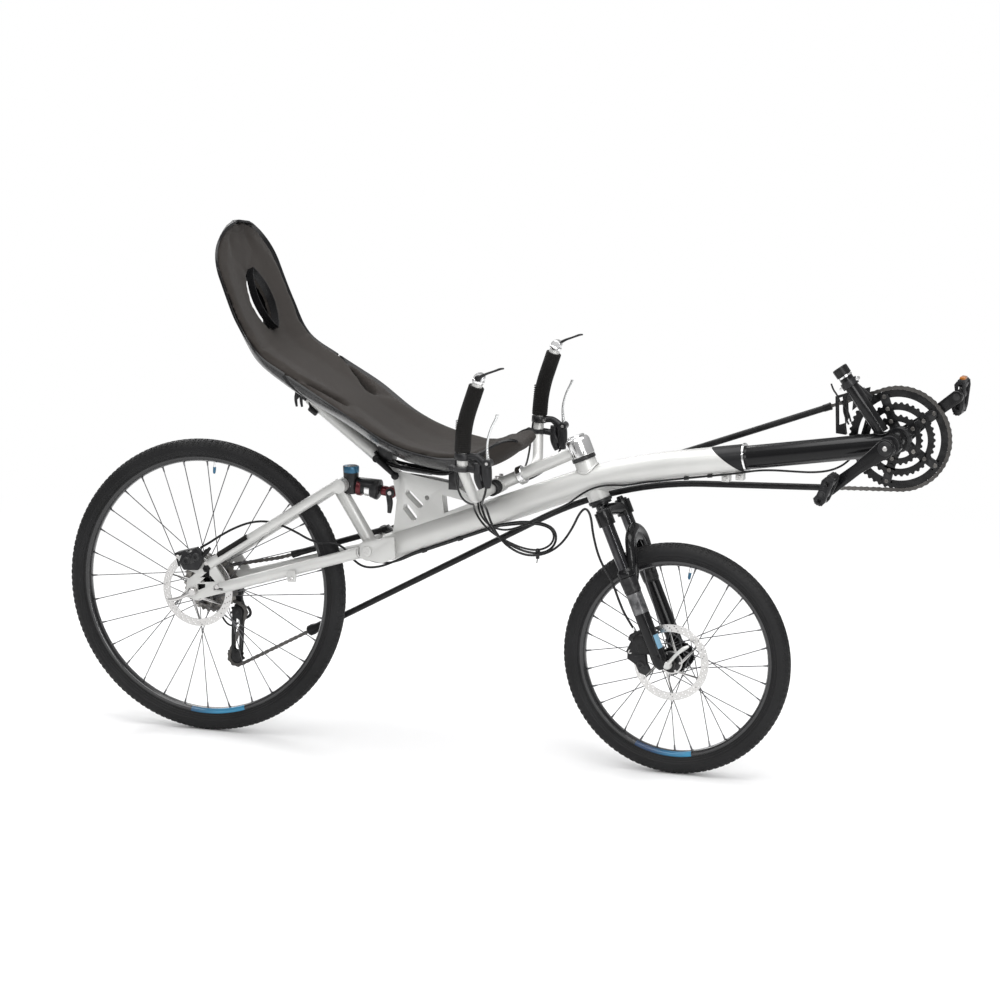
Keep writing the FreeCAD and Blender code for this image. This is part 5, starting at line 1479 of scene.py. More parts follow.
    def build(self) -> None:
        """Build the whole crankset."""
        self.build_rings()
        self.build_arm(1, "left_crank_arm")
        self.build_arm(-1, "right_crank_arm")
        self.build_spindles()
        self.build_pedal(1, Body.LEFT_PEDAL, "left_pedal")
        self.build_pedal(-1, Body.RIGHT_PEDAL, "right_pedal")


# ---- sprockets and derailleurs --------------------------------------------------------------------
@dataclass
class Gears:
    """The cassette and both derailleurs."""

    cogs: tuple = ((24.5, 58.2, 12), (28.5, 54.0, 14), (33.0, 49.8, 16), (37.0, 45.6, 18), (41.0, 41.4, 20),
                   (46.0, 37.2, 23), (52.0, 33.0, 26), (58.0, 28.8, 29), (65.0, 24.6, 32))
    guide: Vector = field(default_factory=lambda: at(50.0, 0.0, 254.0))
    tension: Vector = field(default_factory=lambda: at(47.0, 0.0, 153.0))

    def build_cassette(self) -> None:
        """Nine toothed sprockets, pierced where they are large, with spacers and a lock ring."""
        parts = []
        for index, (pitch_r, y, teeth) in enumerate(self.cogs):
            bore = 15.0 if pitch_r < 40 else pitch_r - 15.0
            parts.append(sprocket("cog", teeth, pitch_r, bore, 1.9, REAR_HUB, y, index * 7.0))
            if pitch_r >= 40:
                arm = sheet_cut("web", REAR_HUB, [(14, -4.6), (pitch_r - 13.5, -3.4), (pitch_r - 13.5, 3.4), (14, 4.6)],
                                y - 0.9, y + 0.9, index * 11.0)
                parts.append(ring_of(arm, 6, REAR_HUB))
        core = turned("core", [(23.6, 13.05), (23.6, 17.6), (59.2, 17.6), (59.2, 13.05)], REAR_HUB, Y, 48, closed=True)
        lock = turned("lock_ring", [(59.2, 13.05), (59.2, 17.2), (60.8, 16.6), (61.2, 15.6), (61.2, 13.6)], REAR_HUB, Y,
                      48, closed=True)
        dress(join("cassette_toothed", parts + [core, lock]), CHAIN_STEEL, Body.REAR_WHEEL, ("rear_cassette",))

    def build_rear(self) -> None:
        """Rear derailleur: hanger bolt, link body, knuckles, slotted cage and two toothed pulleys."""
        guide, tension = self.guide, self.tension
        parts = []
        reach = (tension - guide).length / MM
        turn = math.degrees(math.atan2(tension.z - guide.z, tension.x - guide.x))
        for y0, y1 in ((47.5, 49.2), (59.0, 60.8)):
            cage = sheet_cut("cage", guide, link_shape(reach, 12.0, 11.0, 12.6, 8), y0, y1, turn)
            slot = sheet_cut("slot", guide, link_shape(reach - 42.0, 6.4, 6.0, 6.2), y0 - 2, y1 + 2, turn)
            slot.location = (tension - guide).normalized() * (21.0 * MM)
            take(slot)
            settle("slot")
            parts.append(soften(carve(cage, slot), 0.5 * MM))
        for centre in (guide, tension):
            parts.append(bar("pulley_bolt", centre + Y * 0.0470, centre + Y * 0.0622, 3.4 * MM, sides=20))
        hanger = at(40.0, 0.0, 294.0)
        knuckle = turned("p_knuckle", [(60.8, 0), (60.8, 12.5), (62.5, 13.5), (70.0, 13.5), (72.5, 11.8), (73.2, 8.0),
                                       (73.2, 0)], guide, Y, 40)
        parts.append(knuckle)
        link = sheet_cut("link", guide, link_shape((hanger - guide).length / MM, 11.0, 11.0, 8.2, 8), 66.0, 78.0,
                         math.degrees(math.atan2(hanger.z - guide.z, hanger.x - guide.x)))
        parts.append(soften(link, 2.6 * MM, 3))
        outer = sheet_cut("outer_link", guide, link_shape((hanger - guide).length / MM - 4.0, 7.4, 7.4, 6.0, 8), 78.0,
                          81.0,
                          math.degrees(math.atan2(hanger.z - guide.z, hanger.x - guide.x)))
        parts.append(soften(outer, 1.0 * MM, 2))
        upper = turned("b_knuckle", [(73.5, 0), (73.5, 12.0), (75.0, 13.0), (84.0, 13.0), (86.0, 11.6), (87.0, 8.0),
                                     (87.0, 4.0), (85.6, 3.4), (85.6, 0)], hanger, Y, 40)
        parts.append(upper)
        parts.append(bent_rod("cable_arm", [at(62, 76, 262), at(70, 78, 252), at(66, 80, 238), at(52, 78, 233)],
                              [3.2 * MM] * 4, sides=3))
        parts.append(bent_rod("cage_finger", [at(47, 60, 153), at(40, 60, 160), at(31, 60, 164), at(24, 58, 163)],
                              [2.4 * MM] * 4, sides=3))
        dress(join("rear_derailleur_shown", parts), SATIN, Body.FRAME, ("rear_derailleur",))
        pulleys = []
        for centre in (guide, tension):
            pulleys.append(sprocket("pulley", 9, 18.57, 5.0, 2.2, centre, 54.0, 8.0, 3.4))
            pulleys.append(turned("pulley_hub", [(50.0, 3.5), (50.0, 7.5), (58.0, 7.5), (58.0, 3.5)], centre, Y, 24,
                                  closed=True))
        dress(join("derailleur_pulleys", pulleys), PLASTIC, Body.FRAME)

    def build_front(self) -> None:
        """Front derailleur: bright clamp ring with bolts, black post cap, body, link arms and a cage."""
        low, high = at(1479, 0, 748), at(1387, 0, 873)
        along = (high - low).normalized()
        seat = low + along * 0.112
        band = turned("front_clamp", [(1, 14.4), (1, 16.6), (2.0, 17.4), (12.0, 17.4), (13.0, 16.6), (13.0, 14.4)],
                      seat,
                      along, 48, closed=True)
        ears = [slab("ear", seat + along * 0.007 + along.cross(Y) * (s * 0.019), (0.007, 0.012, 0.007),
                     -53.0) for s in (-1, 1)]
        bolts = [bar("clamp_bolt", seat + along * 0.007 + along.cross(Y) * (s * 0.021) - Y * 0.008,
                     seat + along * 0.007 + along.cross(Y) * (s * 0.021) + Y * 0.008, 2.4 * MM, sides=14)
                 for s in (-1, 1)]
        dress(join("front_derailleur_clamp", [band] + [soften(e, 1.0 * MM) for e in ears] + bolts), POLISHED,
              Body.FRAME)
        cage = traced("front_derailleur")
        for window in ([(-129, 76), (-119, 80), (-112, 26), (-127, 20)],
                       [(-110, 74), (-97, 72), (-99, 36), (-107, 32)]):
            carve(cage, sheet_cut("window", CRANK, window, 40.0, 70.0))
        soften(cage, 0.5 * MM)
        wires = [bent_rod("hook", [about(CRANK, 0, x * MM) + Vector((0, 0.046, z * MM)) for x, z in line],
                          [1.9 * MM] * 4,
                          sides=3) for line in ([(-143, 106), (-139, 94), (-130, 84), (-124, 70)],
                                                [(-122, 70), (-112, 60), (-104, 46), (-100, 30)],
                                                [(-112, 82), (-117, 62), (-113, 40), (-104, 24)])]
        cage = join("front_cage", [cage] + wires)
        dress(cage, SATIN, Body.FRAME, ("front_derailleur",))
        post = traced("derailleur_post")
        dress(soften(post, 0.8 * MM), BLACK, Body.FRAME, ("derailleur_post",))
        cap = turned("post_cap", [(-16, 14.4), (-16, 16.2), (0.5, 16.4), (2.0, 15.0), (2.6, 12.0), (2.6, 0), (0.0, 0),
                                  (0.0, 14.4)], high, along, 40)
        dress(cap, PLASTIC, Body.FRAME)
        sliver = turned("post_ring", [(-21, 14.35), (-21, 15.6), (-17.5, 15.6), (-17.5, 14.35)], high, along, 40,
                        closed=True)
        dress(sliver, POLISHED, Body.FRAME)

    def build(self) -> None:
        """Build the gears."""
        self.build_cassette()
        self.build_rear()
        self.build_front()


# ---- steering -------------------------------------------------------------------------------------
@dataclass
class Fork:
    """Suspension fork: crown, stanchions, lowers with arch, seals, and its disc caliper and skewer."""

    leg_half: float = 66.0
    leg_ahead: float = 19.0
    crown_top: float = -56.0
    lower_top: float = -205.0
    stanchion_r: float = 13.0

    def leg(self, along: float, side: int) -> Vector:
        """A point on a leg's centre line."""
        return steer(along, self.leg_ahead, side * self.leg_half)

    def build_crown(self) -> None:
        """Steerer and arched crown with pinch sleeves and leg caps."""
        crown = traced("fork_crown")
        soften(crown, 1.6 * MM, 3, 30)
        dress(crown, BLACK, Body.STEERING, ("fork_crown",), 40)
        caps = []
        for side in (-1, 1):
            top = self.leg(self.crown_top - 10.0, side)
            caps.append(turned("cap", [(0, 0), (0, 13.2), (3.0, 13.2), (4.2, 12.0), (4.2, 7.4), (9.0, 6.8), (10.2, 5.6),
                                       (10.2, 0)], top, STEER_UP, 32))
        dress(join("fork_leg_caps", caps), SATIN, Body.STEERING)

    def build_legs(self) -> None:
        """Polished black stanchions, wiper seals, lower legs with arch, lugs and the caliper's tab."""
        stanchions = [bar("stanchion", self.leg(self.lower_top - 60, side), self.leg(self.crown_top - 6.5, side),
                          self.stanchion_r * MM, sides=48) for side in (-1, 1)]
        finish = Finish("stanchion_black", "black_metal", (0.035, 0.035, 0.038), 0.12, 0.9, 0.2, 400.0, 0.01, 0.05, 0.1,
                        (0.2, 0.2, 0.2), 0.0)
        dress(join("fork_stanchions_shown", stanchions), finish, Body.STEERING, ("fork_stanchions",))
        lowers = trimmed(traced("fork_lowers"), steer(self.lower_top), STEER_UP)
        soften(lowers, 1.4 * MM, 3, 32)
        sleeves = []
        for side in (-1, 1):
            sleeves.append(turned("sleeve", [(-6, 15.9), (-5, 17.4), (-2, 18.4), (6, 18.4), (8, 17.0), (10.5, 15.4),
                                             (12.5, 14.2), (12.5, 13.05), (-6, 13.05)], self.leg(self.lower_top, side),
                                  STEER_UP, 40, closed=True))
            sleeves.append(turned("lower_collar", [(-42, 15.9), (-40, 17.0), (-20, 17.2), (-17, 15.9)],
                                  self.leg(self.lower_top, side), STEER_UP, 40, closed=True))
            sleeves.append(turned("foot", [(-8, 0), (-8, 8.0), (-6, 10.0), (4, 15.6), (20, 16.3), (26, 15.9), (26, 0)],
                                  self.leg(-406.5, side), STEER_UP, 40))
        for side in (-1, 1):
            sleeves.append(bent_rod("arch", [self.leg(self.lower_top - 18, side),
                                             steer(self.lower_top + 6, 33, side * 63),
                                             steer(self.lower_top + 42, 42, side * 57),
                                             steer(self.lower_top + 72, 46, side * 38),
                                             steer(self.lower_top + 81, 47, 0)],
                                    [9 * MM, 11 * MM, 9.6 * MM, 11 * MM, 12.5 * MM], sides=4))
            sleeves.append(bent_rod("rib", [self.leg(self.lower_top - 40, side),
                                            steer(self.lower_top - 12, 36, side * 56),
                                            steer(self.lower_top + 24, 42, side * 46),
                                            steer(self.lower_top + 60, 46, side * 22)],
                                    [5 * MM, 6 * MM, 5 * MM, 5 * MM], sides=3))
        top = self.lower_top
        edge = [(16, 60), (42, 57), (72, 38), (81, 0), (72, -38), (42, -57), (16, -60), (30, -46), (48, -31), (55, 0),
                (48, 31), (30, 46)]
        web = cut_plate("brace", [steer(top + a, 30 + a * 0.2, s) for a, s in edge], STEER_AHEAD * 0.009)
        sleeves.append(soften(web, 1.6 * MM))
        lowers = join("fork_lowers_shown", [lowers] + sleeves)
        dress(lowers, BLACK, Body.STEERING, ("fork_lowers",), 40)
        wings = []
        for side in (-1, 1):
            wings.append(turned("guard", [(-38.4, 16.0), (-37, 17.6), (-8, 18.7), (-6.4, 18.4), (-6.4, 16.0)],
                                self.leg(self.lower_top, side), STEER_UP, 40, closed=True))
        # Painted sheen: a dark grey band on the near leg's lower stands in for the grey sheen seen there; the far leg,
        # in shade, gets none.
        grey = Finish("fork_painted_sheen", "silver", (0.055, 0.055, 0.058), 0.32, 0.5, 0.2, 600.0, 0.04, 0.1, 0.2)
        dress(join("fork_upper_guards", wings), SATIN, Body.STEERING)
        band = turned("fork_grey_panels", [(-86, 15.9), (-86, 16.4), (-40, 16.4), (-40, 15.9)],
                      self.leg(self.lower_top, -1), STEER_UP, 48, closed=True)
        dress(band, grey, Body.STEERING)
        accent = turned("fork_blue_accent", [(-166, 15.9), (-166, 16.5), (-136, 16.5), (-136, 15.9)],
                        self.leg(self.lower_top, -1), STEER_UP, 48, closed=True)
        trimmed(accent, self.leg(self.lower_top, -1) + STEER_AHEAD * 0.0105, -STEER_AHEAD)
        blue = Finish("fork_blue", "polished", (0.20, 0.38, 0.52), 0.35, 0.3, 0.1, 500.0, 0.03)
        dress(accent, blue, Body.STEERING)

    def build_skewer(self) -> None:
        """Front axle, cam head with a silver lever, and the nut on the left."""
        dress(skewer("front_skewer", FRONT_HUB, 50.0, 12.0, 52.0), SILVER, Body.STEERING, ("front_axle",))

    def build(self) -> None:
        """Build the fork."""
        self.build_crown()
        self.build_legs()
        self.build_skewer()
        Caliper("front", Body.STEERING, FRONT_HUB, -39.5, "front_brake_caliper", -46.0,
                ((970, 300), (984, 308), (993, 297), (996, 280), (1006, 264), (1009, 242), (1016, 228), (1007, 216),
                 (992, 221), (984, 238), (966, 249), (966, 262), (979, 268), (977, 284), (967, 289)),
                ((983, 294), (996, 238))).build()


def trimmed(obj: bpy.types.Object, spot: Vector, normal: Vector) -> bpy.types.Object:
    """Cut away what lies past a plane and close the cut.

    Args:
        obj: The piece to cut.
        spot: A point on the plane, in metres.
        normal: The direction of what is cut away.

    Returns:
        The same piece.
    """
    take(obj)
    bpy.ops.object.mode_set(mode="EDIT")
    bpy.ops.mesh.select_all(action="SELECT")
    bpy.ops.mesh.bisect(plane_co=spot, plane_no=normal, use_fill=True, clear_outer=True)
    bpy.ops.object.mode_set(mode="OBJECT")
    return obj


def skewer(name: str, hub: Vector, half: float, lug: float, turn: float) -> bpy.types.Object:
    """A quick-release: axle, knurled nut on the left, cam and curved lever on the right.

    Args:
        name: The piece's name.
        hub: The middle of the hub, in metres.
        half: Half the width between the dropouts, in millimetres.
        lug: How thick a dropout is, in millimetres.
        turn: The lever's turn, in degrees.

    Returns:
        The quick-release as one piece.
    """
    end = half + lug
    axle = turned("axle", [(-end, 0), (-end, 4.9), (end, 4.9), (end, 0)], hub, Y, 24)
    nut = turned("nut", [(end, 0), (end, 8.8), (end + 1.4, 9.2), (end + 9, 9.2), (end + 11, 7.0), (end + 12, 6.2),
                         (end + 12, 0)], hub, Y, 8)
    cam = turned("cam", [(end, 0), (end, 8.0), (end + 1.2, 9.0), (end + 6, 9.0), (end + 6, 8.0), (end + 12.5, 8.0),
                         (end + 14, 6.6), (end + 14, 0)], hub, -Y, 32)
    foot = hub - Y * ((end + 9) * MM)
    lever = bent_rod("lever", [foot, about(foot, turn, 0.012, -0.002), about(foot, turn, 0.034, -0.003),
                               about(foot, turn - 5, 0.056, 0.003), about(foot, turn - 8, 0.062, 0.005)],
                     [5.0 * MM, 4.0 * MM, 3.6 * MM, 4.8 * MM, 2.4 * MM], sides=4)
    return join(name, [axle, nut, cam, lever])


@dataclass
class Caliper:
    """A disc brake caliper on its carrier plate, with pads and bolts."""

    name: str
    body: Body
    hub: Vector
    rotor_y: float
    node: str
    face_y: float
    outline: tuple
    bosses: tuple

    def fins(self) -> list[bpy.types.Object]:
        """The lobed outer body: a cut plate with a boss at each corner and three cooling ribs.

        Returns:
            The pieces of the body.
        """
        spot = Y * (self.face_y * MM)
        body = cut_plate("lobed", [at(x, 0, z) + spot for x, z in self.outline], -Y * 0.012)
        parts = [soften(body, 2.0 * MM, 3)]
        for x, z in self.bosses:
            parts.append(turned("boss", [(-2, 0), (-2, 8.2), (0, 9.0), (13, 9.0), (15, 7.4), (15, 4.0), (13.4, 3.6),
                                         (13.4, 0)], at(x, 0, z) + spot, -Y, 28))
        first, last = at(self.bosses[0][0], 0, self.bosses[0][1]), at(self.bosses[1][0], 0, self.bosses[1][1])
        across = (last - first).cross(Y).normalized() * 0.010
        for t in (0.36, 0.5, 0.64):
            rib = first.lerp(last, t) + spot - Y * 0.012
            parts.append(bar("fin", rib - across, rib + across, 1.8 * MM, sides=12))
        return parts

    def build(self) -> None:
        """Refine the block, then add two piston caps, the lobed body and bolts."""
        low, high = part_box(self.node)
        centre = (low + high) / 2
        block = traced(self.node)
        soften(block, 2.2 * MM, 3, 30)
        face = low.y
        out = (Vector((centre.x, 0, centre.z)) - Vector((self.hub.x, 0, self.hub.z))).normalized()
        along = out.cross(Y)
        parts = [block]
        for y0, direction in ((face, -1), (high.y, 1)):
            parts.append(turned("piston_cap", [(-1, 0), (-1, 11.5), (1.6, 11.5), (2.4, 10.4), (2.4, 6.0), (1.8, 5.4),
                                               (1.8, 0)], Vector((centre.x, y0, centre.z)) - out * 0.002,
                                Y * direction, 32))
        parts += self.fins()
        dress(join(self.node + "_shown", parts), SATIN, self.body, (self.node,), 36)
        bolts = []
        for sign in (-1, 1):
            spot = Vector((centre.x, face, centre.z)) + along * (sign * 0.018) + out * 0.006
            bolts.append(turned("bolt", [(0, 0), (0, 4.4), (3.4, 4.4), (4.0, 3.8), (4.0, 2.2), (1.6, 2.0), (1.6, 0)],
                                spot,
                                -Y, 16))
        dress(join(self.node + "_bolts", bolts), STEEL, self.body)


@dataclass
class Cockpit:
    """Stem, handlebar, foam grips, brake levers and bar-end shifters."""

    bar_x: float = 663.0
    bar_z: float = 585.0

    def side_points(self, side: int) -> list[Vector]:
        """One half of the handlebar's centre line, middle to top."""
        places = ((0, 0, 0), (0, 60, 0), (17, 208, 7), (4, 250, 77), (9, 254, 167), (39, 254, 257))
        return [at(self.bar_x + x, side * y, self.bar_z + z) for x, y, z in places]

    def build_stem(self) -> None:
        """The long stem with a split clamp round the steerer, its splits drawn as dark bars of painted shade, bolts, a
        slot and a black knob behind.
        """
        stem = traced("stem")
        slot = sheet_cut("split", at(self.bar_x, 0, self.bar_z), [(-24, -0.8), (0, -0.8), (0, 0.8), (-24, 0.8)], -30,
                         30,
                         -16.0)
        carve(stem, slot)
        soften(stem, 1.2 * MM, 3, 32)
        dress(stem, SILVER, Body.STEERING, ("stem",), 40)
        ring = turned("steerer_clamp", [(52.0, 14.5), (52.0, 24.6), (53.6, 26.0), (84, 26.0), (89, 24.4), (92.0, 21.6),
                                        (92.4, 20.2), (92.4, 14.5)], STEER_AT, STEER_UP, 64, closed=True)
        # Painted shade: thin dark bars on the clamp ring stand in for its slots, which are not cut.
        slot_shade_bars = [bar("seam", steer(55.0, ahead, side * math.sqrt(25.6 ** 2 - ahead ** 2)),
                     steer(90.0, ahead, side * math.sqrt(23.2 ** 2 - ahead ** 2)), 1.5 * MM, sides=12)
                 for ahead in (-9.0, 12.0) for side in (-1, 1)]
        dress(join("steerer_clamp_seams", slot_shade_bars), PLASTIC, Body.STEERING)
        cap = turned("top_cap", [(92.6, 0), (92.6, 18.6), (95.4, 19.0), (97.4, 16.6), (97.8, 6.0), (96.4, 5.4),
                                 (96.4, 2.8), (94.6, 2.6), (94.6, 0)], STEER_AT, STEER_UP, 48)
        dress(join("steerer_clamp", [ring, cap]), POLISHED, Body.STEERING)
        seal = turned("stem_seal", [(51.3, 14.5), (51.3, 24.6), (52.0, 25.4), (53.0, 24.0), (53.0, 14.5)],
                      STEER_AT, STEER_UP, 64, closed=True)
        dress(seal, PLASTIC, Body.STEERING)
        back = at(self.bar_x, 0, self.bar_z)
        tube_dir = (back - steer(67)).normalized()
        ribs = [(-54.0, 11.05), (-54.0, 14.0)]
        for k in range(7):
            ribs += [(-53.0 + k * 4.2, 15.4), (-51.6 + k * 4.2, 15.4), (-50.8 + k * 4.2, 14.0)]
        knob = turned("stem_ribbed_sleeve", ribs + [(-23.0, 14.0), (-23.0, 11.05)], back + Vector((0.0015, 0, 0)), Y,
                      40,
                      closed=True)
        dress(knob, PLASTIC, Body.STEERING)
        collar = turned("stem_collar", [(-62, 14.0), (-62, 18.6), (-60.6, 19.8), (-50, 19.8), (-48.6, 18.6),
                                        (-48.6, 14.0)],
                        back, tube_dir, 40, closed=True)
        dress(collar, POLISHED, Body.STEERING)
        bolts = []
        for y in (-14.0, 14.0):
            spot = back + Vector((0.0, y * MM, 0.0165))
            bolts.append(turned("bolt", [(-1, 0), (-1, 4.6), (3.6, 4.6), (4.2, 4.0), (4.2, 2.4), (2.0, 2.2),
                                         (2.0, 0)], spot,
                                Z, 16))
        dress(join("stem_bolts", bolts), STEEL, Body.STEERING)

    def build_bar(self) -> None:
        """The bent bar and its foam grips with end rings."""
        tube = traced("handlebar")
        dress(soften(tube, 0.4 * MM), SILVER, Body.STEERING, ("handlebar",), 50)
        grips = traced("bar_grips")
        rings = []
        for side in (-1, 1):
            low, bend = self.side_points(side)[3:5]
            up = (bend - low).normalized()
            for k in range(1, 14):
                spot = low + up * ((37.0 + k * 4.6) * MM)
                rings.append(turned("ridge", [(-0.9, 16.3), (0.0, 17.0), (0.9, 16.3), (0.0, 15.6)], spot, up, 32,
                                    closed=True))
        dress(join("bar_grips_shown", [soften(grips, 2.0 * MM, 3)] + rings), GRIP, Body.STEERING, ("bar_grips",), 50)

    def build_shifters(self) -> None:
        """A silver pod in each bar end with a drum, a bolt and a thin black thumb lever."""
        pods, levers = [], []
        for side in (-1, 1):
            bend, foot = self.side_points(side)[4:]
            up = (foot - bend).normalized()
            centre = foot + up * 0.008
            pods.append(turned("plug", [(-2, 0), (-2, 12.2), (0, 13.0), (3, 13.0), (5, 11.0), (5, 0)], foot, up, 32))
            pods.append(turned("drum", [(-9.5, 0), (-9.5, 9.0), (-8.5, 10.4), (-3.5, 10.9), (3.5, 10.9), (8.5, 10.4),
                                        (9.5, 9.0), (9.5, 5.6), (8.4, 5.0), (8.4, 0)], centre, Y, 40))
            levers.append(turned("hub_disc", [(9.6, 0), (9.6, 6.6), (12.0, 6.6), (13.2, 5.6), (13.2, 2.6), (12.0, 2.2),
                                              (12.0, 0)], centre, Y * side, 28))
            tip = foot + up * 0.018 + Vector((0.046, side * 0.010, 0.014))
            start = centre + Y * (side * 0.0120)
            levers.append(bent_rod("blade", [start, start + (tip - start) * 0.25 + Z * 0.003,
                                             start + (tip - start) * 0.7 + Z * 0.0005, tip, tip + X * 0.006],
                                   [4.2 * MM, 2.7 * MM, 2.2 * MM, 2.6 * MM, 1.6 * MM], sides=3))
        dress(join("bar_end_shifters_shown", pods), POLISHED, Body.STEERING, ("bar_end_shifters",))
        dress(join("shifter_levers", levers), SATIN, Body.STEERING)

    def build_brakes(self) -> None:
        """Hinged clamps with reservoirs that hang down in front, and pale curved blades."""
        black, pale, steel = [], [], []
        for side in (-1, 1):
            low, bend = self.side_points(side)[3:5]
            up = (bend - low).normalized()
            foot = low + up * 0.025
            black.append(turned("clamp", [(-7, 11.05), (-7, 15.6), (-6, 16.4), (6, 16.4), (7, 15.6), (7, 11.05)],
                                foot, up,
                                48, closed=True))
            second = foot - up * 0.026
            black.append(turned("clamp", [(-5, 11.05), (-5, 16.0), (-3.6, 17.4), (3.6, 17.4), (5, 16.0), (5, 11.05)],
                                second,
                                up, 40, closed=True))
            black.append(soften(slab("clamp_ear", second - X * 0.019, (0.014, 0.016, 0.009), -12.0), 1.4 * MM))
            nose = at(self.bar_x + 59, 0, self.bar_z + 83) + Y * foot.y
            black.append(bent_rod("pod_arm", [second + X * 0.012, second + X * 0.026 - Z * 0.001,
                                              second + X * 0.036 - Z * 0.004,
                                              nose - X * 0.012 - Z * 0.030], [7.0 * MM] * 4, sides=4))
            pod = [nose + Vector(p) for p in ((-0.020, 0, 0.006), (-0.021, 0, -0.016), (-0.018, 0, -0.034),
                                              (-0.012, 0, -0.046))]
            black.append(bent_rod("pod", pod, [8.0 * MM, 9.0 * MM, 8.0 * MM, 6.0 * MM], sides=4))
            black.append(bent_rod("neck", [foot + X * 0.010, foot + X * 0.022 + Z * 0.001, foot + X * 0.034, nose],
                                  [8.5 * MM, 6.5 * MM, 7.5 * MM, 10.0 * MM], sides=4))
            top, bottom = nose + Vector((-0.003, 0, 0.012)), nose + Vector((0.001, 0, -0.044))
            black.append(turned("reservoir", [(0, 0), (0, 8.0), (2, 10.6), (20, 11.2), (38, 10.4), (50, 8.0), (56, 5.6),
                                              (56, 0)], top, bottom - top, 32))
            black.append(turned("hinge_boss", [(-11, 0), (-11, 6.8), (-9.5, 8.4), (9.5, 8.4), (11, 6.8), (11, 0)],
                                nose + Vector((0.002, 0, 0.008)), Y, 28))
            steel.append(bar("hinge_pin", nose + Vector((0.002, -0.0125, 0.008)), nose + Vector((0.002, 0.0125, 0.008)),
                             3.2 * MM, sides=16))
            spot = foot + X * 0.0158 - Y * (side * 0.009)
            steel.append(turned("clamp_bolt", [(-9, 0), (-9, 3.2), (8, 3.2), (8.6, 2.6), (8.6, 0)], spot, Y, 14))
            hinge = nose + Vector((0.002, 0, 0.008))
            tip = at(self.bar_x + 79, side * 250.0, self.bar_z + 191)
            line = tip - hinge
            bow = Vector((-line.z, 0, line.x)).normalized()
            marks = [hinge, hinge + line * 0.18 + bow * 0.006, hinge + line * 0.42 + bow * 0.011,
                     hinge + line * 0.72 + bow * 0.008, tip - line * 0.05, tip]
            blade = bent_rod("blade", marks, [4.2 * MM, 3.0 * MM, 2.5 * MM, 2.3 * MM, 2.6 * MM, 3.4 * MM], sides=4)
            pale.append(blade)
            black.append(turned("hose_nut", [(0, 0), (0, 4.6), (2, 5.0), (9, 5.0), (13, 3.4), (15.0, 3.0), (15.0, 0)],
                                nose + Vector((-0.003, 0, -0.0005)), Vector((0, 0, -1)), 20))
        dress(join("brake_levers_shown", black), SATIN, Body.STEERING, ("brake_levers",), 40)
        dress(join("brake_lever_blades", pale), PALE, Body.STEERING, (), 50)
        dress(join("brake_lever_pins", steel), STEEL, Body.STEERING)

    def build(self) -> None:
        """Build the cockpit."""
        self.build_stem()
        self.build_bar()
        self.build_shifters()
        self.build_brakes()


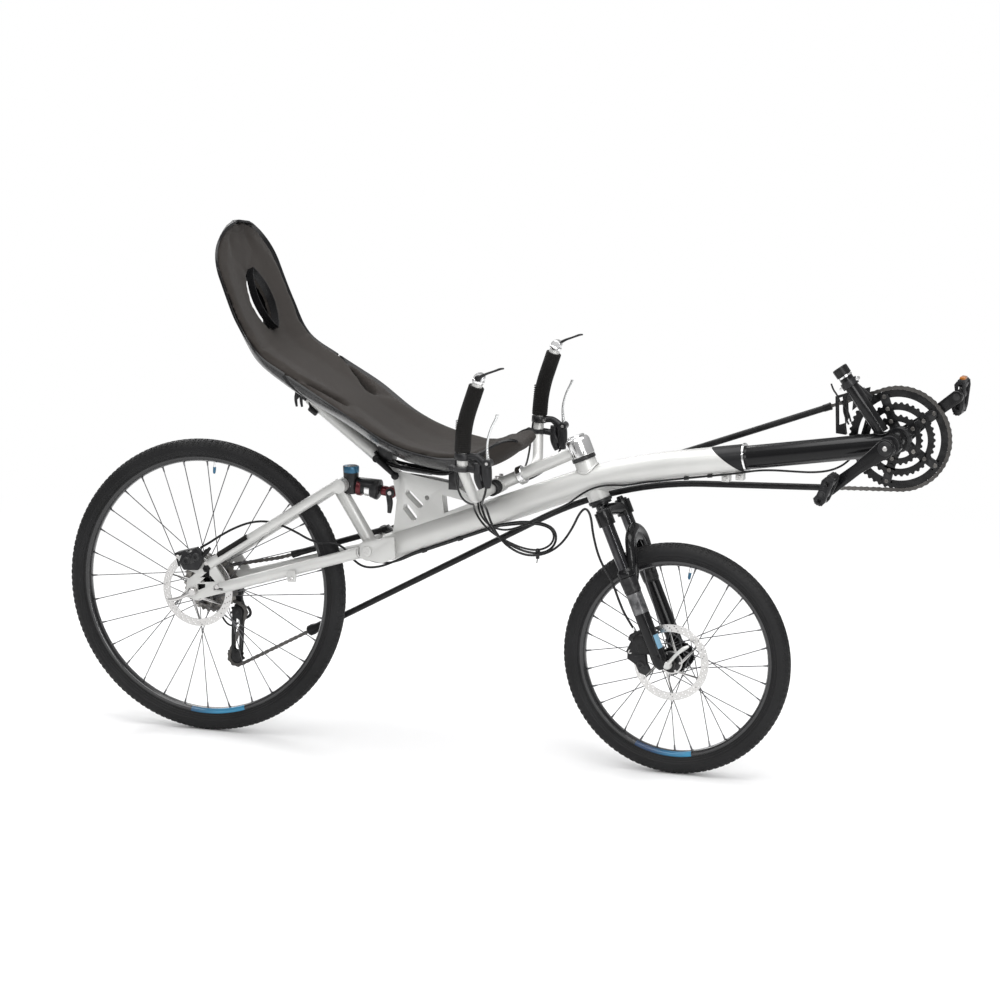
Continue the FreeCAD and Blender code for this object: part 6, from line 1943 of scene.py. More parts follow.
# ---- seat -----------------------------------------------------------------------------------------
@dataclass
class Seat:
    """Hard shell and padded liner along one line of stations, with a leaf vent and two side slots."""

    stations: tuple = ((74, 1107, 18), (78, 1067, 23), (101, 1003, 22), (136, 920, 22), (178, 855, 31),
                       (245, 813, 37), (340, 758, 42), (430, 700, 46), (496, 671, 48), (570, 656, 44), (622, 656, 36),
                       (660, 671, 32), (690, 689, 28), (714, 694, 24), (730, 685, 22))
    widths: tuple = ((0.0, 162), (82.0, 164), (160.0, 156), (240.0, 158), (345.0, 160), (455.0, 148), (530.0, 150),
                     (605.0, 146), (670.0, 124), (727.0, 92), (780.0, 74))
    shell_t: float = 5.0
    head_end: float = 112.0
    swell_frames: int = 20
    swell_cap: float = 5.0

    def __post_init__(self) -> None:
        """Lay out the rim line as close-set points and measure along it."""
        places = [Vector((x, 0, z)) for x, z, _ in self.stations]
        first = places[0] + (places[0] - places[1]).normalized() * 8.0
        places = [first] + places
        depths = [12.0] + [d for _, _, d in self.stations]
        self.line, self.depths = [], []
        for i in range(len(places) - 1):
            p0, p3 = places[max(i - 1, 0)], places[min(i + 2, len(places) - 1)]
            p1, p2 = places[i], places[i + 1]
            for k in range(12):
                t = k / 12
                self.line.append(0.5 * (2 * p1 + (p2 - p0) * t + (2 * p0 - 5 * p1 + 4 * p2 - p3) * t * t
                                        + (3 * p1 - p0 - 3 * p2 + p3) * t ** 3))
                self.depths.append(depths[i] + (depths[i + 1] - depths[i]) * t)
        self.line.append(places[-1])
        self.depths.append(depths[-1])
        self.marks = [0.0]
        for a, b in zip(self.line, self.line[1:]):
            self.marks.append(self.marks[-1] + (b - a).length)

    @property
    def length(self) -> float:
        """The rim line's length in millimetres."""
        return self.marks[-1]

    def place(self, s: float) -> tuple[Vector, Vector, float]:
        """The rim-line point, the direction behind the seat and the pan's depth at a length s.

        Args:
            s: The length along the seat from its head, in millimetres.

        Returns:
            The point, the direction and the depth.
        """
        s = min(max(s, 0.0), self.length - 1e-6)
        k = max(i for i, mark in enumerate(self.marks) if mark <= s)
        t = (s - self.marks[k]) / (self.marks[k + 1] - self.marks[k])
        a, b = self.line[max(k - 2, 0)], self.line[min(k + 3, len(self.line) - 1)]
        along = (b - a).normalized()
        back = Vector((along.z, 0, -along.x))
        return (self.line[k].lerp(self.line[k + 1], t), back,
                self.depths[k] + (self.depths[k + 1] - self.depths[k]) * t)

    def half(self, s: float) -> float:
        """Half the seat's width at a length s: a round head end, a waist, and rounded front corners.

        Args:
            s: The length along the seat from its head, in millimetres.

        Returns:
            The half width, in millimetres.
        """
        past = s - self.head_end
        if past < 0:
            return max(7.0, 162.0 * math.sqrt(max(0.0, 1 - (1 - s / self.head_end) ** 2)))
        width = self.widths[-1][1]
        for (s0, w0), (s1, w1) in zip(self.widths, self.widths[1:]):
            if past <= s1:
                t = (past - s0) / (s1 - s0)
                width = w0 + (w1 - w0) * t * t * (3 - 2 * t)
                break
        left = self.length - s
        if left < 30.0:
            width -= 30.0 - math.sqrt(max(0.0, 30.0 ** 2 - (30.0 - left) ** 2))
        return width

    @staticmethod
    def dish(s: float, ratio: float) -> float:
        """The share of the pan's depth at a share of its half width: steep sides at the waist."""
        power = 2.2 + 3.6 * math.exp(-((s - 350.0) / 120.0) ** 2) + 1.6 * math.exp(-((s - 860.0) / 90.0) ** 2)
        return 1 - abs(ratio) ** power

    def point(self, s: float, across: float, rise: float) -> Vector:
        """A point of the seat, in metres.

        Args:
            s: Length along the rim line in millimetres.
            across: Distance to the left in millimetres.
            rise: Height over the rim line towards the rider in millimetres.

        Returns:
            The point.
        """
        spot, back, _ = self.place(s)
        spot = spot - back * rise
        return at(spot.x, across, spot.z)

    def mapped(self, name: str, columns: int, rows: int,
               surface: Callable[[float, float], Vector]) -> bpy.types.Object:
        """A grid laid on a surface of two parameters, each from 0 to 1.

        Args:
            name: The grid's name.
            columns: Steps along the first parameter.
            rows: Steps along the second one.
            surface: Gives a point for two parameters.

        Returns:
            The grid.
        """
        deselect()
        bpy.ops.mesh.primitive_grid_add(x_subdivisions=columns, y_subdivisions=rows, size=1.0)
        obj = bpy.context.object
        for corner in obj.data.vertices:
            corner.co = surface(corner.co.x + 0.5, corner.co.y + 0.5)
        return settle(name)

    def collar(self) -> bpy.types.Object:
        """A black collar that lines the leaf vent."""
        leaf = carve(self.leaf(1.8, 0.0, 0.016), self.leaf(0.0, -0.02, 0.09))
        leaf.name = "seat_vent_collar"
        return leaf

    def cutters(self) -> bpy.types.Object:
        """The leaf vent and the two side slots as one solid."""
        return join("seat_openings", [self.leaf(0.6, -0.06, 0.15)] + self.slots(0.6, -0.06, 0.15))

    def leaf(self, grow: float, start: float, depth: float) -> bpy.types.Object:
        """The leaf vent as a solid.

        Args:
            grow: How far the outline is set outward, in millimetres.
            start: Where the solid begins, behind the rim line, in metres.
            depth: How far back it reaches from there, in metres.

        Returns:
            The solid.
        """
        grow *= MM
        top, bottom = at(109, 0, 1015), at(166, 0, 892)
        along = (bottom - top).normalized()
        back = Vector((along.z, 0, -along.x))
        length = (bottom - top).length
        leaf = []
        for k in range(20):
            t = k / 10
            reach = t if t <= 1 else 2 - t
            side = 1 if t <= 1 else -1
            wide = 0.036 * math.sin(math.pi * reach) ** 0.8 + grow
            leaf.append(top + along * (length * reach + grow * (2 * reach - 1)) + Y * (side * wide) + back * start)
        return cut_plate("leaf", leaf, back * depth)

    def slots(self, grow: float, start: float, depth: float) -> list[bpy.types.Object]:
        """The two side slots as solids.

        Args:
            grow: How far each outline is set outward, in millimetres.
            start: Where each solid begins, behind the rim line, in metres.
            depth: How far back it reaches from there, in metres.

        Returns:
            The slot on each side.
        """
        grow *= MM
        pieces = []
        for side in (-1, 1):
            high, low = at(238, side * 155, 810), at(338, side * 92, 745)
            run = (low - high).normalized()
            normal = Vector((-0.51, 0, -0.86))
            across = run.cross(normal).normalized()
            middle = high.lerp(low, 0.45)
            loop = [middle + across * (0.006 + grow), high + across * (0.003 + grow), high - across * (0.003 + grow),
                    middle - across * (0.006 + grow)]
            for k in range(9):
                turn = math.pi * k / 8
                loop.append(low - across * ((0.0155 + grow) * math.cos(turn)) + run * ((0.018 + grow) * math.sin(turn)))
            pieces.append(cut_plate("slot", [p + normal * start for p in loop], normal * depth))
        return pieces

    def build_shell(self) -> None:
        """A thin dished shell with a rolled rim, in gloss black."""
        def surface(u: float, v: float) -> Vector:
            """The shell's outer face.

            Args:
                u: Along the seat, from 0 to 1.
                v: Across the seat, from 0 to 1.

            Returns:
                The point, in metres.
            """
            s = u * (self.length - 7.0)
            half, depth = self.half(s), self.place(s)[2]
            y = half * math.sin((v - 0.5) * math.pi)
            return self.point(s, y, -depth * self.dish(s, y / half))
        shell = self.mapped("shell", 110, 30, surface)
        modify(shell, "SOLIDIFY", thickness=self.shell_t * MM, offset=1.0)
        take(shell)
        bpy.ops.object.mode_set(mode="EDIT")
        bpy.ops.mesh.select_all(action="SELECT")
        bpy.ops.mesh.normals_make_consistent(inside=False)
        bpy.ops.object.mode_set(mode="OBJECT")
        carve(shell, self.cutters())
        soften(shell, 1.7 * MM, 3, 50)
        dress(self.collar(), SHELL, Body.FRAME, (), 50)
        dress(shell, SHELL, Body.FRAME, ("seat_shell",), 50)
        shell.name = "seat_shell_moulded"

    def build_pad(self) -> None:
        """The liner: a dished foam pad with soft edges, swollen a little by its filling."""
        def ring(u: float, v: float) -> Vector:
            """Round the pad's section: v runs once about it.

            Args:
                u: Along the seat, from 0 to 1.
                v: Round the section, from 0 to 1.

            Returns:
                The point, in metres.
            """
            s = 3.0 + u * (self.length - 2.0)
            inset = 6.0 + 4.0 * math.exp(-((s - 350.0) / 130.0) ** 2)
            wrap = min(1.0, max(0.0, (s - self.length + 130.0) / 45.0))
            half = max(4.0, self.half(s) - inset + (inset + 3.0) * wrap)
            depth = self.place(s)[2] - (self.shell_t + 0.8) * (1 - wrap) + 3.0 * wrap
            ends = min(1.0, (s + 6.0) / 26.0, (self.length - s + 15.0) / 24.0)
            turn = v * 2 * math.pi
            y = half * math.cos(turn)
            floor = -depth * self.dish(s, y / half) + 0.4
            if math.sin(turn) < 0:
                return self.point(s, y, floor)
            edge = 1.0 - abs(y / half)
            lip = 7.0 * math.sqrt(min(1.0, edge / 0.07)) if edge < 0.07 else 7.0
            dish = 12.0 * min(1.0, edge / 0.6) ** 1.3 * min(1.0, half / 120.0)
            return self.point(s, y, max(floor + 9.0 * min(1.0, edge / 0.1), (lip - dish) * ends - 1.0 + ends))
        pad = self.mapped("pad", 120, 56, ring)
        take(pad)
        bpy.ops.object.mode_set(mode="EDIT")
        bpy.ops.mesh.select_all(action="SELECT")
        bpy.ops.mesh.remove_doubles(threshold=2e-5)
        bpy.ops.mesh.select_all(action="DESELECT")
        bpy.ops.mesh.select_non_manifold()
        bpy.ops.mesh.fill_holes(sides=0)
        bpy.ops.mesh.select_all(action="SELECT")
        bpy.ops.mesh.fill_holes(sides=0)
        bpy.ops.mesh.normals_make_consistent(inside=False)
        bpy.ops.object.mode_set(mode="OBJECT")
        carve(pad, self.cutters())
        modify(pad, "REMESH", mode="VOXEL", voxel_size=6.0 * MM)
        modify(pad, "SMOOTH", factor=0.5, iterations=3)
        self.swell(pad)
        modify(pad, "SUBSURF", levels=1)
        pad.name = "seat_pad_cushion"
        dress(pad, PAD, Body.FRAME, ("seat_pad",), 60)

    def swell(self, pad: bpy.types.Object) -> None:
        """Let the filling press the cloth outward for a moment, then hold the movement to a few millimetres.

        Args:
            pad: The pad's mesh after its remesh.
        """
        rest = [corner.co.copy() for corner in pad.data.vertices]
        take(pad)
        cloth = pad.modifiers.new("Cloth", "CLOTH")
        cloth.settings.quality = 6
        cloth.settings.mass = 0.3
        cloth.settings.tension_stiffness = 40
        cloth.settings.compression_stiffness = 40
        cloth.settings.bending_stiffness = 8
        cloth.settings.use_pressure = True
        cloth.settings.uniform_pressure_force = 4.0
        cloth.settings.effector_weights.gravity = 0.0
        cloth.collision_settings.use_collision = False
        cloth.point_cache.frame_start, cloth.point_cache.frame_end = 1, self.swell_frames
        scene = bpy.context.scene
        for step in range(1, self.swell_frames + 1):
            scene.frame_set(step)
        bpy.ops.object.modifier_apply(modifier=cloth.name)
        scene.frame_set(1)
        travel = [(corner.co - start).length / MM for corner, start in zip(pad.data.vertices, rest)]
        log.info("seat pad cloth: %.2f mm mean, %.2f mm most, before the cap", sum(travel) / len(travel), max(travel))
        for corner, start in zip(pad.data.vertices, rest):
            moved = corner.co - start
            if moved.length > self.swell_cap * MM:
                corner.co = start + moved.normalized() * (self.swell_cap * MM)
        modify(pad, "SMOOTH", factor=0.5, iterations=4)

    def build_mount(self) -> None:
        """Brackets with prongs, the mast with its end plug, the quick-release levers and the front bracket."""
        brackets = traced("seat_brackets")
        dress(soften(brackets, 1.5 * MM), SATIN, Body.FRAME, ("seat_brackets",))
        low, high = at(446, 0, 590), at(232, 0, 749)
        along = (high - low).normalized()
        outer = turned("outer", [(18.0, 0), (18.0, 13.4), (19.4, 14.6), (258.0, 14.6), (259.4, 13.4), (259.4, 0)], low,
                       along, 48)
        mast = join("seat_mast_shown", [soften(traced("seat_mast"), 0.8 * MM), outer])
        dress(mast, SILVER, Body.FRAME, ("seat_mast",), 40)
        plug = turned("mast_plug", [(-6, 12.05), (-5, 13.4), (1.0, 13.6), (6.0, 12.4), (7.0, 10.0), (7.0, 0), (0, 0),
                                    (0, 12.05)], high, along, 36)
        tail = turned("bolt_cap", [(-11, 0), (-11, 4.2), (-9, 6.0), (8, 6.4), (10.6, 5.0), (11.2, 0)],
                      at(250, -13, 718), along, 24)
        stub = bar("stub", at(250, -13, 718) + along * 0.006, at(240, -10, 742), 3.2 * MM, sides=16)
        parts = [plug, tail, stub]
        for side in (-1, 1):
            prong = sheet_cut("prong", at(0, 0, 0), [(210, 742), (218, 742), (224, 772), (240, 796), (228, 800),
                                                     (212, 776)], side * 17 - 2.5, side * 17 + 2.5)
            parts.append(soften(prong, 1.2 * MM))
            parts.append(bar("thumb_bolt", at(226, side * 13, 752), at(226, side * 27, 752), 4.0 * MM, sides=16))
        for x in (214, 226):
            parts.append(bent_rod("prong", [at(x + 6, -16, 772), at(x, -18, 754), at(x - 2, -18, 738),
                                            at(x + 1, -18, 726)],
                                  [4.6 * MM, 4.2 * MM, 3.4 * MM, 2.4 * MM], sides=3))
        dress(join("seat_back_bracket", parts), SATIN, Body.FRAME)
        rails, bright = [], []
        for side in (-1, 1):
            rails.append(bent_rod("rail", [at(392, side * 15, 640), at(404, side * 17, 622), at(440, side * 18, 612),
                                           at(500, side * 18, 606), at(548, side * 18, 602), at(566, side * 17, 610),
                                           at(574, side * 15, 624)], [4.2 * MM] * 7, smoothness=8, sides=3))
            bright.append(bar("slider", at(446, side * 15, 604), at(520, side * 15, 598), 3.2 * MM, sides=16))
        dress(join("seat_rails", rails), BLACK, Body.FRAME)
        dress(join("seat_slides", bright), POLISHED, Body.FRAME)
        pivot = at(396, -16, 626)
        lever = bent_rod("lever", [pivot, at(408, -22, 620), at(424, -25, 606), at(436, -25, 597)],
                         [8.0 * MM, 7.4 * MM, 6.0 * MM, 5.4 * MM], sides=4)
        parts = [lever, ball("knob", at(440, -25, 593), 8.6 * MM),
                 turned("cam", [(-8, 0), (-8, 7.0), (-7, 8.0), (7, 8.0), (8, 7.0), (8, 0)], pivot, Y, 28)]
        dress(join("seat_release_lever", parts), PLASTIC, Body.FRAME)
        pin = bar("seat_release_pin", at(396, -12, 626), at(396, 22, 626), 3.0 * MM, sides=20)
        dress(pin, POLISHED, Body.FRAME)

    def build(self) -> None:
        """Build the seat."""
        self.build_shell()
        self.build_pad()
        self.build_mount()


# ---- frame ----------------------------------------------------------------------------------------
def weld(a: Vector, b: Vector, radius: float, c: Vector, d: Vector, into: float, size: float = 2.1,
         steps: int = 44) -> bpy.types.Object | None:
    """A weld bead where a tube meets another tube.

    Args:
        a: A point of the joining tube's centre line, far from the joint.
        b: The point where its centre line ends inside the other tube.
        radius: The joining tube's radius in millimetres.
        c: One end of the other tube's centre line.
        d: Its other end.
        into: The other tube's radius in millimetres.
        size: The bead's radius in millimetres.
        steps: Points round the joint.

    Returns:
        The bead, or None where the tubes do not meet all round.
    """
    run, other = (b - a).normalized(), (d - c).normalized()
    side = run.cross(other)
    side = side.normalized() if side.length > 1e-4 else run.orthogonal().normalized()
    up = run.cross(side)
    points = []
    for k in range(steps + 1):
        turn = 2 * math.pi * k / steps
        start = a + (side * math.cos(turn) + up * math.sin(turn)) * (radius * MM)
        rel = start - c
        m = rel - other * rel.dot(other)
        n = run - other * run.dot(other)
        qa, qb, qc = n.dot(n), 2 * m.dot(n), m.dot(m) - (into * MM) ** 2
        root = qb * qb - 4 * qa * qc
        if root < 0 or qa < 1e-12:
            return None
        reach = (-qb - math.sqrt(root)) / (2 * qa)
        ripple = 1.0 + 0.10 * math.sin(k * 2.6)
        points.append((start + run * reach, size * ripple * MM))
    return bent_rod("bead", [p for p, _ in points], [r for _, r in points], smoothness=2, sides=2)


@dataclass
class Frame:
    """The silver frame with its welds, paint and small fittings."""

    def build_main(self) -> None:
        """Main tube, head tube, cups, boom and their clamp."""
        edge = Vector((0.0458 + 0.0015, 0.0, 0.0712)).normalized()
        spot = at(1160, 0, 671)
        paint = SplitFinish("main_paint", "silver", (0.56, 0.56, 0.545), 0.42, 0.4, 0.05, 900.0, 0.04, 0.05, 0.0,
                            (0.55, 0.55, 0.55), 0.04, specular=0.3, normal=tuple(edge), edge=spot.dot(edge))
        tube = traced("main_tube")
        dress(soften(tube, 0.8 * MM), paint, Body.FRAME, ("main_tube",), 40)
        refined("head_tube", SILVER, Body.FRAME, 0.8 * MM)
        cups = turned("upper_cup", [(44.1, 14.4), (44.1, 23.4), (44.8, 25.2), (46.0, 25.6), (50.0, 25.2), (51.0, 24.0),
                                    (51.0, 14.4)], STEER_AT, STEER_UP, 64, closed=True)
        lower = turned("lower_cup", [(-51.0, 14.4), (-51.0, 24.0), (-50.0, 25.2), (-46.0, 25.6), (-44.8, 25.2),
                                     (-44.1, 23.4), (-44.1, 14.4)], STEER_AT, STEER_UP, 64, closed=True)
        skirts = traced("headset_cups")
        dress(join("headset_cups_shown", [skirts, cups, lower]), SATIN, Body.FRAME, ("headset_cups",))
        refined("boom", BLACK, Body.FRAME, 1.2 * MM)
        refined("boom_clamp", SILVER, Body.FRAME, 1.4 * MM, 3)
        front = at(1197, 0, 677.5)
        line = (front - at(932, 0, 635)).normalized()
        ring = turned("tube_end_ring", [(-3.4, 28.9), (-3.4, 30.2), (-2.6, 30.8), (0.6, 30.8), (1.2, 30.0), (1.2, 25.0),
                                        (0.0, 25.0), (0.0, 28.9)], front, line, 72, closed=True)
        dress(ring, POLISHED, Body.FRAME)
        down = Vector((line.z, 0, -line.x))
        screws = []
        for back in (18.0, 48.0):
            centre = front - line * (back * MM) + down * 0.036
            for side in (-1, 1):
                screws.append(turned("screw", [(-3, 0), (-3, 4.6), (2.6, 4.6), (3.4, 3.8), (3.4, 2.4), (1.4, 2.2),
                                               (1.4, 0)],
                                     centre + Vector((0, side * 0.012, -0.001)), Y * side, 18))
        dress(join("boom_clamp_screws", screws), STEEL, Body.FRAME)

    def build_rear(self) -> None:
        """Gusset, mast foot, pivot, swingarm, dropout bolts, sleeve and small brackets."""
        refined("seat_gusset", SILVER, Body.FRAME, 2.4 * MM, 3)
        refined("pivot_lugs", SILVER, Body.FRAME, 1.6 * MM, 3)
        swingarm = traced("swingarm")
        for outline in (((15, 351), (36, 370), (37, 351)), ((8, 322), (26, 330), (27, 338), (8, 337)),
                        ((45, 326), (72, 328), (72, 334), (45, 335))):
            carve(swingarm, sheet_cut("hole", at(0, 0, 0), list(outline), -90.0, -58.0))
        dress(soften(swingarm, 1.2 * MM, 2), SILVER, Body.FRAME, ("swingarm",))
        nuts = [turned("nut", [(0, 0), (0, 8.6), (4, 8.6), (5.4, 7.4), (5.4, 3.4), (3.6, 3.0), (3.6, 0)],
                       at(x, -72.5, z), -Y, 6) for x, z in ((-5, 319), (30, 372))]
        dress(join("dropout_nuts", nuts), PLASTIC, Body.FRAME)
        pivot = at(384, 0, 430)
        pin = turned("pivot_axle_shown", [(-46.4, 0), (-46.4, 7.0), (-46.0, 10.2), (-45.2, 11.0), (-42.3, 11.0),
                                          (-42.3, 8.0), (42.3, 8.0), (42.3, 11.0), (45.2, 11.0), (46.0, 10.2),
                                          (46.4, 7.0),
                                          (46.4, 0)], pivot, Y, 40)
        dress(pin, SILVER, Body.FRAME, ("pivot_axle",))
        sockets = []
        for side in (-1, 1):
            sockets.append(turned("socket", [(-0.6, 0), (-0.6, 5.6), (0.2, 5.6), (0.2, 3.0), (-0.5, 2.8), (-0.5, 0)],
                                  pivot + Y * (side * 0.0466), Y * side, 12))
        dress(join("pivot_sockets", sockets), STEEL, Body.FRAME)
        dress(skewer("rear_skewer", REAR_HUB, 67.5, 6.0, -152.0), STEEL, Body.FRAME, ("rear_axle",))
        a, b = at(36, -75.5, 382), at(318, -30, 570)
        stay = (b - a).normalized()
        foot = a + (at(60, 0, 0).x - a.x) / stay.x * stay
        sleeve = turned("stay_sleeve", [(0, 11.05), (0, 12.0), (1.2, 12.6), (76, 12.6), (77.2, 12.0), (77.2, 11.05)],
                        foot,
                        stay, 40, closed=True)
        rise = Y.cross(stay).normalized()
        rise = rise if rise.z > 0 else -rise
        trimmed(sleeve, foot + rise * 0.0015, -rise)
        dress(sleeve, GRIP, Body.FRAME)
        fittings = []
        lug = sheet_cut("lug", at(224, 0, 368), [(-9, -11), (9, -11), (11, 2), (7, 13), (-7, 13), (-11, 2)], -72.0,
                        -68.0)
        fittings.append(soften(lug, 1.0 * MM))
        dress(join("stay_bracket", fittings), SILVER, Body.FRAME)
        bolts = [turned("bolt", [(-1, 0), (-1, 5.0), (3.4, 5.0), (4.0, 4.2), (4.0, 2.6), (2.0, 2.4), (2.0, 0)],
                        at(x, y, z), -Y, 18) for x, y, z in ((224, -72.0, 364), (54, -73.6, 334), (30, -73.6, 384),
                                                             (-4, -73.6, 392))]
        dress(join("bracket_bolts", bolts), STEEL, Body.FRAME)
        guide = turned("tube_guide", [(-6, 4.0), (-6, 13.0), (-4, 15.0), (4, 15.0), (6, 13.0), (6, 4.0)],
                       at(384, 66, 452),
                       Y, 32, closed=True)
        arm = bent_rod("guide_arm", [at(384, 62, 452), at(392, 58, 462), at(404, 46, 466), at(420, 26, 462)],
                       [5.0 * MM, 6.0 * MM, 6.0 * MM, 5.0 * MM], sides=3)
        dress(join("chain_tube_guide", [guide, arm]), PLASTIC, Body.FRAME)
        dress(bar("chain_tube_guide_pin", at(384, 57, 452), at(384, 74, 452), 4.0 * MM, sides=20), POLISHED, Body.FRAME)

    def build_welds(self) -> None:
        """Beads round every tube joint."""
        main_a, main_b = at(418, 0, 434), at(932, 0, 635)
        head = (steer(80), steer(0)), (steer(-80), steer(0))
        pivot = at(384, -40, 430), at(384, 40, 430)
        bridge = at(318, -45, 564), at(318, 45, 564)
        strut_top, strut_low = at(306, 0, 552), at(384, 0, 430)
        middle = (strut_top + strut_low) / 2
        beads = [weld(a, b, 23.0, main_a, main_b, 29.0, 2.4) for a, b in head]
        beads.append(weld(middle, strut_low, 14.0, *pivot, 22.0))
        beads.append(weld(middle, strut_top, 14.0, *bridge, 15.0))
        for side in (-1, 1):
            top, low = at(318, side * 30, 570), at(36, side * 75.5, 382)
            beads.append(weld(low, top, 11.0, *bridge, 15.0, 1.8))
            beads.append(weld(at(62, side * 72.5, 332), at(384, side * 28, 430), 12.5, *pivot, 22.0, 2.0))
        dress(join("frame_welds", [bead for bead in beads if bead]), SILVER, Body.FRAME, (), 60)
        tip = at(1498, 0, 728)
        front = at(1197, 0, 677.5)
        black = [weld(at(1387, 0, 873), at(1500, 0, 720), 14.3, front, tip, 24.6, 2.0)]
        dress(join("boom_welds", black), BLACK, Body.FRAME, (), 60)

    def build_shock(self) -> None:
        """Air shock: wine-red head and front eye, blue-capped reservoir, banded black can and a hanging tail."""
        rear, front = at(332, 0, 562), at(424, 0, 553)
        axis = (front - rear).normalized()
        shock = traced("rear_shock")
        dress(soften(shock, 0.6 * MM), SATIN, Body.FRAME, ("rear_shock",), 40)
        head = turned("shock_head", [(13, 0), (13, 12.0), (15, 17.6), (17, 19.2), (25, 19.2), (26.6, 18.2),
                                     (26.6, 0)], rear,
                      axis, 44)
        eye = turned("front_eye", [(-11, 4.2), (-11, 11.6), (-10, 12.6), (10, 12.6), (11, 11.6), (11, 4.2)], front, Y,
                     36,
                     closed=True)
        neck = turned("front_neck", [(70, 0), (70, 9.5), (72, 10.6), (82, 10.6), (86, 8.2), (86, 0)], rear, axis, 36)
        dress(join("shock_red_parts", [head, eye, neck]), WINE, Body.FRAME)
        label = turned("shock_label", [(36, 17.9), (36, 18.4), (47, 18.4), (47, 17.9)], rear, axis, 44, closed=True)
        dress(label, POLISHED, Body.FRAME)
        can = turned("can_ends", [(47.6, 17.9), (47.6, 19.0), (52, 19.8), (58, 21.6), (62, 21.6), (65, 18.0),
                                  (67, 10.0),
                                  (67, 7.1)], rear, axis, 44, closed=False)
        body = turned("reservoir", [(-2, 0), (-2, 13.0), (0, 15.6), (3, 16.0), (44, 16.0), (44, 0)], at(332, 0, 546),
                      Z, 40)
        tail = bent_rod("tail", [at(420, -9, 548), at(423, -10, 538), at(424, -10, 524), at(422, -10, 510)],
                        [6.0 * MM, 7.0 * MM, 6.0 * MM, 4.4 * MM], sides=4)
        dress(join("shock_black_parts", [can, body, tail]), SATIN, Body.FRAME)
        cap = turned("shock_cap", [(43.6, 0), (43.6, 16.4), (45.0, 17.0), (55.0, 17.0), (57.4, 15.6), (58.2, 12.0),
                                   (57.4, 5.0), (57.4, 0)], at(332, 0, 546), Z, 24)
        dress(cap, BLUE, Body.FRAME)
        pins = [bar("eye_pin", p - Y * 0.0155, p + Y * 0.0155, 4.4 * MM, sides=20) for p in (rear, front)]
        dress(join("shock_pins", pins), STEEL, Body.FRAME)

    def build(self) -> None:
        """Build the frame."""
        self.build_main()
        self.build_rear()
        self.build_welds()
        self.build_shock()
        Caliper("rear", Body.FRAME, REAR_HUB, -52.0, "rear_brake_caliper", -73.6,
                ((-30, 384), (-19, 411), (-5, 405), (11, 419), (23, 409), (25, 388), (14, 369), (-19, 367)),
                ((-12, 388), (10, 398))).build()
        fitting = turned("fitting", [(0, 0), (0, 4.6), (9, 4.6), (9, 5.8), (15, 5.8), (15, 4.2), (24, 3.4), (24, 0)],
                         at(24, -79, 401), Vector((0.68, 0, 0.73)), 24)
        fitting.name = "rear_brake_fitting"
        dress(fitting, PLASTIC, Body.FRAME)


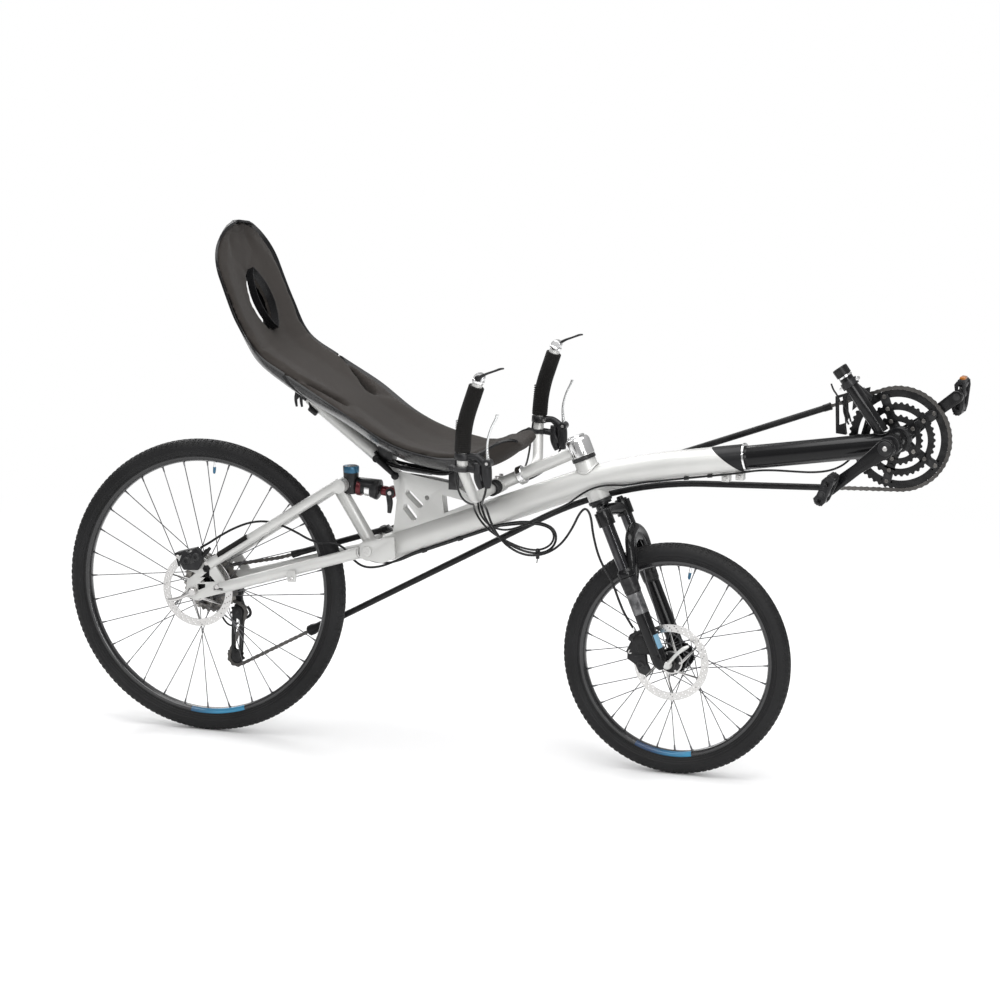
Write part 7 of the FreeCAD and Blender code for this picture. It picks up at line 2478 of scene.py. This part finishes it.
# ---- cables ---------------------------------------------------------------------------------------
@dataclass
class Cables:
    """Hoses and cables as smooth tubes through their points, with sleeves, clips and a tie."""

    hose_r: float = 2.5
    cable_r: float = 2.2
    front_hose: tuple = ((722, -251, 650.2), (719, -247, 620), (706, -230, 594), (692, -196, 580), (684, -160, 572),
                         (682, -134, 558), (686, -124, 532), (697, -112, 502), (717, -96, 473), (750, -82, 455),
                         (788, -72, 458), (822, -70, 480), (847, -72, 516), (864, -76, 552), (879, -80, 566),
                         (892, -85, 550), (898, -90, 512), (914, -93, 460), (942, -92, 417), (956, -90, 378),
                         (968, -77, 341), (982, -54, 308))
    rear_control: tuple = ((722, 251, 649.6), (719, 247, 620), (706, 228, 594), (690, 194, 578), (672, 158, 568),
                           (654, 120, 568), (642, 80, 576), (638, 40, 583), (637, 0, 585), (639, -40, 582),
                           (646, -76, 574), (658, -100, 556), (672, -108, 528), (690, -100, 500), (715, -84, 476),
                           (748, -70, 460), (778, -62, 458), (800, -56, 469), (808, -50, 490), (799, -44, 509),
                           (776, -38, 517), (746, -30, 517), (705, -20, 512.5), (667, -16, 502))
    rear_shift: tuple = ((654.5, -251, 679.2), (652, -247, 650), (652, -236, 618), (655, -208, 588), (658, -170, 573),
                         (654, -134, 566), (646, -108, 549), (655, -94, 523), (676, -84, 499), (704, -72, 481),
                         (736, -61, 466), (768, -55, 462), (792, -49, 472), (801, -44, 490), (792, -36, 506),
                         (769, -28, 512), (737, -19, 511), (700, -11, 505), (667, -6, 498.2))
    front_shift: tuple = ((654.5, 251, 679.2), (652, 247, 650), (652, 236, 618), (654, 206, 588), (648, 168, 567),
                          (640, 128, 564), (632, 88, 571), (628, 48, 579), (628, 6, 582), (631, -34, 577),
                          (637, -62, 560), (646, -74, 534), (666, -72, 511), (694, -62, 500), (726, -54, 508),
                          (760, -46, 524), (794, -40, 543), (828, -32, 563))
    rear_hose: tuple = ((667, -16, 502), (474, -16, 426.6), (440, -20, 409), (408, -27, 395), (372, -27, 391),
                        (344, -19, 404), (326, -19, 428), (304, -30, 441), (278, -38, 438), (250, -38, 445),
                        (222, -36, 458), (190, -35, 470), (154, -36, 478), (118, -42, 474), (84, -49, 460),
                        (52, -55, 441), (24, -59, 421), (-0.2, -60, 408))
    rear_gear: tuple = ((667, -6, 498.2), (474, -6, 422.7), (444, 2, 407), (412, 14, 396), (376, 28, 393),
                        (340, 38, 400.8), (120, 66, 333.7), (94, 77, 325), (66, 86, 319), (38, 90, 314), (12, 92, 301),
                        (-6, 93, 279), (-10, 92, 252), (-2, 89, 228), (16, 84, 213), (36, 80, 217), (47, 76, 233))
    front_gear: tuple = ((828, -32, 563), (852, -32, 583), (880, -33, 599), (910, -31, 607), (946, -24, 606.5),
                         (986, -18, 615), (1190, -18, 648.5), (1222, -13, 655), (1256, -8, 657), (1296, -2, 656),
                         (1336, 6, 655), (1372, 15, 660), (1400, 25, 675), (1418, 31, 700), (1428, 33, 732),
                         (1437, 32, 764), (1444, 30, 795))

    def line(self, name: str, points: tuple, radius: float) -> bpy.types.Object:
        """One smooth tube through listed points, with more points where two lie far apart.

        Args:
            name: The line's name.
            points: Its points, in millimetres above the ground under the rear axle.
            radius: Its radius, in millimetres.

        Returns:
            The tube.
        """
        places = [at(*p) for p in points]
        held = [places[0]]
        for a, b in zip(places, places[1:]):
            if (b - a).length > 0.08:
                held += [a.lerp(b, 0.08), a.lerp(b, 0.5), a.lerp(b, 0.92)]
            held.append(b)
        tube = bent_rod(name, held, [radius * MM] * len(held), smoothness=6, sides=3)
        return tube

    def ferrule(self, points: tuple, radius: float, end: int) -> bpy.types.Object:
        """A metal sleeve at one end of a line.

        Args:
            points: The line's points.
            radius: The line's radius, in millimetres.
            end: 0 for the line's start, 1 for its end.

        Returns:
            The sleeve.
        """
        a, b = (at(*points[0]), at(*points[1])) if end == 0 else (at(*points[-1]), at(*points[-2]))
        along = (b - a).normalized()
        return turned("ferrule", [(-0.5, 0), (-0.5, radius + 0.5), (0.5, radius + 0.9), (11, radius + 0.9),
                                  (12, radius + 0.3), (12, 0)], a, along, 20)

    def build_riding(self) -> None:
        """Lines that move with one body."""
        for name, points, radius, body, nodes in (
                ("front_brake_hose_line", self.front_hose, self.hose_r, Body.STEERING, ("front_brake_hose",)),
                ("rear_brake_hose_line", self.rear_hose, self.hose_r, Body.FRAME, ("rear_brake_hose",)),
                ("rear_gear_line", self.rear_gear, self.cable_r, Body.FRAME, ("gear_cables",)),
                ("front_gear_line", self.front_gear, self.cable_r, Body.FRAME, ())):
            dress(self.line(name, points, radius), JACKET, body, nodes, 60)
        ends = [self.ferrule(self.rear_hose, self.hose_r, 1), self.ferrule(self.rear_gear, self.cable_r, 1),
                self.ferrule(self.front_gear, self.cable_r, 1)]
        dress(join("frame_ferrules", ends), POLISHED, Body.FRAME)
        ends = [self.ferrule(self.front_hose, self.hose_r, 0), self.ferrule(self.front_hose, self.hose_r, 1)]
        dress(join("steering_ferrules", ends), POLISHED, Body.STEERING)

    def build_flexing(self) -> None:
        """Lines that run between the handlebar and the frame."""
        for name, points, radius, nodes in (
                ("rear_brake_control_line", self.rear_control, self.hose_r, ("control_cables",)),
                ("rear_shift_line", self.rear_shift, self.cable_r, ()),
                ("front_shift_line", self.front_shift, self.cable_r, ())):
            tube = self.line(name, points, radius)
            take(tube)
            bpy.ops.object.shade_smooth_by_angle(angle=math.radians(60))
            tube.data.materials.append(JACKET.material())
            at(*points[-1])
            at(*points[4])
            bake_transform(tube)
            if nodes:
                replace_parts(tube, *nodes)

    def build_fittings(self) -> None:
        """Saddles under the main tube and a tie at the loop."""
        clips = traced("cable_clips")
        dress(soften(clips, 0.4 * MM), PLASTIC, Body.FRAME, ("cable_clips",))
        knot = at(770, -61, 459)
        tie = turned("cable_tie", [(-2.4, 8.0), (-2.4, 9.2), (2.4, 9.2), (2.4, 8.0)], knot, X, 24, closed=True)
        tie = join("cable_tie", [tie, slab("buckle", knot - Z * 0.010, (0.006, 0.006, 0.005)),
                                 bar("tail", knot - Z * 0.010, knot - Z * 0.022 - X * 0.002, 1.0 * MM, sides=8)])
        take(tie)
        tie.data.materials.append(PLASTIC.material())
        at(*self.rear_control[-1])
        at(*self.rear_control[4])
        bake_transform(tie)

    def build(self) -> None:
        """Build every line."""
        self.build_riding()
        self.build_flexing()
        self.build_fittings()


@dataclass
class CarriedOver:
    """CAD nodes shown as merged copies with rounded edges."""

    shown: dict[str, tuple[Finish, Body, float]] = field(default_factory=dict)

    def build(self) -> None:
        """Refine each node in turn."""
        for node, (finish, body, width) in self.shown.items():
            if node not in taken():
                refined(node, finish, body, width * MM)


def taken() -> set[str]:
    """CAD nodes that a piece stands for already."""
    return {node for obj in bpy.data.objects for node in obj.get("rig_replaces", [])}


def sub_assemblies() -> list:
    """The sub-assemblies in building order.

    Returns:
        The sub-assemblies.
    """
    finishes = {"silver": SILVER, "black_metal": BLACK, "polished": POLISHED, "steel": STEEL, "spoke": SPOKE,
                "rubber": GRIP, "tyre": RUBBER, "foam": PAD, "shell": SHELL, "plastic": PLASTIC, "chain": CHAIN_STEEL}
    slots = {part["node"]: part["material_slot"] for part in frame["record"]["subparts"]}
    shown = {node: (finishes[slots[node]], Body(obj["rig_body"]), 0.6) for node, obj in frame["nodes"].items()}
    return [
        Wheel("rear", Body.REAR_WHEEL, REAR_HUB, 320.0, (-34.0, 17.0), -52.0, (-67.0, 67.0), 150, -84.0, 13.0, 86.0),
        Wheel("front", Body.FRONT_WHEEL, FRONT_HUB, 245.0, (-24.0, 33.0), -39.5, (-49.5, 49.5), 114, -96.5, 17.5, 82.0),
        Chain(),
        Crankset(),
        Gears(),
        Fork(),
        Cockpit(),
        Seat(),
        Frame(),
        Cables(),
        CarriedOver(shown),
    ]


# ---- studio ---------------------------------------------------------------------------------------
@dataclass
class Studio:
    """Camera, floor, world and soft lights."""

    place: Vector = field(default_factory=lambda: Vector((2.661, -7.428, 1.348)))
    azimuth: float = 18.57
    elevation: float = 10.55
    roll: float = 0.61
    lens: float = 136.9
    floor_half: float = 60.0

    def build_camera(self) -> None:
        """A long lens, low on the bicycle's right, turned a little towards its front."""
        azimuth, elevation = math.radians(self.azimuth), math.radians(self.elevation)
        ahead = Vector((-math.sin(azimuth) * math.cos(elevation), math.cos(azimuth) * math.cos(elevation),
                        -math.sin(elevation)))
        side = Vector((math.cos(azimuth), math.sin(azimuth), 0))
        up = side.cross(ahead)
        roll = math.radians(self.roll)
        right = side * math.cos(roll) + up * math.sin(roll)
        top = up * math.cos(roll) - side * math.sin(roll)
        camera = bpy.data.cameras.new("studio_camera")
        camera.lens = self.lens
        camera.sensor_width = 36.0
        camera.clip_end = 500.0
        obj = bpy.data.objects.new("studio_camera", camera)
        bpy.context.scene.collection.objects.link(obj)
        turn = Matrix((right, top, -ahead)).transposed()
        obj.matrix_world = Matrix.Translation(self.place) @ turn.to_4x4()
        bpy.context.scene.camera = obj

    def build_floor(self) -> None:
        """A plain pale floor that fades to white away from the bicycle."""
        deselect()
        bpy.ops.mesh.primitive_plane_add(size=2 * self.floor_half, location=(0.4, 0.0, GROUND_Z))
        floor = settle("studio_floor")
        made = bpy.data.materials.new("studio_floor")
        made.use_nodes = True
        graph = Graph(made.node_tree)
        place = graph.add("TexCoord").outputs["Object"]
        moved = graph.add("Mapping", {"Vector": place, "Location": (-0.4, 0.0, -GROUND_Z)}).outputs[0]
        distance = graph.add("VectorMath", {0: moved}, operation="LENGTH").outputs["Value"]
        away = graph.add("MapRange", {0: distance, 1: 1.3, 2: 3.4}, interpolation_type="SMOOTHSTEP").outputs[0]
        noise = graph.add("TexNoise", {"Vector": place, "Scale": 3.0, "Detail": 4.0}).outputs[0]
        tone = graph.mix(noise, (0.86, 0.86, 0.86), (0.90, 0.90, 0.90))
        matt = graph.add("BsdfPrincipled", {"Base Color": tone, "Roughness": 0.7, "Specular IOR Level": 0.15})
        bright = graph.add("Emission", {"Color": (1, 1, 1, 1), "Strength": 1.0})
        seen = graph.add("LightPath").outputs["Is Camera Ray"]
        fade = graph.maths("MULTIPLY", away, seen)
        blend = graph.add("MixShader", {0: fade, 1: matt.outputs[0], 2: bright.outputs[0]})
        out = graph.add("OutputMaterial")
        graph.tree.links.new(blend.outputs[0], out.inputs[0])
        floor.data.materials.append(made)

    def build_world(self) -> None:
        """White to the camera, and an even soft grey to everything else."""
        world = bpy.data.worlds.new("studio")
        world.use_nodes = True
        bpy.context.scene.world = world
        graph = Graph(world.node_tree)
        path = graph.add("LightPath")
        place = graph.add("TexCoord").outputs["Generated"]
        height = graph.add("SeparateXYZ", {0: place}).outputs[2]
        sky = graph.mix(graph.span(height, -0.1, 0.9), (0.55, 0.55, 0.55), (0.95, 0.95, 0.96))
        dim = graph.add("Background", {"Color": sky, "Strength": 0.62})
        white = graph.add("Background", {"Color": (1, 1, 1, 1), "Strength": 1.0})
        blend = graph.add("MixShader", {0: path.outputs["Is Camera Ray"], 1: dim.outputs[0], 2: white.outputs[0]})
        out = graph.add("OutputWorld")
        graph.tree.links.new(blend.outputs[0], out.inputs[0])

    def build_light(self, name: str, place: Vector, aim: Vector, size: tuple[float, float], power: float) -> None:
        """One soft rectangular light, aimed at a point.

        Args:
            name: The light's name.
            place: Where it stands, in metres.
            aim: What it points at, in metres.
            size: Its two sides, in metres.
            power: Its power, in watts.
        """
        light = bpy.data.lights.new(name, "AREA")
        light.shape = "RECTANGLE"
        light.size, light.size_y = size
        light.energy = power
        obj = bpy.data.objects.new(name, light)
        bpy.context.scene.collection.objects.link(obj)
        obj.matrix_world = Matrix.Translation(place) @ (place - aim).to_track_quat("Z", "Y").to_matrix().to_4x4()

    def build(self) -> None:
        """Lay out the whole studio."""
        self.build_camera()
        self.build_floor()
        self.build_world()
        middle = Vector((0.4, 0.0, 0.0))
        self.build_light("top_softbox", Vector((0.3, -0.4, 3.6)), middle, (4.5, 3.0), 165.0)
        self.build_light("front_softbox", Vector((3.0, -4.2, 2.2)), middle, (2.4, 2.0), 88.0)
        self.build_light("back_softbox", Vector((-2.6, 3.0, 2.4)), middle, (2.6, 1.8), 70.0)
        self.build_light("high_strip", Vector((0.2, -5.2, 4.2)), middle, (7.0, 0.16), 60.0)
        self.build_light("side_strip", Vector((5.0, -4.6, 0.9)), middle, (0.18, 3.2), 45.0)
        bpy.context.scene.view_settings.view_transform = "Standard"
        log.info("studio: camera %.1f mm lens", self.lens)


def main() -> None:
    """Build the pieces in order, then the studio."""
    logging.basicConfig(level=logging.INFO, format="%(message)s")
    for part in sub_assemblies():
        part.build()
        log.info("%s built", type(part).__name__)
    Studio().build()


if __name__ == "__main__":
    main()
